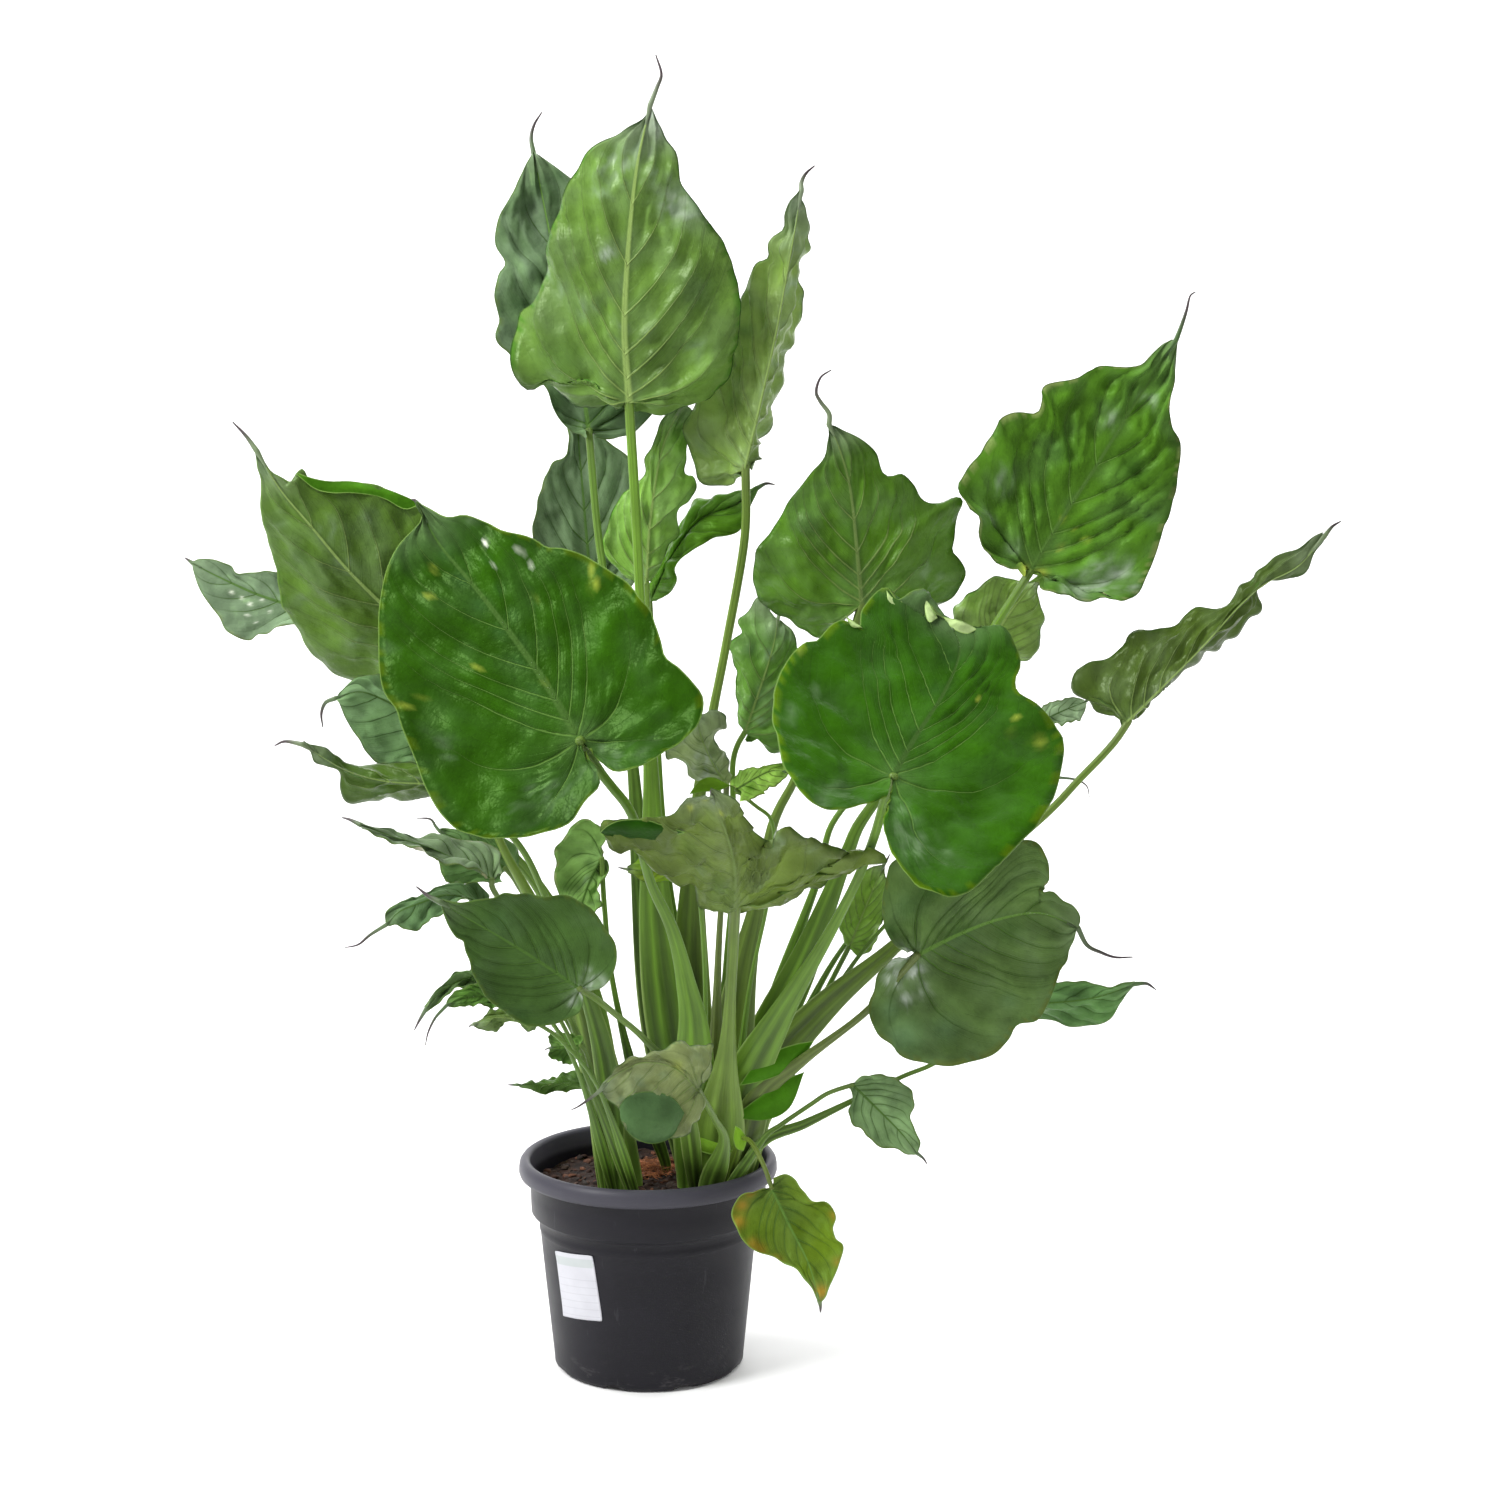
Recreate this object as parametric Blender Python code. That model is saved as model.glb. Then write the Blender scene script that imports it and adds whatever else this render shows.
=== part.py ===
"""Hooded dwarf elephant ear in a round nursery pot.

Lengths are in metres and +Z is up. The origin lies on the ground under the middle of the pot,
X runs to the right and Y away from the front. Every leaf is one growth: its heart-shaped blade
and its stalk are one closed solid, and the stalk's foot stands in a plain hole in the soil.
"""
import math

import bmesh
import bpy
import numpy as np

# Driving dimensions
MM = 0.001

POT_HEIGHT = 0.204
POT_RIM_OUTER = 0.1230
POT_RIM_INNER = 0.1120
POT_COLLAR = 0.1115
POT_BASE = 0.0905
POT_WALL = 0.0024
POT_FLOOR = 0.0040
POT_SIDES = 36

SOIL_TOP = 0.177
SOIL_CLEAR = 0.0003
SOIL_LUMP = 0.0018
STALK_DEPTH = 0.016
HOLE_CLEAR = 0.0004

LABEL_WIDE = 0.050
LABEL_TALL = 0.064
LABEL_THICK = 0.0006

BLADE_THICK = 0.0011
VEIN_RISE = 0.45
STALK_SIDES = 6
STALK_GAP = 0.0016
SHEATH_AT = 0.24
SHEATH_REACH = 0.20
SHEATH_WIDER = 1.5
FOOT_REACH = 0.088

# The leaves are drawn on the front elevation, the upright plane through the pot's axis: a point
# is where it is seen on that plane (across, up) from the viewing point, and its depth behind it.
EYE_BACK = 2.63
EYE_HIGH = 0.97


# leaf maths begins
def unit(v):
    return v / np.linalg.norm(v)


def seen(across, up, depth):
    """Points in metres for places seen on the front elevation, at a depth behind it, in mm."""
    eye = np.array((0.0, -EYE_BACK, EYE_HIGH))
    across, up, depth = np.broadcast_arrays(across, up, depth)
    on_plane = np.stack((across * MM, 0.0 * across, up * MM), axis=-1)
    return eye + (on_plane - eye) * ((EYE_BACK + depth[..., None] * MM) / EYE_BACK)


def smooth_line(points, count):
    """Evenly spaced points on a smooth curve through the given points."""
    pts = np.asarray(points, dtype=float)
    ends = np.vstack((2 * pts[0] - pts[1], pts, 2 * pts[-1] - pts[-2]))
    fine = []
    for i in range(len(pts) - 1):
        a, b, c, d = ends[i], ends[i + 1], ends[i + 2], ends[i + 3]
        for k in range(12):
            s = k / 12
            fine.append(0.5 * (2 * b + (c - a) * s + (2 * a - 5 * b + 4 * c - d) * s * s
                               + (3 * b - a - 3 * c + d) * s ** 3))
    fine.append(pts[-1])
    fine = np.array(fine)
    run = np.concatenate(((0.0,), np.cumsum(np.linalg.norm(np.diff(fine, axis=0), axis=1))))
    at = np.linspace(0.0, run[-1], count)
    return np.stack([np.interp(at, run, fine[:, k]) for k in range(fine.shape[1])], axis=1)


def along_line(points, shares):
    """Points at the given shares of the length of a smooth curve."""
    fine = smooth_line(points, 161)
    at = np.asarray(shares, dtype=float) * 160
    return np.stack([np.interp(at, np.arange(161), fine[:, k]) for k in range(fine.shape[1])], axis=1)


def leaf(name, face, depth, lean, belly, tone, foot, stout, mid, tail, left, right, stalk,
         ripple=(3, 1.5)):
    """One leaf's own values in mm. The midrib runs from the joint to the tip and the margins from
    the notch round the back lobes to the tip, left and right as drawn with the tip up. Depth is
    that of the joint and of the tip, lean how far behind the midrib each margin lies where the
    blade is widest, and belly how far the middle of each half lies behind a straight line."""
    return {"name": name, "face": face, "depth": depth, "lean": lean, "belly": belly,
            "tone": tone, "foot": foot, "stout": stout * MM, "mid": mid, "tail": tail,
            "left": left, "right": right, "stalk": stalk, "ripple": ripple}


def blade_depth(lf, pts):
    """Depth of the blade's mean plane at places on the front elevation."""
    joint = np.array(lf["mid"][0], dtype=float)
    run = np.array(lf["mid"][-1], dtype=float) - joint
    share = (pts - joint) @ run / run.dot(run)
    return lf["depth"][0] + (lf["depth"][1] - lf["depth"][0]) * np.clip(share, -0.9, 1.3)


def blade_start(lf, side, t):
    """Share of the midrib where the side vein to the share t of a margin begins."""
    edge = smooth_line(lf[side], 81)
    joint = np.array(lf["mid"][0], dtype=float)
    run = np.array(lf["mid"][-1], dtype=float) - joint
    size = math.hypot(*run)
    away = edge - joint
    along = away @ run / size ** 2
    aside = np.abs(away[:, 0] * run[1] - away[:, 1] * run[0]) / size ** 2
    share = np.clip(along - VEIN_RISE * aside, 0.0, 1.0)
    share = np.maximum.accumulate(share)
    padded = np.concatenate((np.zeros(4), share, np.ones(4)))
    share = np.convolve(padded, np.ones(9) / 9, "valid")
    share[-1] = 1.0
    share = np.clip((share - 0.012) / 0.988, 0.0, 1.0)
    return np.interp(t, np.linspace(0.0, 1.0, 81), share)


def blade_point(lf, side, t, k, start=None):
    """Middle surface of the blade: t along the margin from notch to tip, k out from the midrib."""
    t = np.asarray(t, dtype=float)
    k = np.asarray(k, dtype=float)
    edge = along_line(lf[side], t)
    root = along_line(lf["mid"], blade_start(lf, side, t) if start is None else start)
    full = np.sin(math.pi * np.clip(t, 0, 1) ** 0.62)
    lean = lf["lean"][0] if side == "left" else lf["lean"][1]
    count, swing = lf["ripple"]
    phase = 0.7 if side == "left" else 2.6
    flat = root + (edge - root) * k[:, None]
    depth = (blade_depth(lf, root) * (1 - k) + blade_depth(lf, edge) * k
             + lean * full * k ** 1.25 + lf["belly"] * full * 4 * k * (1 - k)
             + swing * full * k * k * np.sin(2 * math.pi * count * t + phase))
    return np.column_stack((flat, depth))


def tail_point(lf, side, q):
    """Edge of the thin tail at the shares q of its length."""
    q = np.asarray(q, dtype=float)
    line = [lf["mid"][-1]] + list(lf["tail"])
    pos = along_line(line, q)
    step = along_line(line, np.clip(q + 0.05, 0, 1)) - along_line(line, np.clip(q - 0.05, 0, 1))
    aside = np.column_stack((-step[:, 1], step[:, 0]))
    aside = aside / np.linalg.norm(aside, axis=1)[:, None]
    wide = (1.8 - 1.0 * q)[:, None] * (0 if side == "mid" else 1 if side == "left" else -1)
    return np.column_stack((pos + aside * wide, lf["depth"][1] + 9.0 * q))


def strip(a, b, flip):
    """Triangles between two rows of point numbers."""
    faces = []
    i = j = 0
    while i < len(a) - 1 or j < len(b) - 1:
        step_a = j == len(b) - 1 or (i < len(a) - 1
                                     and (i + 1) * (len(b) - 1) <= (j + 1) * (len(a) - 1))
        if step_a:
            tri = (a[i], a[i + 1], b[j])
            i += 1
        else:
            tri = (a[i], b[j + 1], b[j])
            j += 1
        if len(set(tri)) == 3:
            faces.append(tri[::-1] if flip else tri)
    return faces


def blade_sheet(lf, rows, cols, tail_rows=2):
    """Middle surface as points in metres and triangles that face the leaf's upper side."""
    shares = np.linspace(0.0, 1.0, rows + 1)
    ends = np.linspace(0, 1, tail_rows + 1)[1:]
    steps = np.linspace(0.0, 1.0, max(4, rows * 2 // 3) + 1)
    pos = along_line(lf["mid"], steps)
    drawn = [np.column_stack((pos, blade_depth(lf, pos))), tail_point(lf, "mid", ends)]
    total, faces = len(steps) + tail_rows, []
    for side in ("left", "right"):
        lines, out_t, out_k = [], [], []
        root = blade_start(lf, side, shares)
        pick = [int(round(a * (len(steps) - 1))) for a in root]
        pick[-1] = len(steps) - 1
        for r in range(rows):
            pick[r + 1] = max(pick[r], pick[r + 1])
        for r, t in enumerate(shares):
            n = int(round(cols * min(1.0, 1.35 * math.sin(math.pi * t ** 0.62) + 0.3)))
            n = 1 if r == rows else max(2, n) if cols > 2 else max(1, n)
            row = [pick[r]] + [total + len(out_t) + k for k in range(n)]
            if r:
                lines.append((list(range(pick[r - 1], pick[r] + 1)), lines_before, row))
            lines_before = row
            out_t += [t] * n
            out_k += [(k + 1) / n for k in range(n)]
        own = steps[[pick[int(round(t * rows))] for t in out_t]]
        drawn += [blade_point(lf, side, out_t, out_k, own), tail_point(lf, side, ends)]
        flip = (side == "left") == (lf["face"] == "upper")
        for spine, a, b in lines:
            faces += strip([a[0], a[1]], [b[1]], flip) + strip(a[1:], b[1:], flip)
            faces += [(i, b[1], j)[::-1] if flip else (i, b[1], j)
                      for i, j in zip(spine, spine[1:])]
        total += len(out_t)
        tail = [lines_before] + [[len(steps) + i, total + i] for i in range(tail_rows)]
        total += tail_rows
        for a, b in zip(tail, tail[1:]):
            faces += strip(a, b, flip)
    drawn = np.vstack(drawn)
    return seen(drawn[:, 0], drawn[:, 1], drawn[:, 2]), faces


def sheet_normals(points, faces):
    """Unit normals at the points of a sheet of triangles."""
    f = np.array(faces)
    n = np.cross(points[f[:, 1]] - points[f[:, 0]], points[f[:, 2]] - points[f[:, 0]])
    out = np.zeros_like(points)
    for k in range(3):
        np.add.at(out, f[:, k], n)
    return out / np.linalg.norm(out, axis=1)[:, None]


def stalk_course(lf, count):
    """Points of the stalk from its foot to the joint, with depth shared out by height."""
    joint = seen(lf["mid"][0][0], lf["mid"][0][1], lf["depth"][0])
    foot = np.array((lf["foot"][0] * MM, lf["foot"][1] * MM, SOIL_TOP - STALK_DEPTH))
    line = [foot, foot + np.array((0.0, 0.0, STALK_DEPTH + 0.010))]
    middle = []
    for place in lf["stalk"]:
        share = np.clip((place[1] * MM - SOIL_TOP) / (joint[2] - SOIL_TOP + 1e-9), 0.0, 1.0)
        depth = (foot[1] + (joint[1] - foot[1]) * share) / MM if len(place) == 2 else place[2]
        middle.append(seen(place[0], place[1], depth))
    line += middle[::-1]
    line.append(joint)
    return smooth_line(line, count)


def stalk_size(lf, share):
    """Half width and half thickness of the stalk at a share of its length from the foot."""
    low = np.exp(-((np.asarray(share) - SHEATH_AT) / SHEATH_REACH) ** 2)
    return lf["stout"] * (1.0 + SHEATH_WIDER * low), lf["stout"] * (0.9 - 0.15 * low)


def make_room(leaves, count=33, rounds=240):
    """Courses of all stalks, moved in depth until they clear each other and the blades.

    Each course is drawn from the joint down to the foot, and the feet slide on the soil."""
    lines = np.array([stalk_course(lf, count) for lf in leaves])
    share = np.linspace(0.0, 1.0, count)
    sizes = [stalk_size(lf, share) for lf in leaves]
    wide = np.array([s[0] for s in sizes]).ravel()
    thick = np.array([s[1] for s in sizes]).ravel()
    who = np.repeat(np.arange(len(leaves)), count)
    free = np.tile(np.clip((1 - share) * 12, 0.0, 1.0), len(leaves))
    cloud, owner, steep = [], [], []
    for i, lf in enumerate(leaves):
        pts, faces = blade_sheet(lf, 16, 5, 1)
        cloud.append(pts)
        owner.append(np.full(len(pts), i))
        steep.append(np.abs(sheet_normals(pts, faces)[:, 1]))
    cloud, owner, steep = np.vstack(cloud), np.concatenate(owner), np.concatenate(steep)
    p = lines.reshape(-1, 3)
    gap = np.hypot(p[:, None, 0] - cloud[None, :, 0], p[:, None, 2] - cloud[None, :, 2])
    blade_a, blade_b = np.nonzero((gap < wide[:, None] + 0.009) & (who[:, None] != owner[None, :]))
    room = thick[blade_a] + 0.003 + 0.005 * (1 - steep[blade_b])
    fade = np.clip(1 - share * 3.0, 0.0, 1.0)
    for step in range(rounds):
        p = lines.reshape(-1, 3)
        if step % 12 == 0:
            span = wide[:, None] + wide[None, :] + STALK_GAP
            aside = np.hypot(p[:, None, 0] - p[None, :, 0], p[:, None, 2] - p[None, :, 2]) / span
            one, two = np.nonzero((aside < 1.0) & (who[:, None] != who[None, :]))
            need = ((thick[one] + thick[two] + STALK_GAP)
                    * np.sqrt(np.clip(1.0 - aside[one, two] ** 2, 0.0, 1.0)))
        dy = p[one, 1] - p[two, 1] + (who[one] - who[two]) * 1e-6
        lack = np.clip(need - np.abs(dy), 0.0, None) * np.sign(dy)
        push = pushed(lack, one, len(p))
        by = p[blade_a, 1] - cloud[blade_b, 1]
        shove = np.clip(room - np.abs(by), 0.0, None) * np.sign(by)
        push = push + pushed(shove, blade_a, len(p))
        move = (0.5 * push * free).reshape(len(leaves), count)
        move[:, 0] = move[:, 1] = move[:, 2]
        lines[:, :, 1] += move
        feet = lines[:, 0]
        span = wide[::count][:, None] + wide[::count][None, :] + STALK_GAP
        deep = thick[::count][:, None] + thick[::count][None, :] + STALK_GAP
        fx = feet[:, None, 0] - feet[None, :, 0]
        fy = feet[:, None, 1] - feet[None, :, 1]
        crowd = np.where((np.abs(fy) < deep) & (np.abs(fx) < span) & (fx != 0),
                         (span - np.abs(fx)) * np.sign(fx), 0.0)
        lines[:, :, 0] += 0.04 * (crowd.max(axis=1) + crowd.min(axis=1))[:, None] * fade
        ease = 0.25 * (lines[:, 2:, 1] - 2 * lines[:, 1:-1, 1] + lines[:, :-2, 1])
        ease[:, :2] = 0
        lines[:, 1:-1, 1] += ease
        reach = np.hypot(lines[:, 0, 0], lines[:, 0, 1]) + wide[::count]
        over = np.clip(reach - FOOT_REACH - 0.012, 0.0, None) / np.maximum(reach, 1e-6)
        for axis in (0, 1):
            lines[:, :, axis] -= over[:, None] * fade * lines[:, :1, axis]
    return lines


def pushed(amount, where, count):
    """Greatest push each way at every point, added together."""
    ahead, back = np.zeros(count), np.zeros(count)
    np.maximum.at(ahead, where, amount)
    np.minimum.at(back, where, amount)
    return ahead + back
# leaf maths ends


# The leaves, drawn on the front elevation
# leaf table begins
LEAVES = [
    leaf("leaf_01", "under", depth=(40, 5), lean=(35, 10), belly=-10,
         tone="lime", foot=(48, -4), stout=4.6,
         mid=((-14, 916), (-18, 981), (-14, 1053), (-6, 1125), (7, 1183)),
         tail=((13, 1198), (17, 1210), (12, 1227)),
         left=((-20, 909), (-41, 910), (-66, 918), (-90, 930), (-107, 935), (-118, 954), (-118, 981),
               (-113, 997), (-100, 1006), (-92, 1035), (-85, 1071), (-74, 1101), (-62, 1120),
               (-52, 1139), (-36, 1150), (-16, 1159), (-2, 1171), (5, 1183)),
         right=((-7, 907), (16, 907), (42, 914), (65, 923), (80, 943), (87, 977), (87, 1017), (78, 1053),
                (57, 1080), (43, 1100), (34, 1116), (31, 1136), (17, 1158), (10, 1174), (8, 1183)),
         stalk=((-8, 808), (-3, 696), (4, 584), (8, 450), (23, 315))),
    leaf("leaf_02", "upper", depth=(120, 160), lean=(-15, 10), belly=6,
         tone="blue", foot=(37, 26), stout=3.8,
         mid=((-51, 890), (-63, 972), (-82, 1053), (-99, 1140)),
         tail=((-101, 1153), (-98, 1165), (-91, 1176)),
         left=((-56, 884), (-70, 892), (-84, 910), (-95, 931), (-122, 958), (-135, 974), (-131, 991),
               (-136, 1011), (-133, 1030), (-126, 1042), (-134, 1060), (-131, 1084), (-117, 1108),
               (-106, 1129), (-100, 1140)),
         right=((-44, 884), (-18, 883), (1, 899), (16, 922), (24, 963), (15, 1008), (-8, 1058),
                (-39, 1098), (-66, 1118), (-84, 1131), (-98, 1140)),
         stalk=((-42, 785), (-26, 687), (-13, 584), (-4, 470), (14, 315))),
    leaf("leaf_03", "under", depth=(55, 50), lean=(45, 70), belly=-6,
         tone="olive", foot=(59, 14), stout=4.2,
         mid=((93, 855), (108, 918), (120, 972), (130, 1026), (138, 1071), (144, 1107)),
         tail=((144, 1114), (148, 1122), (156, 1129)),
         left=((88, 848), (76, 838), (57, 843), (44, 859), (40, 877), (41, 899), (51, 931), (71, 968),
               (88, 1008), (96, 1026), (103, 1043), (114, 1048), (112, 1061), (124, 1073), (130, 1088),
               (139, 1100), (143, 1107)),
         right=((98, 858), (108, 885), (116, 908), (123, 931), (127, 952), (134, 966), (142, 979),
                (147, 1008), (146, 1030), (144, 1039), (153, 1048), (155, 1060), (151, 1079),
                (148, 1094), (144, 1107)),
         stalk=((92, 789), (74, 687), (62, 626), (50, 555), (42, 450), (42, 315))),
    leaf("leaf_04", "upper", depth=(230, 190), lean=(-10, -10), belly=8,
         tone="blue", foot=(42, 48), stout=3.4,
         mid=((-49, 734), (-55, 808), (-63, 913)),
         tail=((-68, 922), (-72, 929)),
         left=((-59, 726), (-79, 743), (-97, 771), (-103, 789), (-99, 822), (-95, 843), (-85, 859),
               (-73, 870), (-72, 895), (-68, 909), (-64, 913)),
         right=((-40, 726), (-14, 743), (0, 780), (-1, 821), (-8, 849), (-15, 866), (-30, 877),
                (-41, 887), (-54, 904), (-62, 913)),
         stalk=((-29, 640), (-8, 546), (3, 451))),
    leaf("leaf_05", "under", depth=(105, 110), lean=(10, 12), belly=-5,
         tone="lime", foot=(47, 16), stout=3.2,
         mid=((1, 749), (5, 808), (16, 872), (35, 914)),
         tail=((39, 919), (44, 925)),
         left=((-5, 747), (-21, 754), (-36, 771), (-39, 789), (-32, 812), (-21, 833), (-3, 850),
               (3, 870), (13, 892), (21, 907), (32, 914)),
         right=((6, 752), (17, 771), (31, 794), (32, 812), (42, 823), (47, 837), (45, 848), (38, 852),
                (39, 867), (42, 883), (41, 896), (44, 907), (37, 914)),
         stalk=((4, 640), (7, 527), (14, 431))),
    leaf("leaf_06", "upper", depth=(150, 120), lean=(35, -20), belly=-8,
         tone="green", foot=(56, 46), stout=3.0,
         mid=((4, 731), (25, 775), (51, 808), (83, 821), (104, 837)),
         tail=((112, 841), (120, 840)),
         left=((3, 741), (9, 761), (21, 782), (32, 804), (44, 820), (62, 829), (88, 834), (103, 839)),
         right=((10, 731), (21, 737), (29, 750), (28, 763), (42, 777), (62, 790), (86, 796), (95, 815),
                (105, 835)),
         stalk=((9, 640), (15, 527), (24, 431))),
    leaf("leaf_07", "under", depth=(-20, -60), lean=(20, 25), belly=-10,
         tone="olive", foot=(72, 6), stout=4.0,
         mid=((201, 729), (196, 784), (190, 835), (180, 872), (170, 895)),
         tail=((170, 905), (162, 916), (158, 925), (162, 938), (172, 945)),
         left=((194, 722), (179, 707), (160, 696), (144, 703), (130, 716), (111, 730), (101, 744),
               (99, 759), (105, 780), (116, 798), (128, 818), (141, 835), (154, 852), (165, 864),
               (169, 881), (169, 893)),
         right=((207, 722), (228, 710), (251, 716), (272, 727), (290, 744), (297, 757), (290, 770),
                (285, 780), (291, 796), (293, 827), (269, 821), (256, 826), (248, 840), (239, 850),
                (225, 849), (219, 859), (211, 872), (197, 883), (180, 892), (172, 895)),
         stalk=((177, 649), (137, 560), (119, 523), (105, 450), (86, 354))),
    leaf("leaf_08", "upper", depth=(-270, -110), lean=(-10, -10), belly=10,
         tone="bright", foot=(72, -28), stout=4.2,
         mid=((232, 567), (252, 603), (280, 648), (293, 686), (282, 714)),
         tail=((278, 717), (272, 719)),
         left=((225, 547), (216, 544), (201, 539), (178, 536), (155, 542), (139, 560), (128, 583),
               (121, 607), (119, 630), (123, 658), (134, 680), (149, 694), (160, 696), (172, 709),
               (186, 714), (199, 707), (202, 725), (221, 745), (234, 733), (248, 741), (262, 742),
               (268, 718), (280, 715)),
         right=((229, 544), (223, 530), (225, 506), (233, 487), (248, 470), (265, 456), (286, 451),
                (310, 459), (329, 479), (347, 498), (366, 517), (382, 542), (390, 572), (392, 599),
                (382, 620), (365, 635), (348, 645), (346, 659), (351, 676), (343, 695), (330, 706),
                (312, 708), (297, 706), (284, 713)),
         stalk=((225, 540, -266), (208, 492, -182), (173, 420, -140), (124, 334, -104), (86, 261, -58))),
    leaf("leaf_09", "upper", depth=(-260, -160), lean=(-10, -10), belly=10,
         tone="bright", foot=(42, -34), stout=4.2,
         mid=((-62, 603), (-98, 664), (-148, 734), (-189, 785), (-208, 822)),
         tail=((-211, 826), (-214, 827)),
         left=((-56, 590), (-45, 573), (-44, 557), (-57, 543), (-74, 525), (-92, 516), (-128, 510),
               (-156, 511), (-179, 520), (-195, 539), (-207, 561), (-215, 585), (-227, 615), (-232, 632),
               (-243, 649), (-247, 671), (-247, 697), (-246, 725), (-240, 758), (-228, 784), (-214, 799),
               (-206, 810), (-210, 823)),
         right=((-52, 593), (-39, 578), (-23, 572), (-6, 576), (10, 586), (20, 597), (36, 604),
                (49, 619), (51, 640), (45, 655), (32, 671), (18, 682), (11, 704), (4, 726), (-12, 746),
                (-34, 762), (-60, 777), (-78, 782), (-92, 783), (-108, 793), (-129, 798), (-147, 806),
                (-165, 813), (-181, 811), (-198, 819), (-207, 824)),
         stalk=((-39, 569), (-13, 532), (3, 470), (24, 422), (37, 368), (44, 315))),
    leaf("leaf_10", "under", depth=(-80, -120), lean=(30, 15), belly=-10,
         tone="olive", foot=(-18, -16), stout=3.8,
         mid=((-191, 674), (-227, 714), (-272, 760), (-308, 804), (-334, 836), (-355, 872)),
         tail=((-364, 885), (-376, 898)),
         left=((-194, 660), (-219, 649), (-246, 651), (-274, 660), (-297, 673), (-309, 686), (-316, 700),
               (-326, 716), (-333, 735), (-339, 755), (-343, 772), (-345, 785), (-348, 804), (-352, 827),
               (-354, 847), (-357, 870)),
         right=((-181, 678), (-163, 697), (-155, 729), (-162, 762), (-175, 790), (-189, 808),
                (-207, 822), (-225, 831), (-245, 839), (-266, 844), (-289, 841), (-305, 844),
                (-313, 856), (-319, 850), (-325, 841), (-339, 851), (-354, 872)),
         stalk=((-160, 575), (-137, 508), (-112, 459), (-68, 374), (-43, 277))),
    leaf("leaf_11", "upper", depth=(40, 60), lean=(-15, 5), belly=5,
         tone="blue", foot=(-23, 16), stout=3.2,
         mid=((-305, 723), (-355, 739), (-396, 758), (-416, 769)),
         tail=((-420, 772), (-423, 774)),
         left=((-308, 714), (-328, 710), (-354, 705), (-374, 699), (-387, 707), (-394, 721), (-405, 735),
               (-412, 749), (-416, 764)),
         right=((-305, 735), (-318, 753), (-345, 762), (-373, 759), (-382, 766), (-395, 772),
                (-409, 773), (-415, 771)),
         stalk=((-228, 623), (-156, 528), (-99, 459), (-59, 369), (-40, 277))),
    leaf("leaf_12", "upper", depth=(-130, -180), lean=(-10, 45), belly=5,
         tone="blue", foot=(-30, -26), stout=3.0,
         mid=((-185, 596), (-219, 627), (-242, 641), (-265, 649), (-288, 643)),
         tail=((-297, 639), (-301, 629), (-300, 616)),
         left=((-186, 585), (-206, 581), (-229, 581), (-250, 583), (-264, 597), (-277, 621), (-285, 639)),
         right=((-181, 602), (-191, 627), (-214, 651), (-237, 662), (-249, 666), (-272, 659),
                (-285, 647)),
         stalk=((-146, 537), (-116, 499), (-96, 456), (-56, 355), (-38, 277))),
    leaf("leaf_13", "under", depth=(-30, -65), lean=(30, 35), belly=-5,
         tone="olive", foot=(-37, 6), stout=2.8,
         mid=((-163, 560), (-206, 562), (-243, 565), (-276, 574), (-301, 588), (-319, 600)),
         tail=((-335, 603), (-345, 599)),
         left=((-165, 552), (-202, 550), (-230, 546), (-258, 545), (-274, 545), (-283, 557), (-288, 574),
               (-299, 580), (-310, 593), (-320, 600)),
         right=((-161, 568), (-192, 590), (-212, 592), (-229, 588), (-245, 582), (-262, 579),
                (-280, 583), (-294, 592), (-305, 599), (-319, 603)),
         stalk=((-137, 509), (-110, 451), (-73, 369), (-45, 277))),
    leaf("leaf_14", "upper", depth=(-160, -195), lean=(-20, 30), belly=5,
         tone="dull", foot=(-40, -48), stout=2.6,
         mid=((-145, 471), (-175, 488), (-203, 502), (-235, 512), (-267, 524)),
         tail=((-277, 529), (-284, 531)),
         left=((-150, 471), (-167, 481), (-197, 493), (-221, 501), (-244, 508), (-266, 520)),
         right=((-138, 478), (-137, 497), (-151, 507), (-174, 509), (-197, 511), (-214, 512),
                (-226, 516), (-235, 513), (-244, 518), (-265, 526)),
         stalk=((-141, 456), (-101, 394), (-59, 297))),
    leaf("leaf_15", "upper", depth=(-48, -84), lean=(0, 20), belly=5,
         tone="blue", foot=(-28, 2), stout=2.4,
         mid=((-133, 482), (-156, 499), (-179, 511), (-193, 517)),
         tail=((-197, 522), (-202, 529), (-215, 530)),
         left=((-135, 469), (-147, 467), (-170, 469), (-188, 469), (-194, 482), (-196, 494), (-196, 507),
               (-194, 515)),
         right=((-126, 471), (-119, 482), (-120, 499), (-130, 509), (-146, 514), (-165, 519),
                (-184, 520), (-192, 519)),
         stalk=((-124, 471), (-82, 394), (-47, 296))),
    leaf("leaf_16", "upper", depth=(-150, -190), lean=(-10, 15), belly=5,
         tone="blue", foot=(-44, -32), stout=2.4,
         mid=((-152, 449), (-185, 457), (-213, 449), (-232, 441), (-244, 429)),
         tail=((-260, 419), (-271, 410), (-284, 407)),
         left=((-153, 442), (-166, 447), (-180, 446), (-191, 438), (-204, 435), (-211, 425), (-221, 421),
               (-229, 424), (-236, 428), (-242, 427)),
         right=((-150, 455), (-158, 462), (-170, 468), (-189, 467), (-208, 459), (-230, 451),
                (-242, 443), (-246, 431)),
         stalk=((-129, 423), (-92, 365), (-57, 287))),
    leaf("leaf_17", "upper", depth=(-300, -330), lean=(-8, -8), belly=8,
         tone="dull", foot=(44, -48), stout=2.8,
         mid=((-64, 366), (-101, 392), (-138, 416), (-175, 438), (-194, 450)),
         tail=((-205, 456), (-216, 465)),
         left=((-60, 355), (-68, 340), (-83, 332), (-97, 331), (-111, 330), (-122, 336), (-134, 343),
               (-147, 353), (-158, 367), (-165, 383), (-169, 399), (-172, 412), (-180, 416), (-187, 428),
               (-193, 448)),
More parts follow.
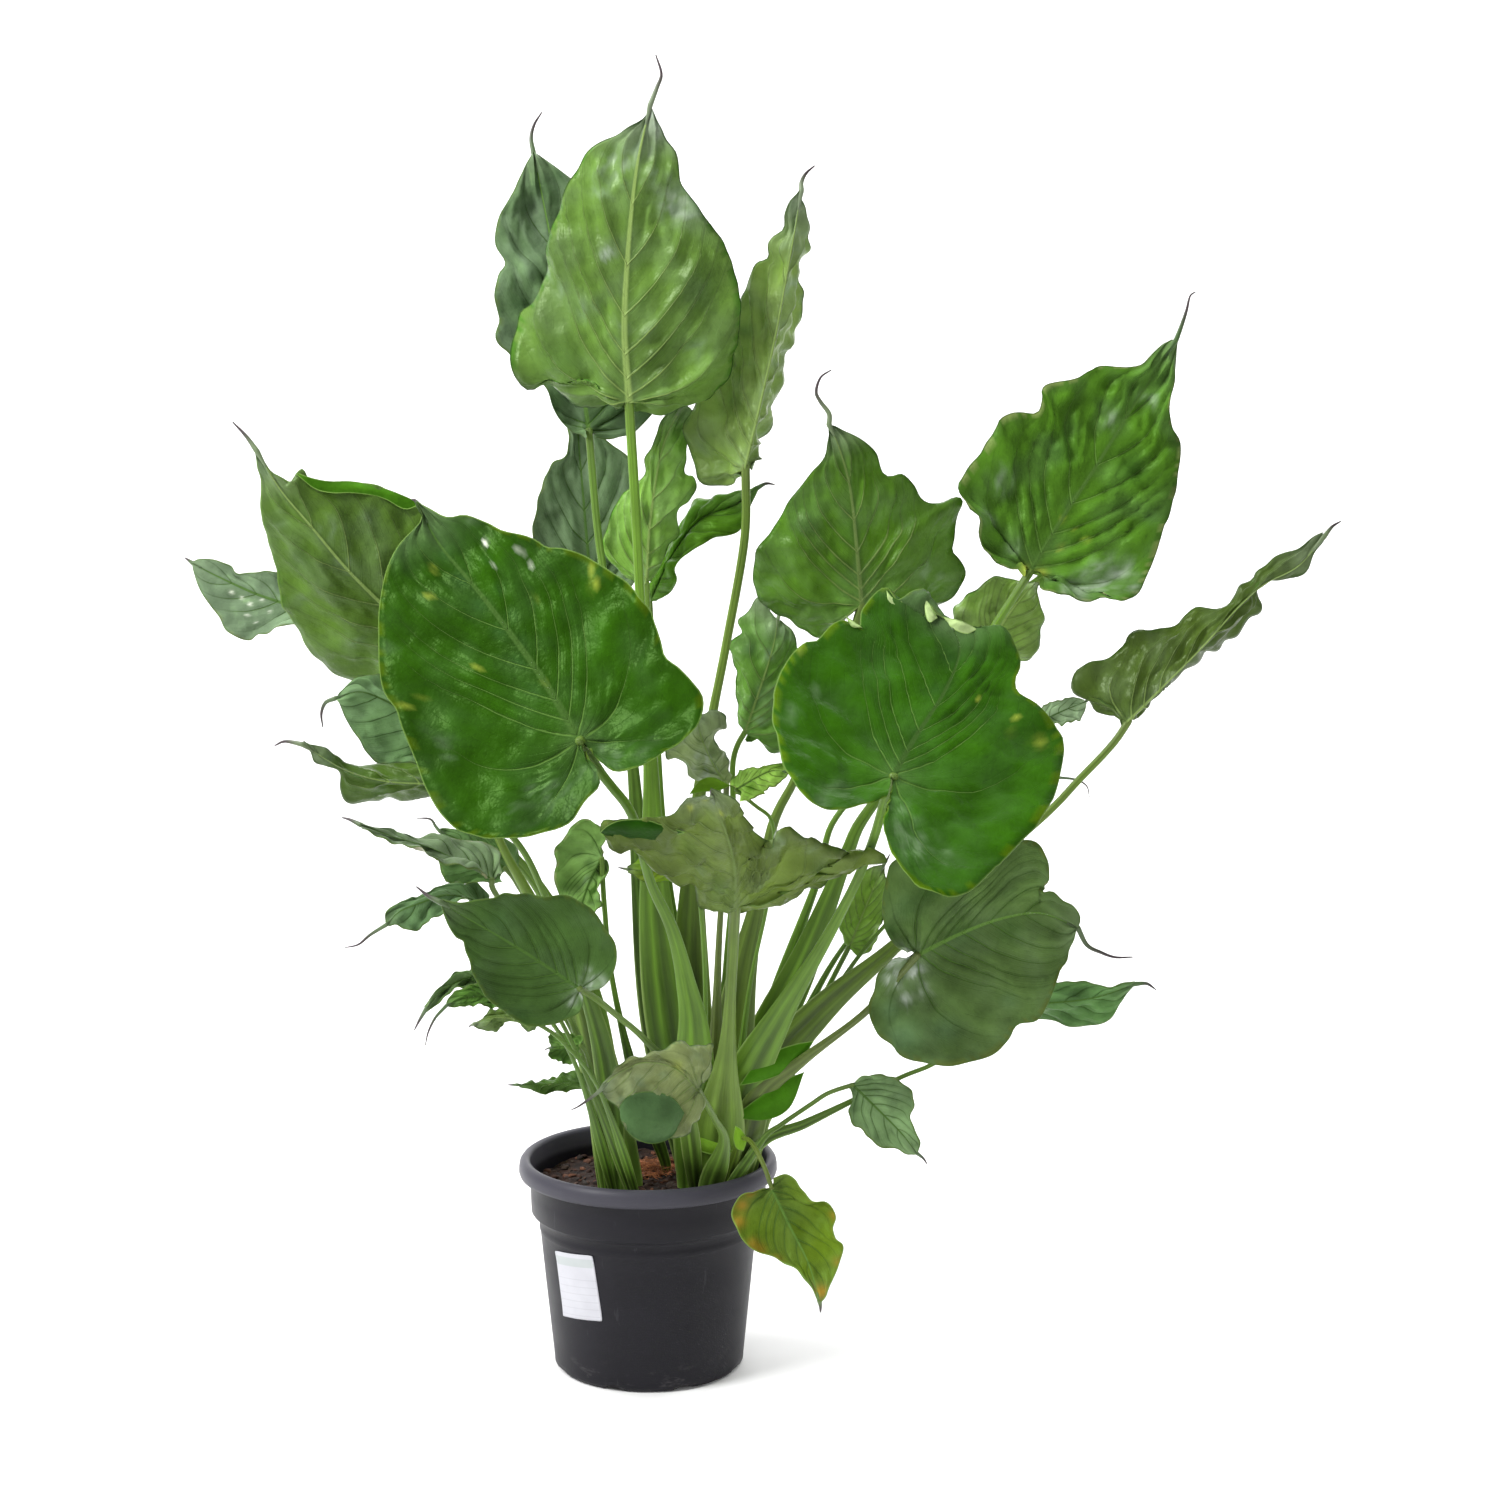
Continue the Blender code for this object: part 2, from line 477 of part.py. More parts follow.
         right=((-52, 364), (-42, 367), (-32, 379), (-28, 393), (-33, 412), (-44, 432), (-58, 446),
                (-74, 454), (-96, 456), (-119, 458), (-133, 459), (-143, 453), (-158, 452), (-173, 449),
                (-185, 450), (-192, 452)),
         stalk=((-45, 358), (-29, 343), (-2, 317), (31, 271))),
    leaf("leaf_18", "upper", depth=(-200, -230), lean=(-5, 10), belly=3,
         tone="blue", foot=(-16, -72), stout=2.0,
         mid=((-115, 379), (-148, 383), (-175, 375), (-195, 363), (-209, 347)),
         tail=((-216, 335), (-220, 327)),
         left=((-115, 370), (-139, 365), (-160, 367), (-181, 365), (-197, 354), (-208, 344)),
         right=((-115, 389), (-138, 399), (-157, 394), (-171, 381), (-186, 375), (-199, 366),
                (-210, 350)),
         stalk=((-92, 355), (-64, 297))),
    leaf("leaf_19", "upper", depth=(-230, -250), lean=(-5, 8), belly=3,
         tone="green", foot=(-33, -64), stout=2.0,
         mid=((-125, 355), (-158, 359), (-177, 356), (-189, 351)),
         tail=((-200, 339), (-207, 325), (-210, 312)),
         left=((-126, 348), (-144, 346), (-160, 348), (-175, 349), (-187, 349)),
         right=((-125, 363), (-144, 370), (-162, 372), (-175, 367), (-185, 359), (-189, 353)),
         stalk=((-97, 345), (-66, 287))),
    leaf("leaf_20", "upper", depth=(-110, -150), lean=(5, 22), belly=3,
         tone="green", foot=(-16, -58), stout=1.8,
         mid=((-60, 275), (-83, 275), (-107, 273), (-124, 273)),
         tail=((-129, 273), (-133, 273)),
         left=((-60, 268), (-74, 268), (-88, 266), (-99, 264), (-112, 267), (-123, 271)),
         right=((-60, 282), (-69, 287), (-81, 285), (-93, 279), (-102, 278), (-114, 275), (-123, 274)),
         stalk=((-46, 253),)),
    leaf("leaf_21", "upper", depth=(-114, -124), lean=(-5, 5), belly=4,
         tone="blue", foot=(-19, -52), stout=1.8,
         mid=((-64, 311), (-78, 310), (-91, 309)),
         tail=((-95, 308), (-98, 306)),
         left=((-64, 301), (-72, 295), (-81, 294), (-90, 299), (-92, 307)),
         right=((-64, 320), (-73, 323), (-85, 322), (-93, 316), (-92, 310)),
         stalk=((-57, 297, -112), (-47, 248, -82))),
    leaf("leaf_22", "under", depth=(-180, -240), lean=(-18, 8), belly=-10,
         tone="dull", foot=(56, -62), stout=3.0,
         mid=((48, 266), (26, 288), (-3, 294), (-28, 283), (-43, 269)),
         tail=((-51, 262), (-65, 252), (-73, 248)),
         left=((51, 257), (48, 241), (34, 225), (7, 215), (-12, 218), (-24, 233), (-28, 249), (-38, 257),
               (-43, 265)),
         right=((54, 274), (57, 291), (61, 310), (50, 310), (31, 314), (16, 308), (0, 304), (-17, 298),
                (-34, 285), (-43, 271)),
         stalk=((63, 239, -134), (72, 217, -90))),
    leaf("leaf_23", "under", depth=(-200, -330), lean=(10, 25), belly=-15,
         tone="olive", foot=(62, -36), stout=5.0,
         mid=((83, 442), (83, 479), (77, 507), (67, 534), (61, 547)),
         tail=((61, 551), (60, 555)),
         left=((75, 440), (55, 445), (41, 460), (22, 473), (8, 481), (-6, 491), (-20, 500), (-32, 508),
               (-44, 515), (-39, 523), (-25, 528), (-6, 529), (13, 530), (27, 534), (36, 546), (46, 553),
               (59, 550)),
         right=((91, 438), (102, 437), (116, 441), (133, 447), (147, 456), (163, 465), (180, 472),
                (196, 478), (212, 484), (227, 489), (210, 498), (191, 495), (182, 502), (168, 504),
                (155, 511), (144, 514), (133, 521), (128, 515), (121, 504), (108, 510), (97, 521),
                (90, 536), (83, 547), (63, 550)),
         stalk=((80, 392), (76, 315), (70, 256))),
    leaf("leaf_24", "under", depth=(-60, -90), lean=(10, 15), belly=-5,
         tone="dusty", foot=(61, -8), stout=2.8,
         mid=((75, 559), (62, 581), (52, 604), (48, 623)),
         tail=((48, 629), (50, 634)),
         left=((67, 555), (55, 557), (43, 569), (36, 578), (22, 585), (20, 597), (32, 604), (41, 614),
               (46, 623)),
         right=((80, 564), (73, 578), (65, 595), (66, 610), (73, 625), (62, 631), (50, 625)),
         stalk=((73, 488), (67, 392))),
    leaf("leaf_25", "under", depth=(60, 92), lean=(10, 15), belly=-5,
         tone="lime", foot=(69, 26), stout=2.8,
         mid=((92, 609), (106, 649), (118, 687), (123, 715)),
         tail=((125, 722), (129, 728)),
         left=((89, 613), (86, 630), (85, 649), (86, 668), (79, 682), (79, 693), (90, 702), (86, 715),
               (97, 726), (106, 735), (120, 716)),
         right=((99, 604), (123, 591), (144, 602), (149, 635), (147, 672), (139, 700), (127, 715)),
         stalk=((81, 579), (83, 488), (76, 392))),
    leaf("leaf_26", "upper", depth=(-80, -110), lean=(5, -5), belly=3,
         tone="lime", foot=(76, -14), stout=1.8,
         mid=((84, 555), (102, 566), (118, 573), (131, 572)),
         tail=((134, 570), (136, 567)),
         left=((80, 561), (88, 572), (99, 577), (111, 579), (123, 579), (131, 574)),
         right=((90, 545), (97, 545), (108, 553), (121, 558), (129, 565), (133, 570)),
         stalk=((99, 542), (119, 520), (114, 450), (95, 353))),
    leaf("leaf_27", "upper", depth=(0, 60), lean=(-12, -12), belly=10,
         tone="bright", foot=(86, 14), stout=4.0,
         mid=((358, 759), (385, 805), (417, 855), (448, 906), (474, 947), (490, 972)),
         tail=((495, 986), (499, 999), (502, 1012), (507, 1016)),
         left=((350, 758), (334, 761), (318, 774), (309, 791), (306, 807), (299, 818), (294, 835),
               (297, 849), (306, 863), (319, 881), (324, 892), (328, 901), (339, 905), (360, 905),
               (365, 916), (367, 928), (383, 934), (400, 938), (415, 947), (431, 949), (446, 949),
               (459, 952), (471, 963), (488, 973)),
         right=((363, 751), (372, 741), (388, 738), (407, 734), (424, 732), (441, 727), (455, 735),
                (464, 745), (473, 768), (481, 793), (487, 814), (493, 839), (496, 864), (494, 880),
                (487, 895), (487, 915), (490, 936), (490, 956), (492, 971)),
         stalk=((317, 695), (243, 582), (203, 526), (190, 497), (149, 392), (105, 295))),
    leaf("leaf_28", "under", depth=(20, 40), lean=(10, 10), belly=-6,
         tone="lime", foot=(81, 34), stout=2.8,
         mid=((317, 681), (335, 714), (353, 738), (365, 750)),
         tail=((369, 754), (373, 758)),
         left=((310, 681), (299, 695), (291, 712), (287, 727), (297, 737), (309, 742), (321, 749),
               (339, 753), (363, 751)),
         right=((326, 674), (340, 670), (353, 674), (361, 681), (366, 695), (371, 716), (368, 732),
                (368, 748)),
         stalk=((261, 611), (180, 531), (161, 469), (121, 353))),
    leaf("leaf_29", "under", depth=(0, -10), lean=(22, 30), belly=-6,
         tone="olive", foot=(92, -8), stout=3.6,
         mid=((452, 617), (482, 647), (519, 685), (553, 724), (578, 746), (609, 763), (633, 791)),
         tail=((640, 800), (648, 805)),
         left=((445, 617), (433, 621), (421, 629), (416, 636), (405, 644), (399, 653), (404, 667),
               (413, 672), (429, 676), (443, 685), (457, 702), (471, 704), (490, 711), (513, 724),
               (532, 723), (550, 734), (564, 746), (570, 758), (582, 769), (596, 776), (610, 779),
               (621, 790), (631, 795)),
         right=((459, 619), (473, 631), (486, 646), (500, 664), (514, 674), (523, 685), (536, 685),
                (542, 693), (554, 699), (565, 715), (575, 722), (574, 743), (588, 750), (606, 753),
                (618, 761), (627, 778), (634, 789)),
         stalk=((437, 595), (407, 563), (375, 529), (305, 468), (225, 396), (164, 343), (114, 280))),
    leaf("leaf_30", "upper", depth=(-130, -170), lean=(-8, -8), belly=8,
         tone="dusty", foot=(83, -38), stout=3.4,
         mid=((256, 396), (296, 416), (334, 430), (372, 435), (408, 421)),
         tail=((417, 404), (430, 397), (444, 392), (461, 392)),
         left=((245, 399), (234, 407), (224, 424), (221, 444), (224, 468), (231, 485), (253, 497),
               (281, 500), (314, 496), (333, 496), (347, 503), (361, 506), (374, 499), (380, 484),
               (382, 467), (373, 457), (384, 455), (394, 447), (404, 443), (410, 430), (409, 422)),
         right=((244, 393), (230, 388), (218, 380), (214, 367), (211, 348), (211, 335), (219, 318),
                (233, 308), (242, 297), (259, 291), (286, 287), (307, 291), (329, 298), (343, 312),
                (352, 327), (369, 330), (378, 341), (387, 361), (390, 372), (392, 380), (398, 388),
                (400, 399), (405, 409), (407, 419)),
         stalk=((235, 374), (202, 338), (145, 293), (105, 256))),
    leaf("leaf_31", "upper", depth=(60, 60), lean=(5, -5), belly=3,
         tone="blue", foot=(89, 44), stout=1.8,
         mid=((364, 615), (388, 627), (412, 637)),
         tail=((416, 639), (420, 640)),
         left=((365, 624), (371, 633), (383, 638), (399, 641), (410, 639)),
         right=((369, 610), (383, 617), (397, 616), (408, 618), (411, 627), (413, 635)),
         stalk=((295, 544), (220, 449), (163, 367))),
    leaf("leaf_32", "upper", depth=(40, 30), lean=(5, 10), belly=3,
         tone="blue", foot=(95, 26), stout=1.8,
         mid=((342, 553), (365, 561), (387, 565)),
         tail=((403, 563), (414, 557), (417, 546)),
         left=((342, 563), (360, 570), (377, 569), (387, 566)),
         right=((342, 544), (365, 548), (379, 559), (387, 564)),
         stalk=((286, 487), (220, 420), (173, 353))),
    leaf("leaf_33", "upper", depth=(-50, -70), lean=(5, 15), belly=5,
         tone="green", foot=(86, -54), stout=2.2,
         mid=((335, 348), (383, 348), (426, 353), (465, 366)),
         tail=((475, 366), (484, 360)),
         left=((335, 359), (354, 366), (378, 368), (392, 369), (411, 368), (435, 366), (449, 367),
               (463, 368)),
         right=((337, 340), (359, 334), (378, 330), (397, 325), (416, 324), (431, 326), (442, 333),
                (450, 347), (459, 360), (466, 365)),
         stalk=((302, 308), (269, 288), (242, 277), (193, 253), (149, 232), (110, 215))),
    leaf("leaf_34", "under", depth=(-110, -130), lean=(-10, 10), belly=-3,
         tone="lime", foot=(52, -30), stout=2.2,
         mid=((43, 477), (8, 478), (-18, 480)),
         tail=((-23, 481), (-27, 482)),
         left=((43, 469), (22, 468), (-2, 468), (-18, 477)),
         right=((43, 487), (22, 492), (-2, 493), (-18, 483)),
         stalk=((50, 450), (55, 354))),
    leaf("leaf_35", "upper", depth=(-60, -90), lean=(0, 0), belly=6,
         tone="blue", foot=(76, -66), stout=2.2,
         mid=((195, 270), (216, 249), (241, 223), (257, 202)),
         tail=((263, 197), (267, 191)),
         left=((198, 273), (204, 277), (213, 281), (226, 277), (237, 274), (248, 264), (254, 252),
               (252, 237), (257, 220), (259, 203)),
         right=((191, 267), (193, 250), (196, 233), (207, 221), (220, 211), (236, 205), (248, 200),
                (256, 200)),
         stalk=((172, 262), (155, 251), (126, 231), (109, 217))),
    leaf("leaf_36", "upper", depth=(-150, -195), lean=(0, 0), belly=8,
         tone="yellow", foot=(74, -50), stout=2.2,
         mid=((118, 169), (135, 132), (153, 95), (164, 57)),
         tail=((165, 51), (165, 45)),
         left=((119, 179), (131, 184), (140, 179), (148, 169), (157, 157), (169, 154), (177, 147),
               (180, 139), (176, 129), (180, 119), (186, 112), (186, 102), (180, 87), (174, 72),
               (171, 61), (166, 55)),
         right=((111, 169), (102, 167), (92, 165), (83, 156), (81, 143), (84, 130), (89, 118), (97, 108),
                (114, 103), (131, 94), (145, 83), (157, 69), (161, 61), (163, 55)),
         stalk=((111, 189, -140), (99, 213, -116), (89, 220, -82), (83, 207, -58))),
    leaf("leaf_37", "upper", depth=(40, 20), lean=(0, 0), belly=5,
         tone="lime", foot=(16, 34), stout=2.6,
         mid=((-42, 491), (-53, 470), (-61, 446), (-63, 426)),
         tail=((-63, 421), (-63, 416)),
         left=((-36, 483), (-41, 465), (-44, 446), (-52, 432), (-60, 426)),
         right=((-42, 503), (-44, 521), (-57, 529), (-70, 520), (-81, 508), (-87, 497), (-85, 484),
                (-88, 470), (-82, 454), (-74, 437), (-65, 426)),
         stalk=((-40, 446), (-33, 374), (-12, 277))),
    leaf("leaf_38", "under", depth=(40, 40), lean=(0, 0), belly=-4,
         tone="green", foot=(69, 46), stout=2.6,
         mid=((192, 406), (207, 444), (223, 482)),
         tail=((226, 487), (229, 493)),
         left=((187, 406), (180, 425), (187, 449), (196, 468), (210, 480), (222, 483)),
         right=((198, 396), (209, 401), (220, 415), (223, 439), (225, 463), (225, 480)),
         stalk=((159, 343), (126, 295))),
    leaf("leaf_39", "under", depth=(-260, -270), lean=(0, 8), belly=-3,
         tone="green", foot=(-11, -78), stout=1.8,
         mid=((-106, 334), (-130, 338), (-149, 338), (-164, 332)),
         tail=((-167, 331), (-169, 329)),
         left=((-106, 326), (-120, 332), (-133, 330), (-144, 326), (-156, 327), (-164, 330)),
         right=((-106, 344), (-125, 348), (-139, 350), (-152, 345), (-162, 337), (-165, 334)),
         stalk=((-78, 316), (-45, 267))),
]
# leaf table ends


# Building the solids
for old in list(bpy.data.objects):
    bpy.data.objects.remove(old, do_unlink=True)

TONES = {
    "lime": (0.170, 0.300, 0.055), "blue": (0.085, 0.150, 0.085), "olive": (0.130, 0.190, 0.050),
    "green": (0.060, 0.160, 0.030), "bright": (0.045, 0.140, 0.015), "dull": (0.090, 0.150, 0.065),
    "dusty": (0.100, 0.130, 0.075), "yellow": (0.230, 0.270, 0.020),
}


def material(name, colour, roughness, metallic=0.0):
    mat = bpy.data.materials.new(name)
    mat.use_nodes = True
    node = mat.node_tree.nodes["Principled BSDF"]
    node.inputs["Base Color"].default_value = (*colour, 1.0)
    node.inputs["Roughness"].default_value = roughness
    node.inputs["Metallic"].default_value = metallic
    mat.diffuse_color = (*colour, 1.0)
    return mat


def solid(name, points, faces, mat):
    """A mesh object with outward faces, linked to the scene."""
    mesh = bpy.data.meshes.new(name)
    mesh.from_pydata([tuple(p) for p in points], [], [tuple(f) for f in faces])
    bm = bmesh.new()
    bm.from_mesh(mesh)
    bmesh.ops.recalc_face_normals(bm, faces=bm.faces)
    bm.to_mesh(mesh)
    bm.free()
    mesh.materials.append(mat)
    ob = bpy.data.objects.new(name, mesh)
    bpy.context.scene.collection.objects.link(ob)
    return ob


def boolean(target, other, operation, solver="EXACT"):
    """Apply one Boolean with another object and remove that object."""
    mod = target.modifiers.new("cut", "BOOLEAN")
    mod.operation = operation
    mod.solver = solver
    mod.object = other
    apply_modifiers(target)
    bpy.data.objects.remove(other, do_unlink=True)


def apply_modifiers(ob):
    graph = bpy.context.evaluated_depsgraph_get()
    mesh = bpy.data.meshes.new_from_object(ob.evaluated_get(graph))
    ob.modifiers.clear()
    ob.data = mesh


def thick_sheet(points, faces, thick):
    """Closed shell of even thickness round a sheet, split alike on both faces."""
    normal = sheet_normals(points, faces)
    count = len(points)
    both = np.vstack((points + normal * thick / 2, points - normal * thick / 2))
    out = [tuple(f) for f in faces] + [tuple(i + count for i in f[::-1]) for f in faces]
    edges = {(f[i], f[(i + 1) % 3]) for f in faces for i in range(3)}
    for a, b in edges:
        if (b, a) not in edges:
            out.append((b, a, a + count))
            out.append((b, a + count, b + count))
    return both, out


def tube(line, halfs, sides):
    """Closed tube along a line; its broad side faces the front."""
    pts, faces = [], []
    step = np.gradient(line, axis=0)
    step[0] = step[1] = (0.0, 0.0, 1.0)
    for p, d, (w, h) in zip(line, step, halfs):
        d = unit(d)
        thin = np.array((0.0, 1.0, 0.0))
        thin = unit(thin - d * thin.dot(d))
        broad = np.cross(d, thin)
        for i in range(sides):
            a = 2 * math.pi * i / sides
            pts.append(p + broad * w * math.cos(a) + thin * h * math.sin(a))
    rings = len(line)
    for r in range(rings - 1):
        for i in range(sides):
            a, b = r * sides + i, r * sides + (i + 1) % sides
            faces.append((a, b, b + sides, a + sides))
    faces.append(tuple(range(sides))[::-1])
    faces.append(tuple((rings - 1) * sides + i for i in range(sides)))
    return pts, faces


def build_leaf(lf, course, mat):
    """Blade and stalk of one leaf as one closed body, and the tool that cuts its hole."""
    length = np.linalg.norm(np.array(lf["mid"][0]) - np.array(lf["mid"][-1]))
    rows, cols = (11, 2) if length > 125 else (8, 2) if length > 70 else (5, 2)
    points, faces = blade_sheet(lf, rows, cols, 2 if length > 70 else 1)
    blade = solid(lf["name"], *thick_sheet(points, faces, BLADE_THICK), mat)
    rings = 9 if length > 125 else 6
    sides = STALK_SIDES if length > 70 else STALK_SIDES - 1
    picks = np.linspace(0, len(course) - 1, rings)[1:-1]
    line = [np.array([np.interp(q, np.arange(len(course)), course[:, k]) for k in range(3)])
            for q in picks]
    halfs = [tuple(float(v) for v in stalk_size(lf, q / (len(course) - 1))) for q in picks]
    out = course[0] * (1, 1, 0) + np.array((0.0, 0.0, SOIL_TOP + 0.006))
    line = [course[0], out] + [p for p in line if p[2] > out[2] + 0.008]
    halfs = [tuple(float(v) for v in stalk_size(lf, 0.0))] * 2 + halfs[len(halfs) + 2 - len(line):]
    line.append(course[-1])
    halfs.append(tuple(float(v) for v in stalk_size(lf, 1.0)))
    stalk = solid(lf["name"] + "_stalk", *tube(np.array(line), halfs, sides), mat)
    boolean(blade, stalk, "UNION")
    return blade, hole_tool(lf, course, sides)


def hole_tool(lf, course, sides):
    """Prism that stands round the foot of a stalk with the hole's clearance."""
    w, h = stalk_size(lf, 0.0)
    foot = course[0].copy()
    foot[2] -= SOIL_CLEAR
    w, h = (float(v) + HOLE_CLEAR * 1.2 for v in (w, h))
    pts, faces = [], []
    for z in (foot[2], SOIL_TOP + 0.02):
        for i in range(sides):
            a = 2 * math.pi * i / sides
            pts.append((foot[0] - w * math.cos(a), foot[1] + h * math.sin(a), z))
    for i in range(sides):
        a, b = i, (i + 1) % sides
        faces.append((a, b, b + sides, a + sides))
    faces.append(tuple(range(sides)))
    faces.append(tuple(i + sides for i in range(sides)))
    return pts, faces


def turned(name, profile, sides, mat):
    """Solid turned round Z from a closed profile of (radius, height); radius 0 lies on the axis."""
    pts, index = [], []
    for r, z in profile:
        if r < 1e-9:
            index.append([len(pts)] * sides)
            pts.append((0.0, 0.0, z))
        else:
            ring = []
            for i in range(sides):
                a = 2 * math.pi * (i + 0.5) / sides
                ring.append(len(pts))
                pts.append((r * math.cos(a), r * math.sin(a), z))
            index.append(ring)
    faces = []
    for a, b in zip(index, index[1:]):
        for i in range(sides):
            j = (i + 1) % sides
            quad = []
            for v in (a[i], a[j], b[j], b[i]):
                if v not in quad:
                    quad.append(v)
            if len(quad) > 2:
                faces.append(quad)
    return solid(name, pts, faces, mat)


def pot_profile():
    """Outline of the pot's wall, from the axis under the floor, out, over the rim and back in."""
    low, top = POT_BASE, POT_HEIGHT
    return ((0.0, 0.0), (low - 0.010, 0.0), (low - 0.003, 0.0012), (low, 0.005),
            (low + 0.0075, 0.080), (low + 0.0128, 0.1335), (low + 0.0136, 0.1360),
            (low + 0.0136, 0.1390), (low + 0.0133, 0.1405), (low + 0.0140, 0.1460),
            (POT_COLLAR, 0.1525), (POT_COLLAR + 0.0012, 0.1860), (POT_RIM_OUTER - 0.0015, 0.1870),
            (POT_RIM_OUTER, 0.1910), (POT_RIM_OUTER - 0.0006, 0.1990),
            (POT_RIM_OUTER - 0.0035, 0.2030), (POT_RIM_OUTER - 0.0060, top),
            (POT_RIM_INNER + 0.0020, 0.2030), (POT_RIM_INNER, 0.2005),
            (POT_COLLAR - POT_WALL, 0.1800), (POT_COLLAR - POT_WALL - 0.0006, 0.1555),
            (low + 0.0136 - POT_WALL, 0.1470), (low + 0.0070 - POT_WALL, 0.080),
            (low - POT_WALL, 0.009), (low - POT_WALL - 0.004, POT_FLOOR), (0.0, POT_FLOOR))


def wall_radius(z, inside):
    """Radius of the pot's inner or outer wall at a height under the rim."""
    profile = pot_profile()
    part = profile[19:25][::-1] if inside else profile[3:12]
    return float(np.interp(z, [p[1] for p in part], [p[0] for p in part]))


def build_pot(mat):
    """The pot's wall and floor, with notches cut under the bottom edge for draining."""
    pot = turned("pot", pot_profile(), POT_SIDES, mat)
    notches = 8
    for i in range(notches):
        a = 2 * math.pi * (i + 0.5) / notches - math.pi / 2
        bpy.ops.mesh.primitive_cube_add(size=1.0, location=(0.0, 0.0, 0.0))
        cut = bpy.context.object
        cut.name = "notch"
        cut.scale = (0.020, 0.010, 0.0032)
        cut.location = (math.cos(a) * (POT_BASE - 0.002), math.sin(a) * (POT_BASE - 0.002), 0.0006)
        cut.rotation_euler = (0.0, 0.0, a + math.pi / 2)
        cut.hide_render = True
        cut.display_type = "WIRE"
        bpy.context.view_layer.update()
        boolean(pot, cut, "DIFFERENCE")
    pot.data.materials.clear()
    pot.data.materials.append(mat)
    return pot


def build_soil(mat, tools):
    """Soil that fills the pot, lumpy on top, with a plain hole for each stalk."""
    rings, sides = 7, POT_SIDES
    edge = wall_radius(SOIL_TOP, True) - SOIL_CLEAR
    pts = [(0.0, 0.0, SOIL_TOP)]
    for r in range(1, rings + 1):
        for i in range(sides):
            a = 2 * math.pi * (i + 0.5) / sides
            rad = edge * r / rings
            x, y = rad * math.cos(a), rad * math.sin(a)
            lump = (math.sin(x * 171 + 1.3) * math.sin(y * 143 + 0.4)
                    + 0.6 * math.sin(x * 317 - y * 261 + 2.0))
            fade = 0.0 if r == rings else 1.0
            pts.append((x, y, SOIL_TOP + SOIL_LUMP * lump * fade - 0.001 * (r == rings)))
    faces = [(0, 1 + i, 1 + (i + 1) % sides) for i in range(sides)]
    for r in range(rings - 1):
        for i in range(sides):
            a, b = 1 + r * sides + i, 1 + r * sides + (i + 1) % sides
            c, d = a + sides, b + sides
            faces.append((a, c, b) if (i + r) % 2 else (a, c, d))
            faces.append((b, c, d) if (i + r) % 2 else (a, d, b))
    last = 1 + (rings - 1) * sides
    for z in (0.1555, 0.1470, 0.080, 0.009, POT_FLOOR + SOIL_CLEAR):
        rad = wall_radius(z, True) - SOIL_CLEAR
        start = len(pts)
        for i in range(sides):
            a = 2 * math.pi * (i + 0.5) / sides
            pts.append((rad * math.cos(a), rad * math.sin(a), z))
        for i in range(sides):
            j = (i + 1) % sides
            faces.append((last + i, start + i, start + j, last + j))
        last = start
    faces.append(tuple(last + i for i in range(sides)))
    soil = solid("soil", pts, faces, mat)
    for tool_pts, tool_faces in tools:
        cut = solid("hole", tool_pts, tool_faces, mat)
        cut.hide_render = True
        cut.display_type = "WIRE"
        boolean(soil, cut, "DIFFERENCE")
    soil.data.materials.clear()
    soil.data.materials.append(mat)
    return soil


def build_label(mat):
    """Blank paper label, bent round the pot's wall low under the collar, a little askew."""
    turn = math.radians(-132.4)
    low, cols, rows = 0.0668, 8, 3
    pts = []
    for skin in (0, 1):
        for r in range(rows + 1):
            for c in range(cols + 1):
                z = low + LABEL_TALL * r / rows
                drop = z + 0.006 * (c / cols - 0.5)
                wall = wall_radius(drop, False)
                rad = wall + SOIL_CLEAR + skin * LABEL_THICK
                a = turn + (c / cols - 0.5) * LABEL_WIDE / wall - 0.05 * (r / rows - 0.5)
                pts.append((rad * math.cos(a), rad * math.sin(a), drop))
    side = (rows + 1) * (cols + 1)
    faces = []
    for r in range(rows):
        for c in range(cols):
            a = r * (cols + 1) + c
            b, d, e = a + 1, a + cols + 1, a + cols + 2
            faces += [(a, b, e), (a, e, d)]
            faces += [(a + side, e + side, b + side), (a + side, d + side, e + side)]
    loop = list(range(cols + 1)) + [r * (cols + 1) + cols for r in range(1, rows + 1)]
    loop += [rows * (cols + 1) + c for c in range(cols - 1, -1, -1)]
    loop += [r * (cols + 1) for r in range(rows - 1, 0, -1)]
    for a, b in zip(loop, loop[1:] + loop[:1]):
        faces += [(b, a, a + side), (b, a + side, b + side)]
    return solid("label", pts, faces, mat)


def main():
    tones = {name: material("leaf_" + name, colour, 0.42) for name, colour in TONES.items()}
    courses = make_room(LEAVES)
    tools = []
    for lf, course in zip(LEAVES, courses):
        body, tool = build_leaf(lf, course, tones[lf["tone"]])
        body.data.materials.clear()
        body.data.materials.append(tones[lf["tone"]])
        tools.append(tool)
    build_pot(material("pot_plastic", (0.030, 0.029, 0.034), 0.48))
    build_soil(material("soil_peat", (0.040, 0.022, 0.013), 0.92), tools)
    build_label(material("label_paper", (0.74, 0.74, 0.77), 0.55))


main()
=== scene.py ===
import math

import bmesh
import bpy
import numpy as np
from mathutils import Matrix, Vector, noise


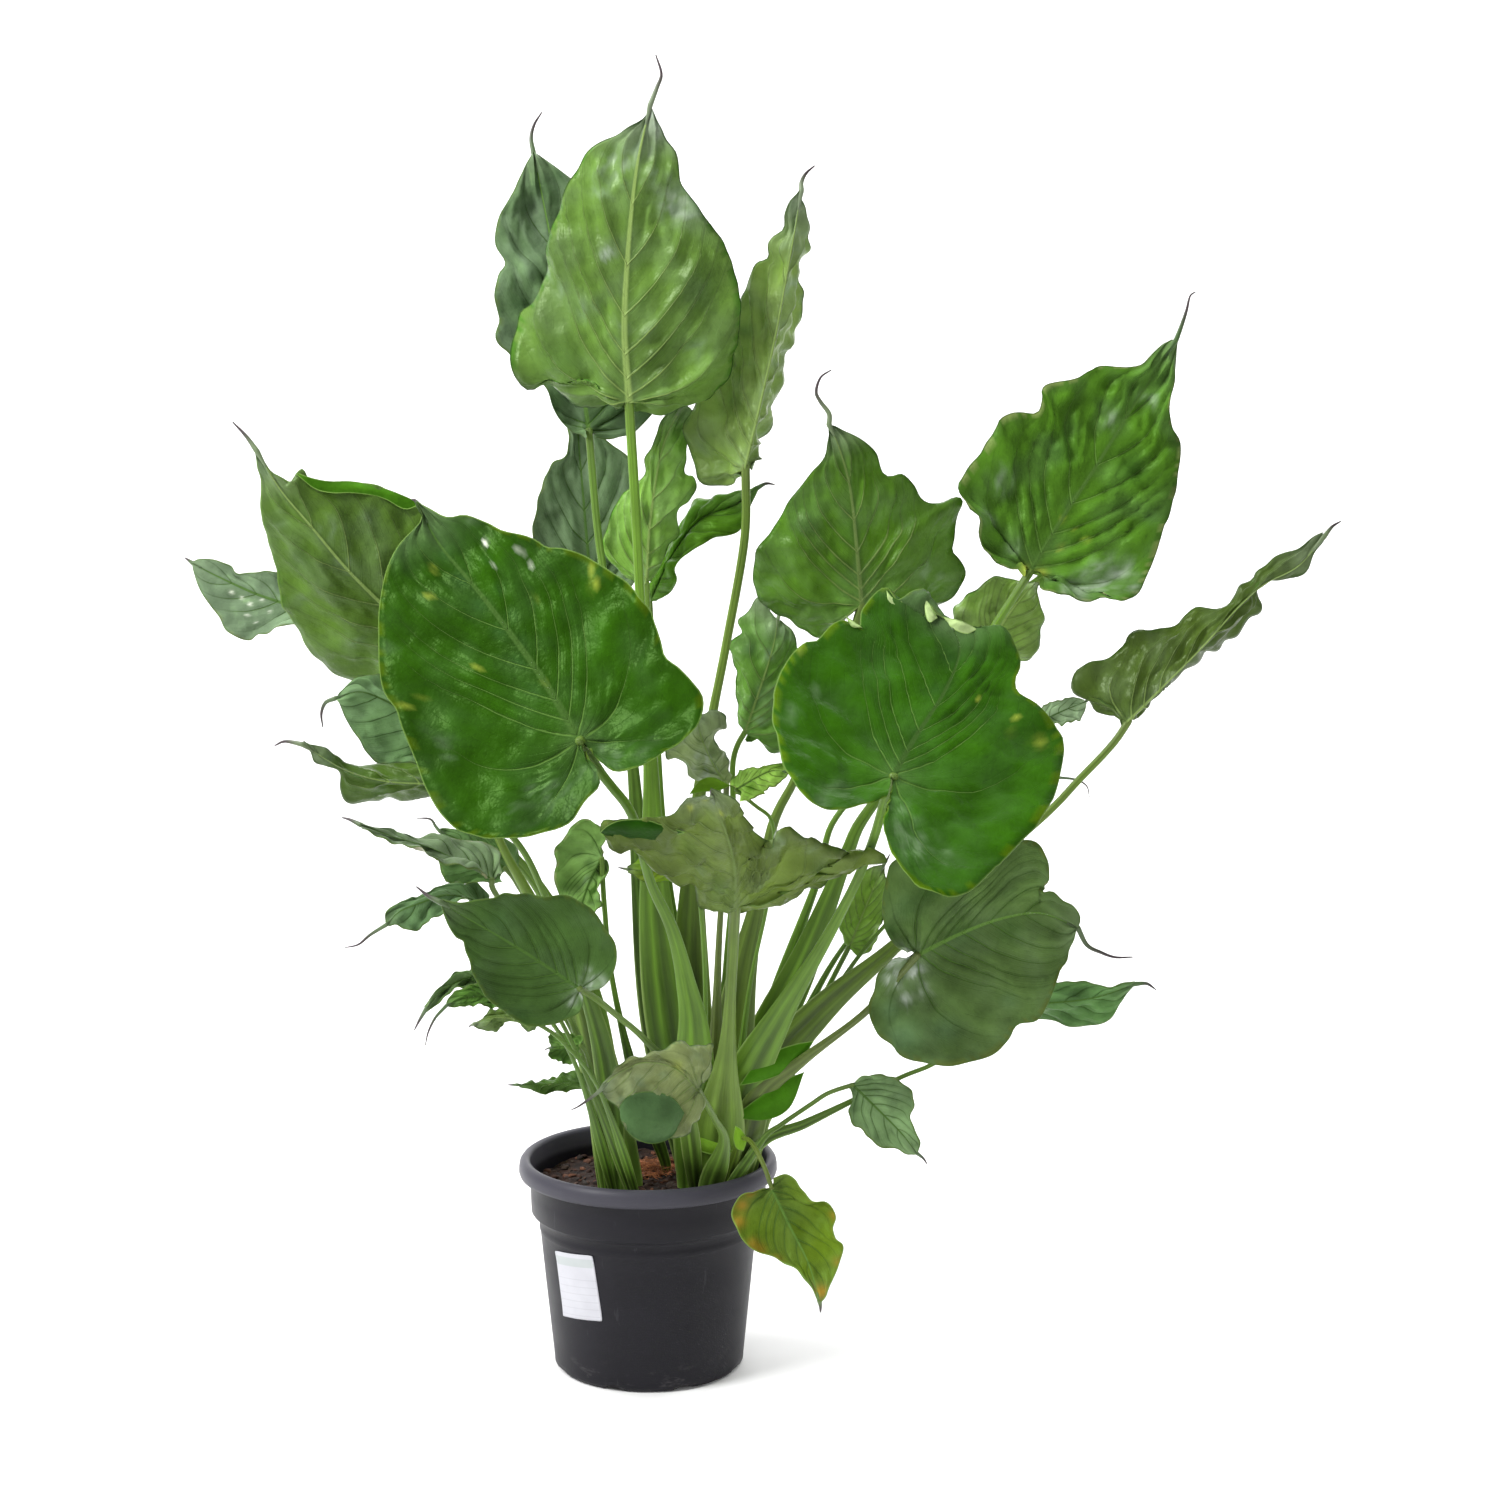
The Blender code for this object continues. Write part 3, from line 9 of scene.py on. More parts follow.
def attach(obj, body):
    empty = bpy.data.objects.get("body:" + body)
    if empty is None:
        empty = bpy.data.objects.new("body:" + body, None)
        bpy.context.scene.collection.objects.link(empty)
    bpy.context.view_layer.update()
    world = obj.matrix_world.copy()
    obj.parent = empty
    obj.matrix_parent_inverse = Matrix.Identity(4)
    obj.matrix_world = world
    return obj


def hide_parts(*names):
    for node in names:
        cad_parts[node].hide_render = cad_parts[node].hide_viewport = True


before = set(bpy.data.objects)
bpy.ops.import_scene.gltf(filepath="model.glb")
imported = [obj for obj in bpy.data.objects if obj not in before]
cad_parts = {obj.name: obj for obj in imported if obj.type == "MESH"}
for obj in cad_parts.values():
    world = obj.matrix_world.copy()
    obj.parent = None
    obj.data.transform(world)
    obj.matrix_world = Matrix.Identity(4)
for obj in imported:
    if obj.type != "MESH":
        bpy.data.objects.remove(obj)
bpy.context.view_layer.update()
print("stage 1: the packed solids are loaded")

# The leaves are drawn on the front elevation, the upright plane through the pot's axis.
# A point is where it is seen on that plane (across, up), and its depth behind it, all in mm.
# The eye: metres back and up, degrees of tilt and turn, and the focal length in picture points.
eye = {"back": 2.63, "high": 0.97, "down": 8.16, "turn": 2.115, "focal": 2843.0, "picture": 1500,
       "sensor": 36.0}
mm = 0.001

stalkMake = {"soilTop": 0.177, "sunk": 0.016, "sheathAt": 0.24, "sheathReach": 0.20,
             "sheathWider": 1.5, "rings": 76, "sides": 30, "dome": {"upper": 0.8, "under": 1.6},
             "wingTint": (0.30, 0.42, 0.12), "sheathTint": (0.13, 0.25, 0.035),
             "jointTint": (0.10, 0.12, 0.045),
             # Painted light and shade of long folds: place beside the ridge, width, strength
             "foldLightShade": ((0.0, 0.11, 0.95), (-0.38, 0.22, -0.50), (0.32, 0.14, -0.34), (-0.85, 0.10, 0.45))}
# How the stalks make room for each other and for the blades, in metres
roomMake = {"steps": 33, "rounds": 240, "refresh": 12, "gap": 0.0016, "bladeNear": 0.009,
            "bladeRoom": 0.003, "flatRoom": 0.005, "footReach": 0.100, "footPush": 0.04, "ease": 0.25,
            "sheetRows": 16, "sheetCols": 5}
bladeMake = {"thick": 0.55, "veinRise": 0.45, "rows": 84, "cols": 22, "marginWaves": 3, "swing": 1.5,
             "edgeSteps": 80, "lineSteps": 160, "pointSteps": 12}


# Leaf drawing: smooth curves through the drawn points
def unit(v):
    return v / np.linalg.norm(v, axis=-1)[..., None]


def seen(drawn):  # across, up and depth become a place on the same line of sight
    eyePoint = np.array((0.0, -eye["back"], eye["high"]))
    drawn = np.asarray(drawn, dtype=float)
    onPlane = np.stack((drawn[..., 0] * mm, 0.0 * drawn[..., 0], drawn[..., 1] * mm), axis=-1)
    return eyePoint + (onPlane - eyePoint) * ((eye["back"] + drawn[..., 2:] * mm) / eye["back"])


def smoothLine(points, count):
    pts = np.asarray(points, dtype=float)
    ends = np.vstack((2 * pts[0] - pts[1], pts, 2 * pts[-1] - pts[-2]))
    fine = []
    for i in range(len(pts) - 1):
        a, b, c, d = ends[i], ends[i + 1], ends[i + 2], ends[i + 3]
        for k in range(bladeMake["pointSteps"]):
            s = k / bladeMake["pointSteps"]
            fine.append(0.5 * (2 * b + (c - a) * s + (2 * a - 5 * b + 4 * c - d) * s * s
                               + (3 * b - a - 3 * c + d) * s ** 3))
    fine = np.array(fine + [pts[-1]])
    run = runAlong(fine)
    return readAt(np.linspace(0.0, run[-1], count), run, fine)


def runAlong(line):
    return np.concatenate(((0.0,), np.cumsum(np.linalg.norm(np.diff(line, axis=0), axis=1))))


def readAt(at, run, line):
    return np.stack([np.interp(at, run, line[:, k]) for k in range(line.shape[1])], axis=1)


def alongLine(points, shares):
    steps = bladeMake["lineSteps"]
    at = np.asarray(shares, dtype=float) * steps
    return readAt(at, np.arange(steps + 1), smoothLine(points, steps + 1))


def places(text):
    return [tuple(float(n) for n in place.split()) for place in text.split(",")]


def leaf(face, stout, **drawn):
    for line in ("mid", "tail", "left", "right", "stalk"):
        drawn[line] = places(drawn[line])
    return {"face": face, "stout": stout * mm, **drawn}


def bladeDepth(lf, pts):
    joint = np.array(lf["mid"][0], dtype=float)
    run = np.array(lf["mid"][-1], dtype=float) - joint
    share = (pts - joint) @ run / run.dot(run)
    return lf["depth"][0] + (lf["depth"][1] - lf["depth"][0]) * np.clip(share, -0.9, 1.3)


# Where along the midrib the side vein to a place on the margin begins
def bladeStart(lf, side, t):
    edge = smoothLine(lf[side], bladeMake["edgeSteps"] + 1)
    joint = np.array(lf["mid"][0], dtype=float)
    run = np.array(lf["mid"][-1], dtype=float) - joint
    size = math.hypot(*run)
    away = edge - joint
    along = away @ run / size ** 2
    aside = np.abs(away[:, 0] * run[1] - away[:, 1] * run[0]) / size ** 2
    share = np.maximum.accumulate(np.clip(along - bladeMake["veinRise"] * aside, 0.0, 1.0))
    padded = np.concatenate((np.zeros(4), share, np.ones(4)))
    share = np.convolve(padded, np.ones(9) / 9, "valid")
    share[-1] = 1.0
    share = np.clip((share - 0.012) / 0.988, 0.0, 1.0)
    return np.interp(t, np.linspace(0.0, 1.0, len(share)), share)


# t runs along the margin from notch to tip, k out from the midrib, and start is a place on the midrib
def bladePoint(lf, side, t, k, start):
    t = np.asarray(t, dtype=float)
    k = np.asarray(k, dtype=float)
    edge = alongLine(lf[side], t)
    root = alongLine(lf["mid"], start)
    full = np.sin(math.pi * np.clip(t, 0, 1) ** 0.62)
    lean = lf["lean"][0] if side == "left" else lf["lean"][1]
    phase = 2 * math.pi * bladeMake["marginWaves"] * t + (0.7 if side == "left" else 2.6)
    flat = root + (edge - root) * k[:, None]
    depth = (bladeDepth(lf, root) * (1 - k) + bladeDepth(lf, edge) * k
             + lean * full * k ** 1.25 + lf["belly"] * full * 4 * k * (1 - k)
             + bladeMake["swing"] * full * k * k * np.sin(phase))
    return np.column_stack((flat, depth))


def tailPoint(lf, side, q):
    q = np.asarray(q, dtype=float)
    line = [lf["mid"][-1]] + list(lf["tail"])
    pos = alongLine(line, q)
    step = alongLine(line, np.clip(q + 0.05, 0, 1)) - alongLine(line, np.clip(q - 0.05, 0, 1))
    aside = unit(np.column_stack((-step[:, 1], step[:, 0])))
    wide = (1.8 - q)[:, None] * {"mid": 0, "left": 1, "right": -1}[side]
    return np.column_stack((pos + aside * wide, lf["depth"][1] + 9.0 * q))


# Triangles between two rows of points, also where one row has more of them
def strip(a, b, flip):
    faces = []
    i = j = 0
    while i < len(a) - 1 or j < len(b) - 1:
        stepA = j == len(b) - 1 or (i < len(a) - 1
                                    and (i + 1) * (len(b) - 1) <= (j + 1) * (len(a) - 1))
        if stepA:
            tri = (a[i], a[i + 1], b[j])
            i += 1
        else:
            tri = (a[i], b[j + 1], b[j])
            j += 1
        if len(set(tri)) == 3:
            faces.append(tri[::-1] if flip else tri)
    return faces


# Coarse sheet of a blade, which the stalks keep clear of. Each side vein begins at a step of the midrib.
def bladeSheet(lf):
    rows, cols = roomMake["sheetRows"], roomMake["sheetCols"]
    shares, tailEnd = np.linspace(0.0, 1.0, rows + 1), (1.0,)
    steps = np.linspace(0.0, 1.0, rows * 2 // 3 + 1)
    pos = alongLine(lf["mid"], steps)
    drawn = [np.column_stack((pos, bladeDepth(lf, pos))), tailPoint(lf, "mid", tailEnd)]
    total, faces = len(steps) + 1, []
    for side in ("left", "right"):
        lines, outT, outK = [], [], []
        root = bladeStart(lf, side, shares)
        pick = [int(round(a * (len(steps) - 1))) for a in root]
        pick[-1] = len(steps) - 1
        for r in range(rows):
            pick[r + 1] = max(pick[r], pick[r + 1])
        for r, t in enumerate(shares):
            n = int(round(cols * min(1.0, 1.35 * math.sin(math.pi * t ** 0.62) + 0.3)))
            n = 1 if r == rows else max(2, n)
            row = [pick[r]] + [total + len(outT) + k for k in range(n)]
            if r:
                lines.append((list(range(pick[r - 1], pick[r] + 1)), before, row))
            before = row
            outT += [t] * n
            outK += [(k + 1) / n for k in range(n)]
        own = steps[[pick[int(round(t * rows))] for t in outT]]
        drawn += [bladePoint(lf, side, outT, outK, own), tailPoint(lf, side, tailEnd)]
        flip = (side == "left") == (lf["face"] == "upper")
        for spine, a, b in lines:
            faces += strip([a[0], a[1]], [b[1]], flip) + strip(a[1:], b[1:], flip)
            faces += [(i, b[1], j)[::-1] if flip else (i, b[1], j)
                      for i, j in zip(spine, spine[1:])]
        total += len(outT)
        faces += strip(before, [len(steps), total], flip)
        total += 1
    return seen(np.vstack(drawn)), faces


def sheetNormals(points, faces):
    f = np.array(faces)
    n = np.cross(points[f[:, 1]] - points[f[:, 0]], points[f[:, 2]] - points[f[:, 0]])
    out = np.zeros_like(points)
    for k in range(3):
        np.add.at(out, f[:, k], n)
    return unit(out)


# Stalks: a course from the foot to the joint, moved in depth until all of them clear each other
def stalkCourse(lf, count):
    joint = seen((*lf["mid"][0], lf["depth"][0]))
    top, sunk = stalkMake["soilTop"], stalkMake["sunk"]
    foot = np.array((lf["foot"][0] * mm, lf["foot"][1] * mm, top - sunk))
    line = [joint]
    for place in lf["stalk"]:
        if len(place) == 2:  # drawn without a depth, so it stands between foot and joint
            share = np.clip((place[1] * mm - top) / (joint[2] - top + 1e-9), 0.0, 1.0)
            place = (*place, (foot[1] + (joint[1] - foot[1]) * share) / mm)
        line.append(seen(place))
    line += [foot + np.array((0.0, 0.0, sunk + 0.010)), foot]
    return smoothLine(line[::-1], count)


def stalkSize(lf, share):  # half width and half depth, with a wider sheath below
    low = np.exp(-((np.asarray(share) - stalkMake["sheathAt"]) / stalkMake["sheathReach"]) ** 2)
    return lf["stout"] * (1.0 + stalkMake["sheathWider"] * low), lf["stout"] * (0.9 - 0.15 * low)


# The strongest push forward and the strongest push back on each point
def pushed(amount, where, count):
    ahead, back = np.zeros(count), np.zeros(count)
    np.maximum.at(ahead, where, amount)
    np.minimum.at(back, where, amount)
    return ahead + back


# Neighbours push each other in depth, feet also sideways, and every course is eased a little
def makeRoom(grown):
    count, gap = roomMake["steps"], roomMake["gap"]
    lines = np.array([stalkCourse(lf, count) for lf in grown])
    share = np.linspace(0.0, 1.0, count)
    wide, thick = np.array([stalkSize(lf, share) for lf in grown]).transpose(1, 0, 2).reshape(2, -1)
    who = np.repeat(np.arange(len(grown)), count)
    free = np.tile(np.clip((1 - share) * 12, 0.0, 1.0), len(grown))  # the joints stay where they are
    cloud, owner, steep = [], [], []
    for i, lf in enumerate(grown):
        pts, faces = bladeSheet(lf)
        cloud.append(pts)
        owner.append(np.full(len(pts), i))
        steep.append(np.abs(sheetNormals(pts, faces)[:, 1]))
    cloud, owner, steep = np.vstack(cloud), np.concatenate(owner), np.concatenate(steep)
    p = lines.reshape(-1, 3)
    apart = np.hypot(p[:, None, 0] - cloud[None, :, 0], p[:, None, 2] - cloud[None, :, 2])
    bladeA, bladeB = np.nonzero((apart < wide[:, None] + roomMake["bladeNear"])
                                & (who[:, None] != owner[None, :]))
    room = thick[bladeA] + roomMake["bladeRoom"] + roomMake["flatRoom"] * (1 - steep[bladeB])
    fade = np.clip(1 - share * 3.0, 0.0, 1.0)
    for step in range(roomMake["rounds"]):
        p = lines.reshape(-1, 3)
        if step % roomMake["refresh"] == 0:
            span = wide[:, None] + wide[None, :] + gap
            aside = np.hypot(p[:, None, 0] - p[None, :, 0], p[:, None, 2] - p[None, :, 2]) / span
            one, two = np.nonzero((aside < 1.0) & (who[:, None] != who[None, :]))
            need = ((thick[one] + thick[two] + gap)
                    * np.sqrt(np.clip(1.0 - aside[one, two] ** 2, 0.0, 1.0)))
        dy = p[one, 1] - p[two, 1] + (who[one] - who[two]) * 1e-6
        lack = np.clip(need - np.abs(dy), 0.0, None) * np.sign(dy)
        push = pushed(lack, one, len(p))
        by = p[bladeA, 1] - cloud[bladeB, 1]
        shove = np.clip(room - np.abs(by), 0.0, None) * np.sign(by)
        push = push + pushed(shove, bladeA, len(p))
        move = (0.5 * push * free).reshape(len(grown), count)
        move[:, 0] = move[:, 1] = move[:, 2]
        lines[:, :, 1] += move
        feet = lines[:, 0]
        span = wide[::count][:, None] + wide[::count][None, :] + gap
        deep = thick[::count][:, None] + thick[::count][None, :] + gap
        fx = feet[:, None, 0] - feet[None, :, 0]
        fy = feet[:, None, 1] - feet[None, :, 1]
        crowd = np.where((np.abs(fy) < deep) & (np.abs(fx) < span) & (fx != 0),
                         (span - np.abs(fx)) * np.sign(fx), 0.0)
        lines[:, :, 0] += roomMake["footPush"] * (crowd.max(axis=1) + crowd.min(axis=1))[:, None] * fade
        ease = roomMake["ease"] * (lines[:, 2:, 1] - 2 * lines[:, 1:-1, 1] + lines[:, :-2, 1])
        ease[:, :2] = 0
        lines[:, 1:-1, 1] += ease
        far = np.hypot(lines[:, 0, 0], lines[:, 0, 1]) + wide[::count]
        over = np.clip(far - roomMake["footReach"], 0.0, None) / np.maximum(far, 1e-6)
        for axis in (0, 1):
            lines[:, :, axis] -= over[:, None] * fade * lines[:, :1, axis]
    return lines


# One entry for each leaf: the side turned to the viewer, its kind of colour, half the stalk's width,
# where the stalk leaves the soil, the depth of joint and tip, how far each margin leans back, how far
# the middle swells back, and the drawn lines. Places and lengths are in mm.
leaves = {
    "leaf_01": leaf(
        "under", tone="lime", stout=4.6, foot=(48, -4), depth=(40, 5), lean=(35, 10), belly=-10,
        mid="-14 916, -18 981, -14 1053, -6 1125, 7 1183", tail="13 1198, 17 1210, 12 1227",
        left="-20 909, -41 910, -66 918, -90 930, -107 935, -118 954, -118 981, -113 997, -100 1006, "
             "-92 1035, -85 1071, -74 1101, -62 1120, -52 1139, -36 1150, -16 1159, -2 1171, 5 1183",
        right="-7 907, 16 907, 42 914, 65 923, 80 943, 87 977, 87 1017, 78 1053, 57 1080, 43 1100, 34 1116, "
              "31 1136, 17 1158, 10 1174, 8 1183",
        stalk="-8 808, -3 696, 4 584, 8 450, 23 315"),
    "leaf_02": leaf(
        "upper", tone="blue", stout=3.8, foot=(37, 26), depth=(120, 160), lean=(-15, 10), belly=6,
        mid="-51 890, -63 972, -82 1053, -99 1140", tail="-101 1153, -98 1165, -91 1176",
        left="-56 884, -70 892, -84 910, -95 931, -122 958, -135 974, -131 991, -136 1011, -133 1030, "
             "-126 1042, -134 1060, -131 1084, -117 1108, -106 1129, -100 1140",
        right="-44 884, -18 883, 1 899, 16 922, 24 963, 15 1008, -8 1058, -39 1098, -66 1118, -84 1131, "
              "-98 1140",
        stalk="-42 785, -26 687, -13 584, -4 470, 14 315"),
    "leaf_03": leaf(
        "under", tone="olive", stout=4.2, foot=(59, 14), depth=(55, 50), lean=(45, 70), belly=-6,
        mid="93 855, 108 918, 120 972, 130 1026, 138 1071, 144 1107", tail="144 1114, 148 1122, 156 1129",
        left="88 848, 76 838, 57 843, 44 859, 40 877, 41 899, 51 931, 71 968, 88 1008, 96 1026, 103 1043, "
             "114 1048, 112 1061, 124 1073, 130 1088, 139 1100, 143 1107",
        right="98 858, 108 885, 116 908, 123 931, 127 952, 134 966, 142 979, 147 1008, 146 1030, 144 1039, "
              "153 1048, 155 1060, 151 1079, 148 1094, 144 1107",
        stalk="92 789, 74 687, 62 626, 50 555, 42 450, 42 315"),
    "leaf_04": leaf(
        "upper", tone="blue", stout=3.4, foot=(42, 48), depth=(230, 190), lean=(-10, -10), belly=8,
        mid="-49 734, -55 808, -63 913", tail="-68 922, -72 929",
        left="-59 726, -79 743, -97 771, -103 789, -99 822, -95 843, -85 859, -73 870, -72 895, -68 909, "
             "-64 913",
        right="-40 726, -14 743, 0 780, -1 821, -8 849, -15 866, -30 877, -41 887, -54 904, -62 913",
        stalk="-29 640, -8 546, 3 451"),
    "leaf_05": leaf(
        "under", tone="lime", stout=3.2, foot=(47, 16), depth=(105, 110), lean=(10, 12), belly=-5,
        mid="1 749, 5 808, 16 872, 35 914", tail="39 919, 44 925",
        left="-5 747, -21 754, -36 771, -39 789, -32 812, -21 833, -3 850, 3 870, 13 892, 21 907, 32 914",
        right="6 752, 17 771, 31 794, 32 812, 42 823, 47 837, 45 848, 38 852, 39 867, 42 883, 41 896, "
              "44 907, 37 914",
        stalk="4 640, 7 527, 14 431"),
    "leaf_06": leaf(
        "upper", tone="green", stout=3.0, foot=(56, 46), depth=(150, 120), lean=(35, -20), belly=-8,
        mid="4 731, 25 775, 51 808, 83 821, 104 837", tail="112 841, 120 840",
        left="3 741, 9 761, 21 782, 32 804, 44 820, 62 829, 88 834, 103 839",
        right="10 731, 21 737, 29 750, 28 763, 42 777, 62 790, 86 796, 95 815, 105 835",
        stalk="9 640, 15 527, 24 431"),
    "leaf_07": leaf(
        "under", tone="olive", stout=4.0, foot=(72, 6), depth=(-20, -60), lean=(20, 25), belly=-10,
        mid="201 729, 196 784, 190 835, 180 872, 170 895",
        tail="170 905, 162 916, 158 925, 162 938, 172 945",
        left="194 722, 179 707, 160 696, 144 703, 130 716, 111 730, 101 744, 99 759, 105 780, 116 798, "
             "128 818, 141 835, 154 852, 165 864, 169 881, 169 893",
        right="207 722, 228 710, 251 716, 272 727, 290 744, 297 757, 290 770, 285 780, 291 796, 293 827, "
              "269 821, 256 826, 248 840, 239 850, 225 849, 219 859, 211 872, 197 883, 180 892, 172 895",
        stalk="177 649, 137 560, 119 523, 105 450, 86 354"),
    "leaf_08": leaf(
        "upper", tone="bright", stout=4.2, foot=(72, -28), depth=(-270, -110), lean=(-10, -10), belly=10,
        mid="232 567, 252 603, 280 648, 293 686, 282 714", tail="278 717, 272 719",
        left="225 547, 216 544, 201 539, 178 536, 155 542, 139 560, 128 583, 121 607, 119 630, 123 658, "
             "134 680, 149 694, 160 696, 172 709, 186 714, 199 707, 202 725, 221 745, 234 733, 248 741, "
             "262 742, 268 718, 280 715",
        right="229 544, 223 530, 225 506, 233 487, 248 470, 265 456, 286 451, 310 459, 329 479, 347 498, "
              "366 517, 382 542, 390 572, 392 599, 382 620, 365 635, 348 645, 346 659, 351 676, 343 695, "
              "330 706, 312 708, 297 706, 284 713",
        stalk="225 540 -266, 208 492 -182, 173 420 -140, 124 334 -104, 86 261 -58"),
    "leaf_09": leaf(
        "upper", tone="bright", stout=4.2, foot=(42, -34), depth=(-260, -160), lean=(-10, -10), belly=10,
        mid="-62 603, -98 664, -148 734, -189 785, -208 822", tail="-211 826, -214 827",
        left="-56 590, -45 573, -44 557, -57 543, -74 525, -92 516, -128 510, -156 511, -179 520, -195 539, "
             "-207 561, -215 585, -227 615, -232 632, -243 649, -247 671, -247 697, -246 725, -240 758, "
             "-228 784, -214 799, -206 810, -210 823",
        right="-52 593, -39 578, -23 572, -6 576, 10 586, 20 597, 36 604, 49 619, 51 640, 45 655, 32 671, "
              "18 682, 11 704, 4 726, -12 746, -34 762, -60 777, -78 782, -92 783, -108 793, -129 798, "
              "-147 806, -165 813, -181 811, -198 819, -207 824",
        stalk="-39 569, -13 532, 3 470, 24 422, 37 368, 44 315"),
    "leaf_10": leaf(
        "under", tone="olive", stout=3.8, foot=(-18, -16), depth=(-80, -120), lean=(30, 15), belly=-10,
        mid="-191 674, -227 714, -272 760, -308 804, -334 836, -355 872", tail="-364 885, -376 898",
        left="-194 660, -219 649, -246 651, -274 660, -297 673, -309 686, -316 700, -326 716, -333 735, "
             "-339 755, -343 772, -345 785, -348 804, -352 827, -354 847, -357 870",
        right="-181 678, -163 697, -155 729, -162 762, -175 790, -189 808, -207 822, -225 831, -245 839, "
              "-266 844, -289 841, -305 844, -313 856, -319 850, -325 841, -339 851, -354 872",
        stalk="-160 575, -137 508, -112 459, -68 374, -43 277"),
    "leaf_11": leaf(
        "upper", tone="blue", stout=3.2, foot=(-23, 16), depth=(40, 60), lean=(-15, 5), belly=5,
        mid="-305 723, -355 739, -396 758, -416 769", tail="-420 772, -423 774",
        left="-308 714, -328 710, -354 705, -374 699, -387 707, -394 721, -405 735, -412 749, -416 764",
        right="-305 735, -318 753, -345 762, -373 759, -382 766, -395 772, -409 773, -415 771",
        stalk="-228 623, -156 528, -99 459, -59 369, -40 277"),
    "leaf_12": leaf(
        "upper", tone="blue", stout=3.0, foot=(-30, -26), depth=(-130, -180), lean=(-10, 45), belly=5,
        mid="-185 596, -219 627, -242 641, -265 649, -288 643", tail="-297 639, -301 629, -300 616",
        left="-186 585, -206 581, -229 581, -250 583, -264 597, -277 621, -285 639",
        right="-181 602, -191 627, -214 651, -237 662, -249 666, -272 659, -285 647",
        stalk="-146 537, -116 499, -96 456, -56 355, -38 277"),
    "leaf_13": leaf(
        "under", tone="olive", stout=2.8, foot=(-37, 6), depth=(-30, -65), lean=(30, 35), belly=-5,
        mid="-163 560, -206 562, -243 565, -276 574, -301 588, -319 600", tail="-335 603, -345 599",
        left="-165 552, -202 550, -230 546, -258 545, -274 545, -283 557, -288 574, -299 580, -310 593, "
             "-320 600",
        right="-161 568, -192 590, -212 592, -229 588, -245 582, -262 579, -280 583, -294 592, -305 599, "
              "-319 603",
        stalk="-137 509, -110 451, -73 369, -45 277"),
    "leaf_14": leaf(
        "upper", tone="dull", stout=2.6, foot=(-40, -48), depth=(-160, -195), lean=(-20, 30), belly=5,
        mid="-145 471, -175 488, -203 502, -235 512, -267 524", tail="-277 529, -284 531",
        left="-150 471, -167 481, -197 493, -221 501, -244 508, -266 520",
        right="-138 478, -137 497, -151 507, -174 509, -197 511, -214 512, -226 516, -235 513, -244 518, "
              "-265 526",
        stalk="-141 456, -101 394, -59 297"),
    "leaf_15": leaf(
        "upper", tone="blue", stout=2.4, foot=(-28, 2), depth=(-48, -84), lean=(0, 20), belly=5,
        mid="-133 482, -156 499, -179 511, -193 517", tail="-197 522, -202 529, -215 530",
        left="-135 469, -147 467, -170 469, -188 469, -194 482, -196 494, -196 507, -194 515",
        right="-126 471, -119 482, -120 499, -130 509, -146 514, -165 519, -184 520, -192 519",
        stalk="-124 471, -82 394, -47 296"),
    "leaf_16": leaf(
        "upper", tone="blue", stout=2.4, foot=(-44, -32), depth=(-150, -190), lean=(-10, 15), belly=5,
        mid="-152 449, -185 457, -213 449, -232 441, -244 429", tail="-260 419, -271 410, -284 407",
        left="-153 442, -166 447, -180 446, -191 438, -204 435, -211 425, -221 421, -229 424, -236 428, "
             "-242 427",
        right="-150 455, -158 462, -170 468, -189 467, -208 459, -230 451, -242 443, -246 431",
        stalk="-129 423, -92 365, -57 287"),
    "leaf_17": leaf(
        "upper", tone="dull", stout=2.8, foot=(44, -48), depth=(-300, -330), lean=(-8, -8), belly=8,
        mid="-64 366, -101 392, -138 416, -175 438, -194 450", tail="-205 456, -216 465",
        left="-60 355, -68 340, -83 332, -97 331, -111 330, -122 336, -134 343, -147 353, -158 367, "
             "-165 383, -169 399, -172 412, -180 416, -187 428, -193 448",
        right="-52 364, -42 367, -32 379, -28 393, -33 412, -44 432, -58 446, -74 454, -96 456, -119 458, "
              "-133 459, -143 453, -158 452, -173 449, -185 450, -192 452",
        stalk="-45 358, -29 343, -2 317, 31 271"),
    "leaf_18": leaf(
        "upper", tone="blue", stout=2.0, foot=(-16, -72), depth=(-200, -230), lean=(-5, 10), belly=3,
        mid="-115 379, -148 383, -175 375, -195 363, -209 347", tail="-216 335, -220 327",
        left="-115 370, -139 365, -160 367, -181 365, -197 354, -208 344",
        right="-115 389, -138 399, -157 394, -171 381, -186 375, -199 366, -210 350",
        stalk="-92 355, -64 297"),
    "leaf_19": leaf(
        "upper", tone="green", stout=2.0, foot=(-33, -64), depth=(-230, -250), lean=(-5, 8), belly=3,
        mid="-125 355, -158 359, -177 356, -189 351", tail="-200 339, -207 325, -210 312",
        left="-126 348, -144 346, -160 348, -175 349, -187 349",
        right="-125 363, -144 370, -162 372, -175 367, -185 359, -189 353",
        stalk="-97 345, -66 287"),
    "leaf_20": leaf(
        "upper", tone="green", stout=1.8, foot=(-16, -58), depth=(-110, -150), lean=(5, 22), belly=3,
        mid="-60 275, -83 275, -107 273, -124 273", tail="-129 273, -133 273",
        left="-60 268, -74 268, -88 266, -99 264, -112 267, -123 271",
        right="-60 282, -69 287, -81 285, -93 279, -102 278, -114 275, -123 274",
        stalk="-46 253"),
    "leaf_21": leaf(
        "upper", tone="blue", stout=1.8, foot=(-19, -52), depth=(-114, -124), lean=(-5, 5), belly=4,
        mid="-64 311, -78 310, -91 309", tail="-95 308, -98 306",
        left="-64 301, -72 295, -81 294, -90 299, -92 307",
        right="-64 320, -73 323, -85 322, -93 316, -92 310",
        stalk="-57 297 -112, -47 248 -82"),
    "leaf_22": leaf(
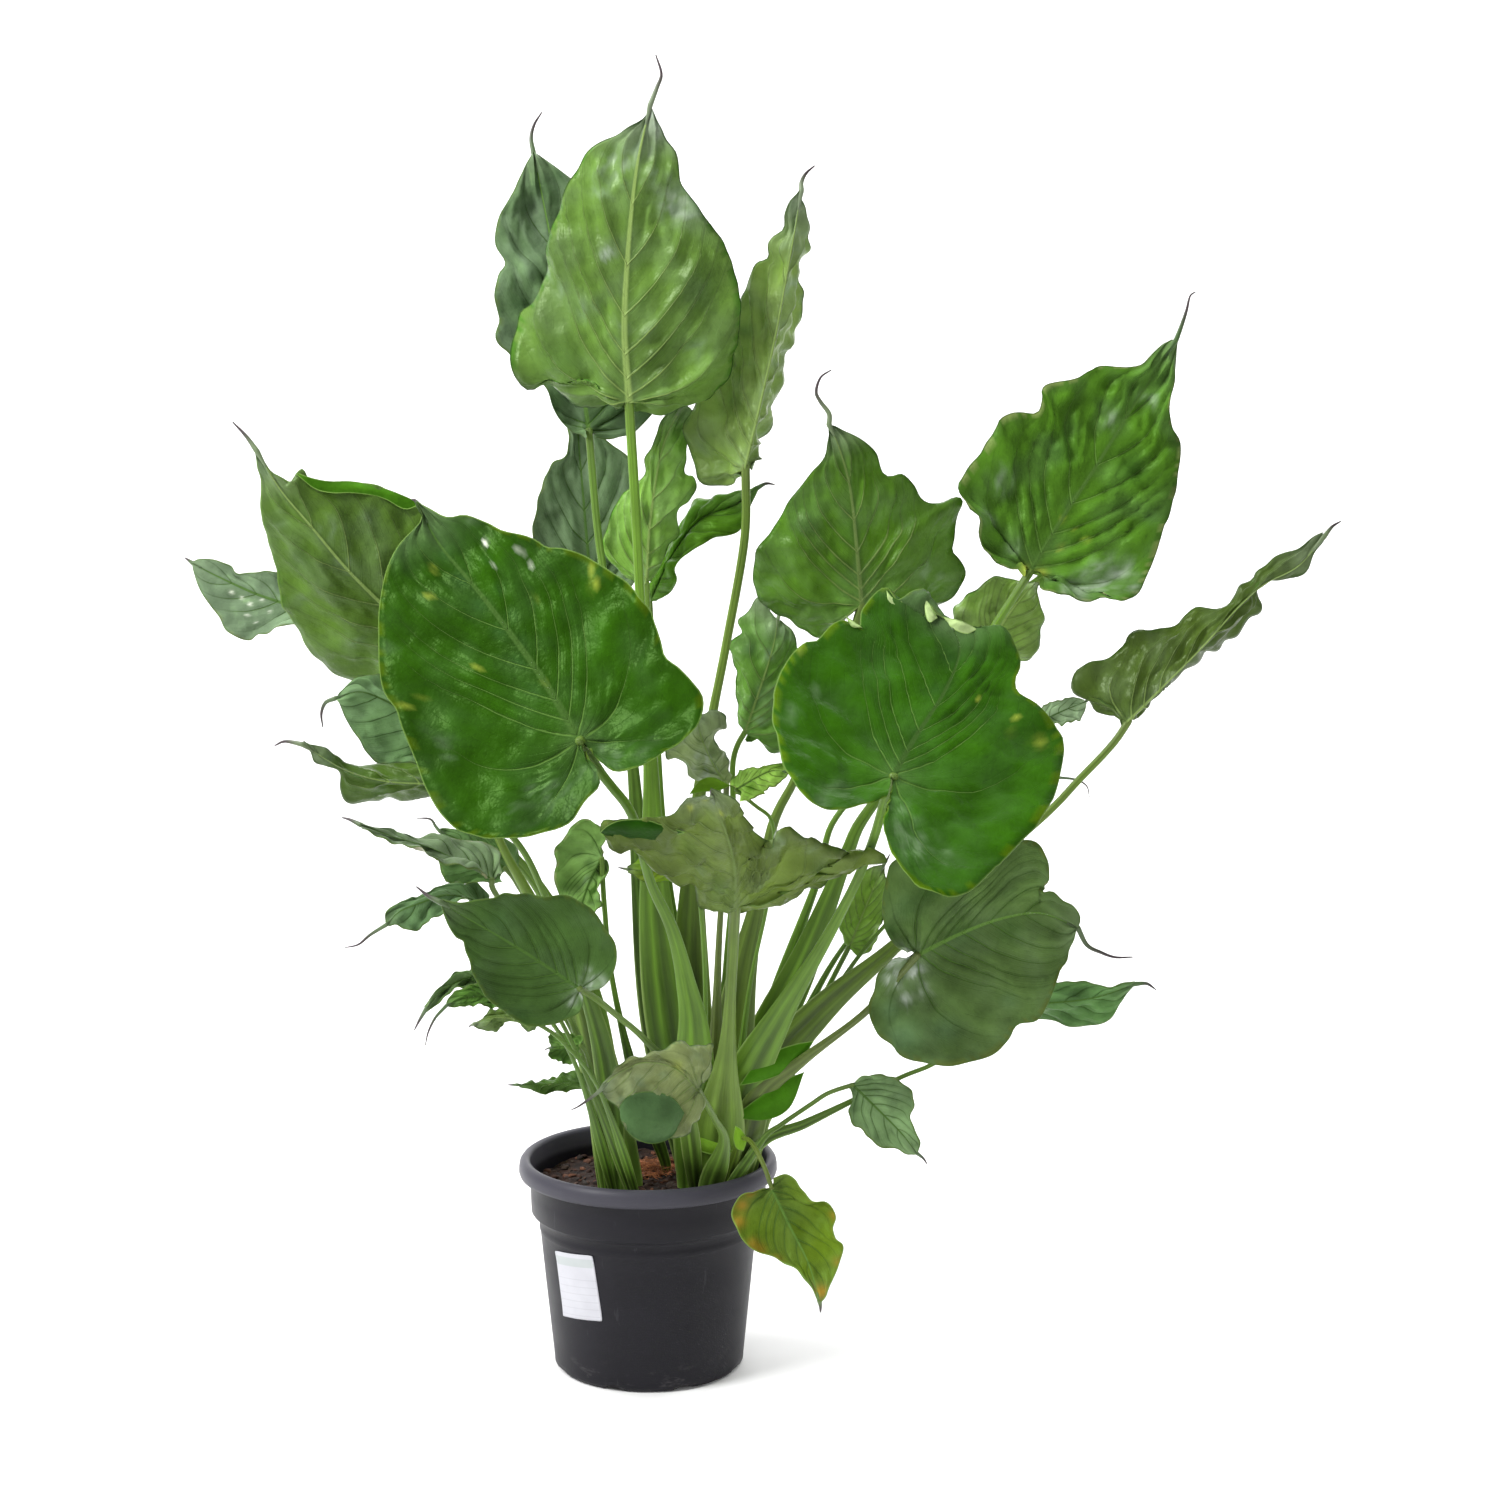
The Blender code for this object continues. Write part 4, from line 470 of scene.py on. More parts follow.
        "under", tone="dull", stout=3.0, foot=(56, -62), depth=(-180, -240), lean=(-18, 8), belly=-10,
        mid="48 266, 26 288, -3 294, -28 283, -43 269", tail="-51 262, -65 252, -73 248",
        left="51 257, 48 241, 34 225, 7 215, -12 218, -24 233, -28 249, -38 257, -43 265",
        right="54 274, 57 291, 61 310, 50 310, 31 314, 16 308, 0 304, -17 298, -34 285, -43 271",
        stalk="63 239 -134, 72 217 -90"),
    "leaf_23": leaf(
        "under", tone="olive", stout=5.0, foot=(62, -36), depth=(-200, -330), lean=(10, 25), belly=-15,
        mid="83 442, 83 479, 77 507, 67 534, 61 547", tail="61 551, 60 555",
        left="75 440, 55 445, 41 460, 22 473, 8 481, -6 491, -20 500, -32 508, -44 515, -39 523, -25 528, "
             "-6 529, 13 530, 27 534, 36 546, 46 553, 59 550",
        right="91 438, 102 437, 116 441, 133 447, 147 456, 163 465, 180 472, 196 478, 212 484, 227 489, "
              "210 498, 191 495, 182 502, 168 504, 155 511, 144 514, 133 521, 128 515, 121 504, 108 510, "
              "97 521, 90 536, 83 547, 63 550",
        stalk="80 392, 76 315, 70 256"),
    "leaf_24": leaf(
        "under", tone="dusty", stout=2.8, foot=(61, -8), depth=(-60, -90), lean=(10, 15), belly=-5,
        mid="75 559, 62 581, 52 604, 48 623", tail="48 629, 50 634",
        left="67 555, 55 557, 43 569, 36 578, 22 585, 20 597, 32 604, 41 614, 46 623",
        right="80 564, 73 578, 65 595, 66 610, 73 625, 62 631, 50 625",
        stalk="73 488, 67 392"),
    "leaf_25": leaf(
        "under", tone="lime", stout=2.8, foot=(69, 26), depth=(60, 92), lean=(10, 15), belly=-5,
        mid="92 609, 106 649, 118 687, 123 715", tail="125 722, 129 728",
        left="89 613, 86 630, 85 649, 86 668, 79 682, 79 693, 90 702, 86 715, 97 726, 106 735, 120 716",
        right="99 604, 123 591, 144 602, 149 635, 147 672, 139 700, 127 715",
        stalk="81 579, 83 488, 76 392"),
    "leaf_26": leaf(
        "upper", tone="lime", stout=1.8, foot=(76, -14), depth=(-80, -110), lean=(5, -5), belly=3,
        mid="84 555, 102 566, 118 573, 131 572", tail="134 570, 136 567",
        left="80 561, 88 572, 99 577, 111 579, 123 579, 131 574",
        right="90 545, 97 545, 108 553, 121 558, 129 565, 133 570",
        stalk="99 542, 119 520, 114 450, 95 353"),
    "leaf_27": leaf(
        "upper", tone="bright", stout=4.0, foot=(86, 14), depth=(0, 60), lean=(-12, -12), belly=10,
        mid="358 759, 385 805, 417 855, 448 906, 474 947, 490 972",
        tail="495 986, 499 999, 502 1012, 507 1016",
        left="350 758, 334 761, 318 774, 309 791, 306 807, 299 818, 294 835, 297 849, 306 863, 319 881, "
             "324 892, 328 901, 339 905, 360 905, 365 916, 367 928, 383 934, 400 938, 415 947, 431 949, "
             "446 949, 459 952, 471 963, 488 973",
        right="363 751, 372 741, 388 738, 407 734, 424 732, 441 727, 455 735, 464 745, 473 768, 481 793, "
              "487 814, 493 839, 496 864, 494 880, 487 895, 487 915, 490 936, 490 956, 492 971",
        stalk="317 695, 243 582, 203 526, 190 497, 149 392, 105 295"),
    "leaf_28": leaf(
        "under", tone="lime", stout=2.8, foot=(81, 34), depth=(20, 40), lean=(10, 10), belly=-6,
        mid="317 681, 335 714, 353 738, 365 750", tail="369 754, 373 758",
        left="310 681, 299 695, 291 712, 287 727, 297 737, 309 742, 321 749, 339 753, 363 751",
        right="326 674, 340 670, 353 674, 361 681, 366 695, 371 716, 368 732, 368 748",
        stalk="261 611, 180 531, 161 469, 121 353"),
    "leaf_29": leaf(
        "under", tone="olive", stout=3.6, foot=(92, -8), depth=(0, -10), lean=(22, 30), belly=-6,
        mid="452 617, 482 647, 519 685, 553 724, 578 746, 609 763, 633 791", tail="640 800, 648 805",
        left="445 617, 433 621, 421 629, 416 636, 405 644, 399 653, 404 667, 413 672, 429 676, 443 685, "
             "457 702, 471 704, 490 711, 513 724, 532 723, 550 734, 564 746, 570 758, 582 769, 596 776, "
             "610 779, 621 790, 631 795",
        right="459 619, 473 631, 486 646, 500 664, 514 674, 523 685, 536 685, 542 693, 554 699, 565 715, "
              "575 722, 574 743, 588 750, 606 753, 618 761, 627 778, 634 789",
        stalk="437 595, 407 563, 375 529, 305 468, 225 396, 164 343, 114 280"),
    "leaf_30": leaf(
        "upper", tone="dusty", stout=3.4, foot=(83, -38), depth=(-130, -170), lean=(-8, -8), belly=8,
        mid="256 396, 296 416, 334 430, 372 435, 408 421", tail="417 404, 430 397, 444 392, 461 392",
        left="245 399, 234 407, 224 424, 221 444, 224 468, 231 485, 253 497, 281 500, 314 496, 333 496, "
             "347 503, 361 506, 374 499, 380 484, 382 467, 373 457, 384 455, 394 447, 404 443, 410 430, "
             "409 422",
        right="244 393, 230 388, 218 380, 214 367, 211 348, 211 335, 219 318, 233 308, 242 297, 259 291, "
              "286 287, 307 291, 329 298, 343 312, 352 327, 369 330, 378 341, 387 361, 390 372, 392 380, "
              "398 388, 400 399, 405 409, 407 419",
        stalk="235 374, 202 338, 145 293, 105 256"),
    "leaf_31": leaf(
        "upper", tone="blue", stout=1.8, foot=(89, 44), depth=(60, 60), lean=(5, -5), belly=3,
        mid="364 615, 388 627, 412 637", tail="416 639, 420 640",
        left="365 624, 371 633, 383 638, 399 641, 410 639",
        right="369 610, 383 617, 397 616, 408 618, 411 627, 413 635",
        stalk="295 544, 220 449, 163 367"),
    "leaf_32": leaf(
        "upper", tone="blue", stout=1.8, foot=(95, 26), depth=(40, 30), lean=(5, 10), belly=3,
        mid="342 553, 365 561, 387 565", tail="403 563, 414 557, 417 546",
        left="342 563, 360 570, 377 569, 387 566",
        right="342 544, 365 548, 379 559, 387 564",
        stalk="286 487, 220 420, 173 353"),
    "leaf_33": leaf(
        "upper", tone="green", stout=2.2, foot=(86, -54), depth=(-50, -70), lean=(5, 15), belly=5,
        mid="335 348, 383 348, 426 353, 465 366", tail="475 366, 484 360",
        left="335 359, 354 366, 378 368, 392 369, 411 368, 435 366, 449 367, 463 368",
        right="337 340, 359 334, 378 330, 397 325, 416 324, 431 326, 442 333, 450 347, 459 360, 466 365",
        stalk="302 308, 269 288, 242 277, 193 253, 149 232, 110 215"),
    "leaf_34": leaf(
        "under", tone="lime", stout=2.2, foot=(52, -30), depth=(-110, -130), lean=(-10, 10), belly=-3,
        mid="43 477, 8 478, -18 480", tail="-23 481, -27 482",
        left="43 469, 22 468, -2 468, -18 477",
        right="43 487, 22 492, -2 493, -18 483",
        stalk="50 450, 55 354"),
    "leaf_35": leaf(
        "upper", tone="blue", stout=2.2, foot=(76, -66), depth=(-60, -90), lean=(0, 0), belly=6,
        mid="195 270, 216 249, 241 223, 257 202", tail="263 197, 267 191",
        left="198 273, 204 277, 213 281, 226 277, 237 274, 248 264, 254 252, 252 237, 257 220, 259 203",
        right="191 267, 193 250, 196 233, 207 221, 220 211, 236 205, 248 200, 256 200",
        stalk="172 262, 155 251, 126 231, 109 217"),
    "leaf_36": leaf(
        "upper", tone="yellow", stout=2.2, foot=(74, -50), depth=(-150, -195), lean=(0, 0), belly=8,
        mid="118 169, 135 132, 153 95, 164 57", tail="165 51, 165 45",
        left="119 179, 131 184, 140 179, 148 169, 157 157, 169 154, 177 147, 180 139, 176 129, 180 119, "
             "186 112, 186 102, 180 87, 174 72, 171 61, 166 55",
        right="111 169, 102 167, 92 165, 83 156, 81 143, 84 130, 89 118, 97 108, 114 103, 131 94, 145 83, "
              "157 69, 161 61, 163 55",
        stalk="111 189 -140, 99 213 -116, 89 220 -82, 83 207 -58"),
    "leaf_37": leaf(
        "upper", tone="lime", stout=2.6, foot=(16, 34), depth=(40, 20), lean=(0, 0), belly=5,
        mid="-42 491, -53 470, -61 446, -63 426", tail="-63 421, -63 416",
        left="-36 483, -41 465, -44 446, -52 432, -60 426",
        right="-42 503, -44 521, -57 529, -70 520, -81 508, -87 497, -85 484, -88 470, -82 454, -74 437, "
              "-65 426",
        stalk="-40 446, -33 374, -12 277"),
    "leaf_38": leaf(
        "under", tone="green", stout=2.6, foot=(69, 46), depth=(40, 40), lean=(0, 0), belly=-4,
        mid="192 406, 207 444, 223 482", tail="226 487, 229 493",
        left="187 406, 180 425, 187 449, 196 468, 210 480, 222 483",
        right="198 396, 209 401, 220 415, 223 439, 225 463, 225 480",
        stalk="159 343, 126 295"),
    "leaf_39": leaf(
        "under", tone="green", stout=1.8, foot=(-11, -78), depth=(-260, -270), lean=(0, 8), belly=-3,
        mid="-106 334, -130 338, -149 338, -164 332", tail="-167 331, -169 329",
        left="-106 326, -120 332, -133 330, -144 326, -156 327, -164 330",
        right="-106 344, -125 348, -139 350, -152 345, -162 337, -165 334",
        stalk="-78 316, -45 267"),
}
for name, lf in leaves.items():
    lf["name"] = name
# Materials, built from nodes. Plain numbers go into the sockets, and other nodes are linked to them.
def newMaterial(name):
    mat = bpy.data.materials.new(name)
    mat.use_nodes = True
    return mat, mat.node_tree, mat.node_tree.nodes["Principled BSDF"]


def isSocket(value):
    return isinstance(value, bpy.types.NodeSocket)


def feed(node, values):
    for key, value in values.items():
        if isSocket(value):
            node.id_data.links.new(value, node.inputs[key])
        else:
            node.inputs[key].default_value = value
    return node


def addNode(tree, kind, inputs=None, **settings):
    made = tree.nodes.new("ShaderNode" + kind)
    for key, value in settings.items():
        setattr(made, key, value)
    return feed(made, inputs or {})


# The helpers from here on find the node tree by the sockets that they are given
def treeOf(*values):
    return next(value.id_data for value in values if isSocket(value))


def compute(operation, a, b=0.0):
    return addNode(treeOf(a, b), "Math", {0: a, 1: b}, operation=operation).outputs[0]


def times(a, b):
    return compute("MULTIPLY", a, b)


def plus(total, *parts):
    for part in parts:
        total = compute("ADD", total, part)
    return total


def fromHalf(value):  # 0.5 at whole numbers, 0 halfway between them
    return compute("ABSOLUTE", compute("SUBTRACT", compute("FRACT", value), 0.5))


def fadeBetween(value, start, end, low=1.0, high=0.0):
    made = addNode(treeOf(value), "MapRange", {"Value": value, "From Min": start, "From Max": end,
                                               "To Min": low, "To Max": high},
                   interpolation_type="SMOOTHSTEP")
    return made.outputs[0]


def riseBetween(value, start, end, high=1.0):
    return fadeBetween(value, start, end, 0.0, high)


def mixColour(share, a, b, mode="MIX"):
    a, b = (tone if isSocket(tone) else (*tone, 1.0) for tone in (a, b))
    return addNode(treeOf(share, a, b), "Mix", {0: share, 6: a, 7: b}, data_type="RGBA",
                   blend_type=mode).outputs[2]


def readAttribute(tree, name, socket="Fac"):
    return addNode(tree, "Attribute", attribute_name=name).outputs[socket]


def speckle(tree, scale, detail=2.0, rough=0.5, place=None, stretch=None):
    place = place or addNode(tree, "TexCoord").outputs["Object"]
    if stretch:
        place = addNode(tree, "Mapping", {"Vector": place, "Scale": stretch}).outputs[0]
    return addNode(tree, "TexNoise", {"Vector": place, "Scale": scale, "Detail": detail,
                                      "Roughness": rough}).outputs["Fac"]


def litTint(tree, level):  # the painted tint, lighter or darker
    grey = addNode(tree, "CombineColor", {0: level, 1: level, 2: level}).outputs[0]
    return mixColour(1.0, readAttribute(tree, "tint", "Color"), grey, "MULTIPLY")


def coat(shader, colour, rough, height, depth, strength, shine=0.5):
    bump = addNode(shader.id_data, "Bump", {"Height": height, "Distance": depth, "Strength": strength})
    feed(shader, {"Base Color": colour, "Roughness": rough, "Specular IOR Level": shine,
                  "Normal": bump.outputs[0]})


skinLook = {
    # dark sets how deep the painted shade beside the veins and the midrib is
    "upper": {"rough": 0.21, "dark": 0.15, "shine": 0.13, "side": -1.0, "gleam": (0.50, 1.0, 0.22),
              "pale": (0.13, 0.25, 0.05), "deep": (0.008, 0.032, 0.005)},
    "under": {"rough": 0.19, "dark": 0.25, "shine": 0.20, "side": 1.0, "gleam": (0.80, 1.0, 0.60),
              "pale": (0.25, 0.36, 0.10), "deep": (0.018, 0.040, 0.009)},
    # The first tint below is the pale colour of the waxy bloom and painted sheen
    "bloom": (0.26, 0.33, 0.25), "rimPale": (0.24, 0.40, 0.09), "rimDark": (0.014, 0.036, 0.008),
    "veinShare": 0.74, "ribShare": 0.86, "rimShare": 0.75, "bumpDepth": 0.0017, "bumpStrength": 0.85,
    # Blotches from broad to grainy: scale, detail, roughness
    "specks": ((26.0, 3.0, 0.55), (62.0, 3.0, 0.6), (150.0, 3.0, 0.62), (680.0, 2.0, 0.6)),
}


# Leaf skin: the painted tint, blotches with a waxy bloom and painted sheen, painted shade beside the veins
# and the midrib, veins that fan out from the joint, a rim
def leafSkin(side):
    look = skinLook[side]
    mat, tree, shader = newMaterial("leaf " + side + " skin")
    at, step, fromRib = (readAttribute(tree, name) for name in ("veinAt", "veinStep", "fromRib"))
    away = compute("DIVIDE", times(fromHalf(plus(at, 0.5)), step), readAttribute(tree, "veinWide"))
    vein = times(fadeBetween(away, 0.3, 1.2), readAttribute(tree, "veinShow"))
    fine = fadeBetween(times(fromHalf(times(at, 4.0)), step), 0.4, 2.0)
    rib = fadeBetween(fromRib, 0.55, 1.25)
    edge = fadeBetween(readAttribute(tree, "fromEdge"), 0.35, 1.15)
    # Painted shade beside the veins and along the midrib
    shade = compute("MAXIMUM", fadeBetween(away, 0.9, 3.6), fadeBetween(fromRib, 1.0, 3.0))
    broad, middle, small, grain = (speckle(tree, *speck) for speck in skinLook["specks"])
    level = plus(times(broad, 0.85), 0.41, times(middle, 0.58), times(shade, -look["dark"]),
                 times(fine, 0.06), times(riseBetween(small, 0.55, 0.72), -0.14))
    # Waxy bloom with painted sheen: a pale mottling that stands in for reflected light
    bloom = times(plus(times(middle, 0.9), 0.55), readAttribute(tree, "bloom"))
    bloom = times(bloom, plus(times(vein, -0.7), 1.0))
    colour = mixColour(bloom, litTint(tree, level), skinLook["bloom"])
    lines = ((times(vein, skinLook["veinShare"]), "veinTone", look["deep"], look["pale"]),
             (times(rib, skinLook["ribShare"]), "ribTone", look["deep"], look["pale"]),
             (times(edge, skinLook["rimShare"]), "rimTone", skinLook["rimDark"], skinLook["rimPale"]))
    for share, tone, deep, pale in lines:
        colour = mixColour(share, colour, mixColour(readAttribute(tree, tone), deep, pale))
    rough = plus(times(middle, 0.26), look["rough"], times(bloom, 0.30), times(rib, 0.10))
    height = plus(times(vein, 0.45 * look["side"]), times(fine, 0.12 * look["side"]),
                  times(small, 0.12), times(middle, 1.2), times(grain, 0.05))
    coat(shader, colour, rough, height, skinLook["bumpDepth"], skinLook["bumpStrength"], look["shine"])
    feed(shader, {"Specular Tint": (*look["gleam"], 1.0)})
    return mat


# Stalk skin: the painted tint with long streaks, and a paler wing on each side of the sheath
def stalkSkin():
    mat, tree, shader = newMaterial("stalk skin")
    place = addNode(tree, "CombineXYZ", {0: times(readAttribute(tree, "around"), 9.0),
                                         1: times(readAttribute(tree, "upward"), 5.0)}).outputs[0]
    streak, broad, grain = speckle(tree, 2.6, 3.0, 0.6, place), speckle(tree, 26.0), speckle(tree, 420.0)
    wing = riseBetween(readAttribute(tree, "wing"), 0.45, 0.90)
    colour = litTint(tree, plus(times(streak, 1.05), 0.20, times(broad, 0.45)))
    colour = mixColour(times(wing, 0.85), colour, stalkMake["wingTint"])
    coat(shader, colour, plus(times(streak, 0.2), 0.30), plus(streak, times(grain, 0.12)), 0.0009, 0.6, 0.35)
    return mat


# Colours of each kind of leaf: upper face, under face and stalk. The blue kind's upper face is a dark green
# made grey-blue, a painted reflection of the light above
tones = {
    "lime": ((0.050, 0.150, 0.008), (0.090, 0.162, 0.016), (0.110, 0.215, 0.022)),
    "blue": ((0.058, 0.115, 0.034), (0.080, 0.125, 0.034), (0.088, 0.165, 0.022)),
    "olive": ((0.050, 0.110, 0.012), (0.064, 0.118, 0.010), (0.100, 0.165, 0.022)),
    "green": ((0.032, 0.095, 0.008), (0.080, 0.140, 0.020), (0.075, 0.150, 0.014)),
    "bright": ((0.020, 0.085, 0.001), (0.085, 0.165, 0.016), (0.095, 0.190, 0.016)),
    "dull": ((0.038, 0.082, 0.014), (0.070, 0.105, 0.018), (0.085, 0.150, 0.022)),
    "dusty": ((0.052, 0.092, 0.022), (0.072, 0.092, 0.018), (0.095, 0.135, 0.026)),
    "yellow": ((0.082, 0.165, 0.006), (0.140, 0.180, 0.018), (0.110, 0.160, 0.018)),
}
leafLook = {"veins": (0.02, 0.08, 0.16, 0.29, 0.46, 0.66), "lobeVeins": (0.34, 0.70), "rise": 0.15,
            "arch": 0.11, "quilt": 0.0042, "relief": 0.0026, "ripple": 0.0012, "reliefShade": 0.10,
            "waves": 7, "wave": 0.0011, "ribHigh": 0.72, "veinHigh": 0.0006, "crumpleHigh": 0.0026,
            "crest": 0.0022, "rippleGap": 13.0, "tailStout": 0.0025, "flapThick": 0.0007,
            # Cushions of two sizes: height, size in metres, and what the seed gains
            "lumps": ((0.80, 0.048, 0), (0.34, 0.020, 5)),
            "jointPale": 0.10, "jointReach": 14, "paleTint": (0.5, 0.8, 0.3),
            "tailColour": (0.050, 0.036, 0.040), "tipColour": (0.17, 0.22, 0.13)}
# Looks of single leaves: brightness, waxy bloom with painted sheen, tones of veins, rib and rim (0 dark, 1
# pale), rib width, brightness of the stalk, colour cast. Brightness, stalk brightness and cast carry painted
# light, shade and sheen as well as each leaf's own colour
usual = {"upper": {"light": 1.0, "bloom": 0.04, "vein": 0.45, "rib": 0.45, "rim": 0.30, "ribWide": 1.0,
                   "crumple": 0.0, "tip": 0.3, "stalk": 1.0, "relief": 1.0, "cast": (1.0, 1.0, 1.0)},
         "under": {"light": 1.0, "bloom": 0.06, "vein": 0.65, "rib": 0.8, "rim": 0.12, "ribWide": 1.0,
                   "crumple": 0.0, "tip": 0.7, "stalk": 1.0, "relief": 1.0, "cast": (1.0, 1.0, 1.0)}}
ownLooks = {
    "leaf_01": {"light": 0.937, "cast": (0.917, 1.0, 1.27), "bloom": 0.08, "vein": 0.85, "rib": 1.0,
                "ribWide": 1.35, "rim": 0.0, "relief": 1.25, "tip": 1.0, "stalk": 0.75},
    "leaf_02": {"light": 0.893, "cast": (1.1, 1.0, 1.28), "bloom": 0.14, "rib": 0.8, "rim": 0.2,
                "relief": 1.1, "stalk": 0.7},
    "leaf_03": {"light": 1.62, "cast": (1.14, 1.0, 1.98), "bloom": 0.12, "relief": 1.3, "tip": 1.0},
    "leaf_04": {"light": 1.14, "cast": (1.26, 1.0, 1.61), "bloom": 0.14, "relief": 0.8, "stalk": 0.75},
    "leaf_05": {"light": 1.66, "cast": (0.897, 1.02, 1.17), "bloom": 0.12, "stalk": 0.75},
    "leaf_06": {"light": 1.34, "cast": (1.13, 1.0, 0.552), "bloom": 0.02},
    "leaf_07": {"light": 0.951, "cast": (0.717, 1.0, 0.311), "rib": 0.5, "relief": 1.2, "stalk": 0.8},
    "leaf_08": {"light": 0.834, "cast": (1.03, 1.0, 0.186), "bloom": 0.02, "vein": 0.7, "rib": 0.25,
                "ribWide": 1.1, "rim": 0.55, "relief": 0.75},
    "leaf_09": {"light": 0.585, "cast": (1.07, 1.0, 0.28), "bloom": 0.02, "vein": 0.7, "rib": 0.3,
                "ribWide": 1.4, "rim": 0.6, "relief": 0.75, "stalk": 1.35},
    "leaf_10": {"light": 0.877, "cast": (0.888, 1.0, 0.883), "bloom": 0.07, "rim": 0.5, "relief": 0.8},
    "leaf_11": {"light": 1.78, "cast": (1.28, 0.95, 1.84), "vein": 0.6, "relief": 0.5},
    "leaf_12": {"light": 2.39, "cast": (1.08, 1.0, 1.31), "bloom": 0.12, "vein": 0.4, "rim": 0.1,
                "relief": 0.7},
    "leaf_13": {"light": 0.622, "cast": (0.877, 1.0, 0.631)},
    "leaf_14": {"light": 1.88, "cast": (1.49, 1.0, 3.05), "vein": 0.4},
    "leaf_15": {"light": 1.55, "cast": (0.993, 1.0, 1.0)},
    "leaf_16": {"light": 1.42, "cast": (1.09, 1.03, 1.4)},
    "leaf_17": {"light": 0.914, "cast": (0.994, 1.0, 1.1), "relief": 0.4},
    "leaf_18": {"light": 1.15, "cast": (1.1, 1.0, 1.1)},
    "leaf_19": {"light": 1.69, "cast": (1.21, 1.0, 1.38)},
    "leaf_20": {"light": 1.1, "cast": (1.36, 0.97, 1.79)},
    "leaf_21": {"light": 1.64, "cast": (1.03, 1.08, 0.597)},
    "leaf_22": {"light": 1.95, "cast": (1.19, 0.95, 1.94), "bloom": 0.12, "vein": 0.9, "crumple": 0.6},
    "leaf_23": {"light": 1.1, "cast": (1.22, 1.0, 1.57), "bloom": 0.04, "rib": 0.5, "ribWide": 0.8,
                "crumple": 1.7, "stalk": 1.5},
    "leaf_24": {"light": 3.42, "cast": (0.974, 1.0, 1.93), "bloom": 0.2, "relief": 1.4},
    "leaf_25": {"light": 1.04, "cast": (0.856, 1.13, 1.18), "bloom": 0.08},
    "leaf_26": {"light": 4.44, "cast": (1.77, 1.0, 3.09)},
    "leaf_27": {"light": 1.36, "cast": (1.5, 0.97, 3.19), "bloom": 0.05, "vein": 0.8, "rim": 0.1,
                "relief": 1.3, "crumple": 0.7},
    "leaf_28": {"light": 1.45, "cast": (1.07, 1.0, 1.86), "rib": 1.0, "relief": 1.3},
    "leaf_29": {"light": 0.588, "cast": (1.03, 1.0, 0.882), "rib": 0.9, "crumple": 0.4},
    "leaf_30": {"light": 1.1, "cast": (1.01, 1.0, 1.06), "bloom": 0.05, "rib": 0.8, "relief": 0.8},
    "leaf_31": {"light": 3.93, "cast": (1.43, 1.0, 2.01)},
    "leaf_33": {"light": 1.86, "cast": (1.38, 1.0, 3.48)},
    "leaf_34": {"light": 2.09, "cast": (0.951, 1.05, 0.138)},
    "leaf_35": {"light": 2.04, "cast": (1.22, 1.0, 1.43)},
    "leaf_36": {"light": 0.863, "cast": (1.19, 1.0, 1.22), "vein": 0.6, "rib": 0.75, "rim": 0.7,
                "relief": 0.5},
    "leaf_37": {"light": 2.16, "cast": (1.55, 0.95, 4.25), "stalk": 0.6},
    "leaf_38": {"light": 1.97, "cast": (0.959, 1.0, 0.84)},
    "leaf_39": {"light": 0.818},
}


def lookOf(lf):
    return {**usual[lf["face"]], **ownLooks.get(lf["name"], {})}


# A growing list of points and faces with their painted values
class Pile:
    def __init__(self):
        self.points, self.faces, self.kinds, self.values, self.count = [], [], [], {}, 0

    def add(self, points, faces, kind, **values):
        points = np.asarray(points, dtype=float).reshape(-1, 3)
        self.points.append(points)
        self.faces += [tuple(int(i) + self.count for i in f) for f in faces]
        self.kinds += [kind] * len(faces)
        for key in pileKeys:
            size = 3 if key == "tint" else 1
            held = np.asarray(values.get(key, (0.0,) * size), dtype=float)
            self.values.setdefault(key, []).append(
                np.broadcast_to(held.reshape(-1, size), (len(points), size)))
        self.count += len(points)


pileKeys = ("veinAt", "veinStep", "veinWide", "veinShow", "fromRib", "fromEdge", "veinTone", "ribTone",
            "rimTone", "bloom", "around", "upward", "wing", "tint")


# Joins points that meet, smooths the faces, and drops thin faces or turns all of them outward
def weldSmooth(mesh, reach, outward=False):
    bm = bmesh.new()
    bm.from_mesh(mesh)
    bmesh.ops.remove_doubles(bm, verts=bm.verts, dist=reach)
    if outward:
        bmesh.ops.recalc_face_normals(bm, faces=bm.faces)
    else:
        bmesh.ops.dissolve_degenerate(bm, edges=bm.edges, dist=1e-7)
    for face in bm.faces:
        face.smooth = True
    bm.to_mesh(mesh)
    bm.free()


def putOut(name, data):
    ob = bpy.data.objects.new(name, data)
    bpy.context.collection.objects.link(ob)
    return ob


def pileObject(name, pile, mats, reach=1e-6):
    mesh = bpy.data.meshes.new(name)
    mesh.from_pydata(np.vstack(pile.points).tolist(), [], pile.faces)
    for key in pileKeys:
        held = np.vstack(pile.values[key])
        if key == "tint":
            layer = mesh.attributes.new(key, "FLOAT_COLOR", "POINT")
            layer.data.foreach_set("color", np.column_stack((held, np.ones(len(held)))).ravel())
        else:
            mesh.attributes.new(key, "FLOAT", "POINT").data.foreach_set("value", held.ravel())
    for mat in mats:
        mesh.materials.append(mat)
    mesh.polygons.foreach_set("material_index", pile.kinds)
    mesh.update()
    weldSmooth(mesh, reach)
    return putOut(name, mesh)


def gridFaces(rows, cols, flip=False, split=False):  # faces of a grid of points, row after row
    faces = []
    for r in range(rows):
        for c in range(cols):
            a = r * (cols + 1) + c
            quad = (a, a + 1, a + cols + 2, a + cols + 1)
            parts = (quad[:3], (quad[0], quad[2], quad[3])) if split else (quad,)
            faces += [part[::-1] if flip else part for part in parts]
    return faces


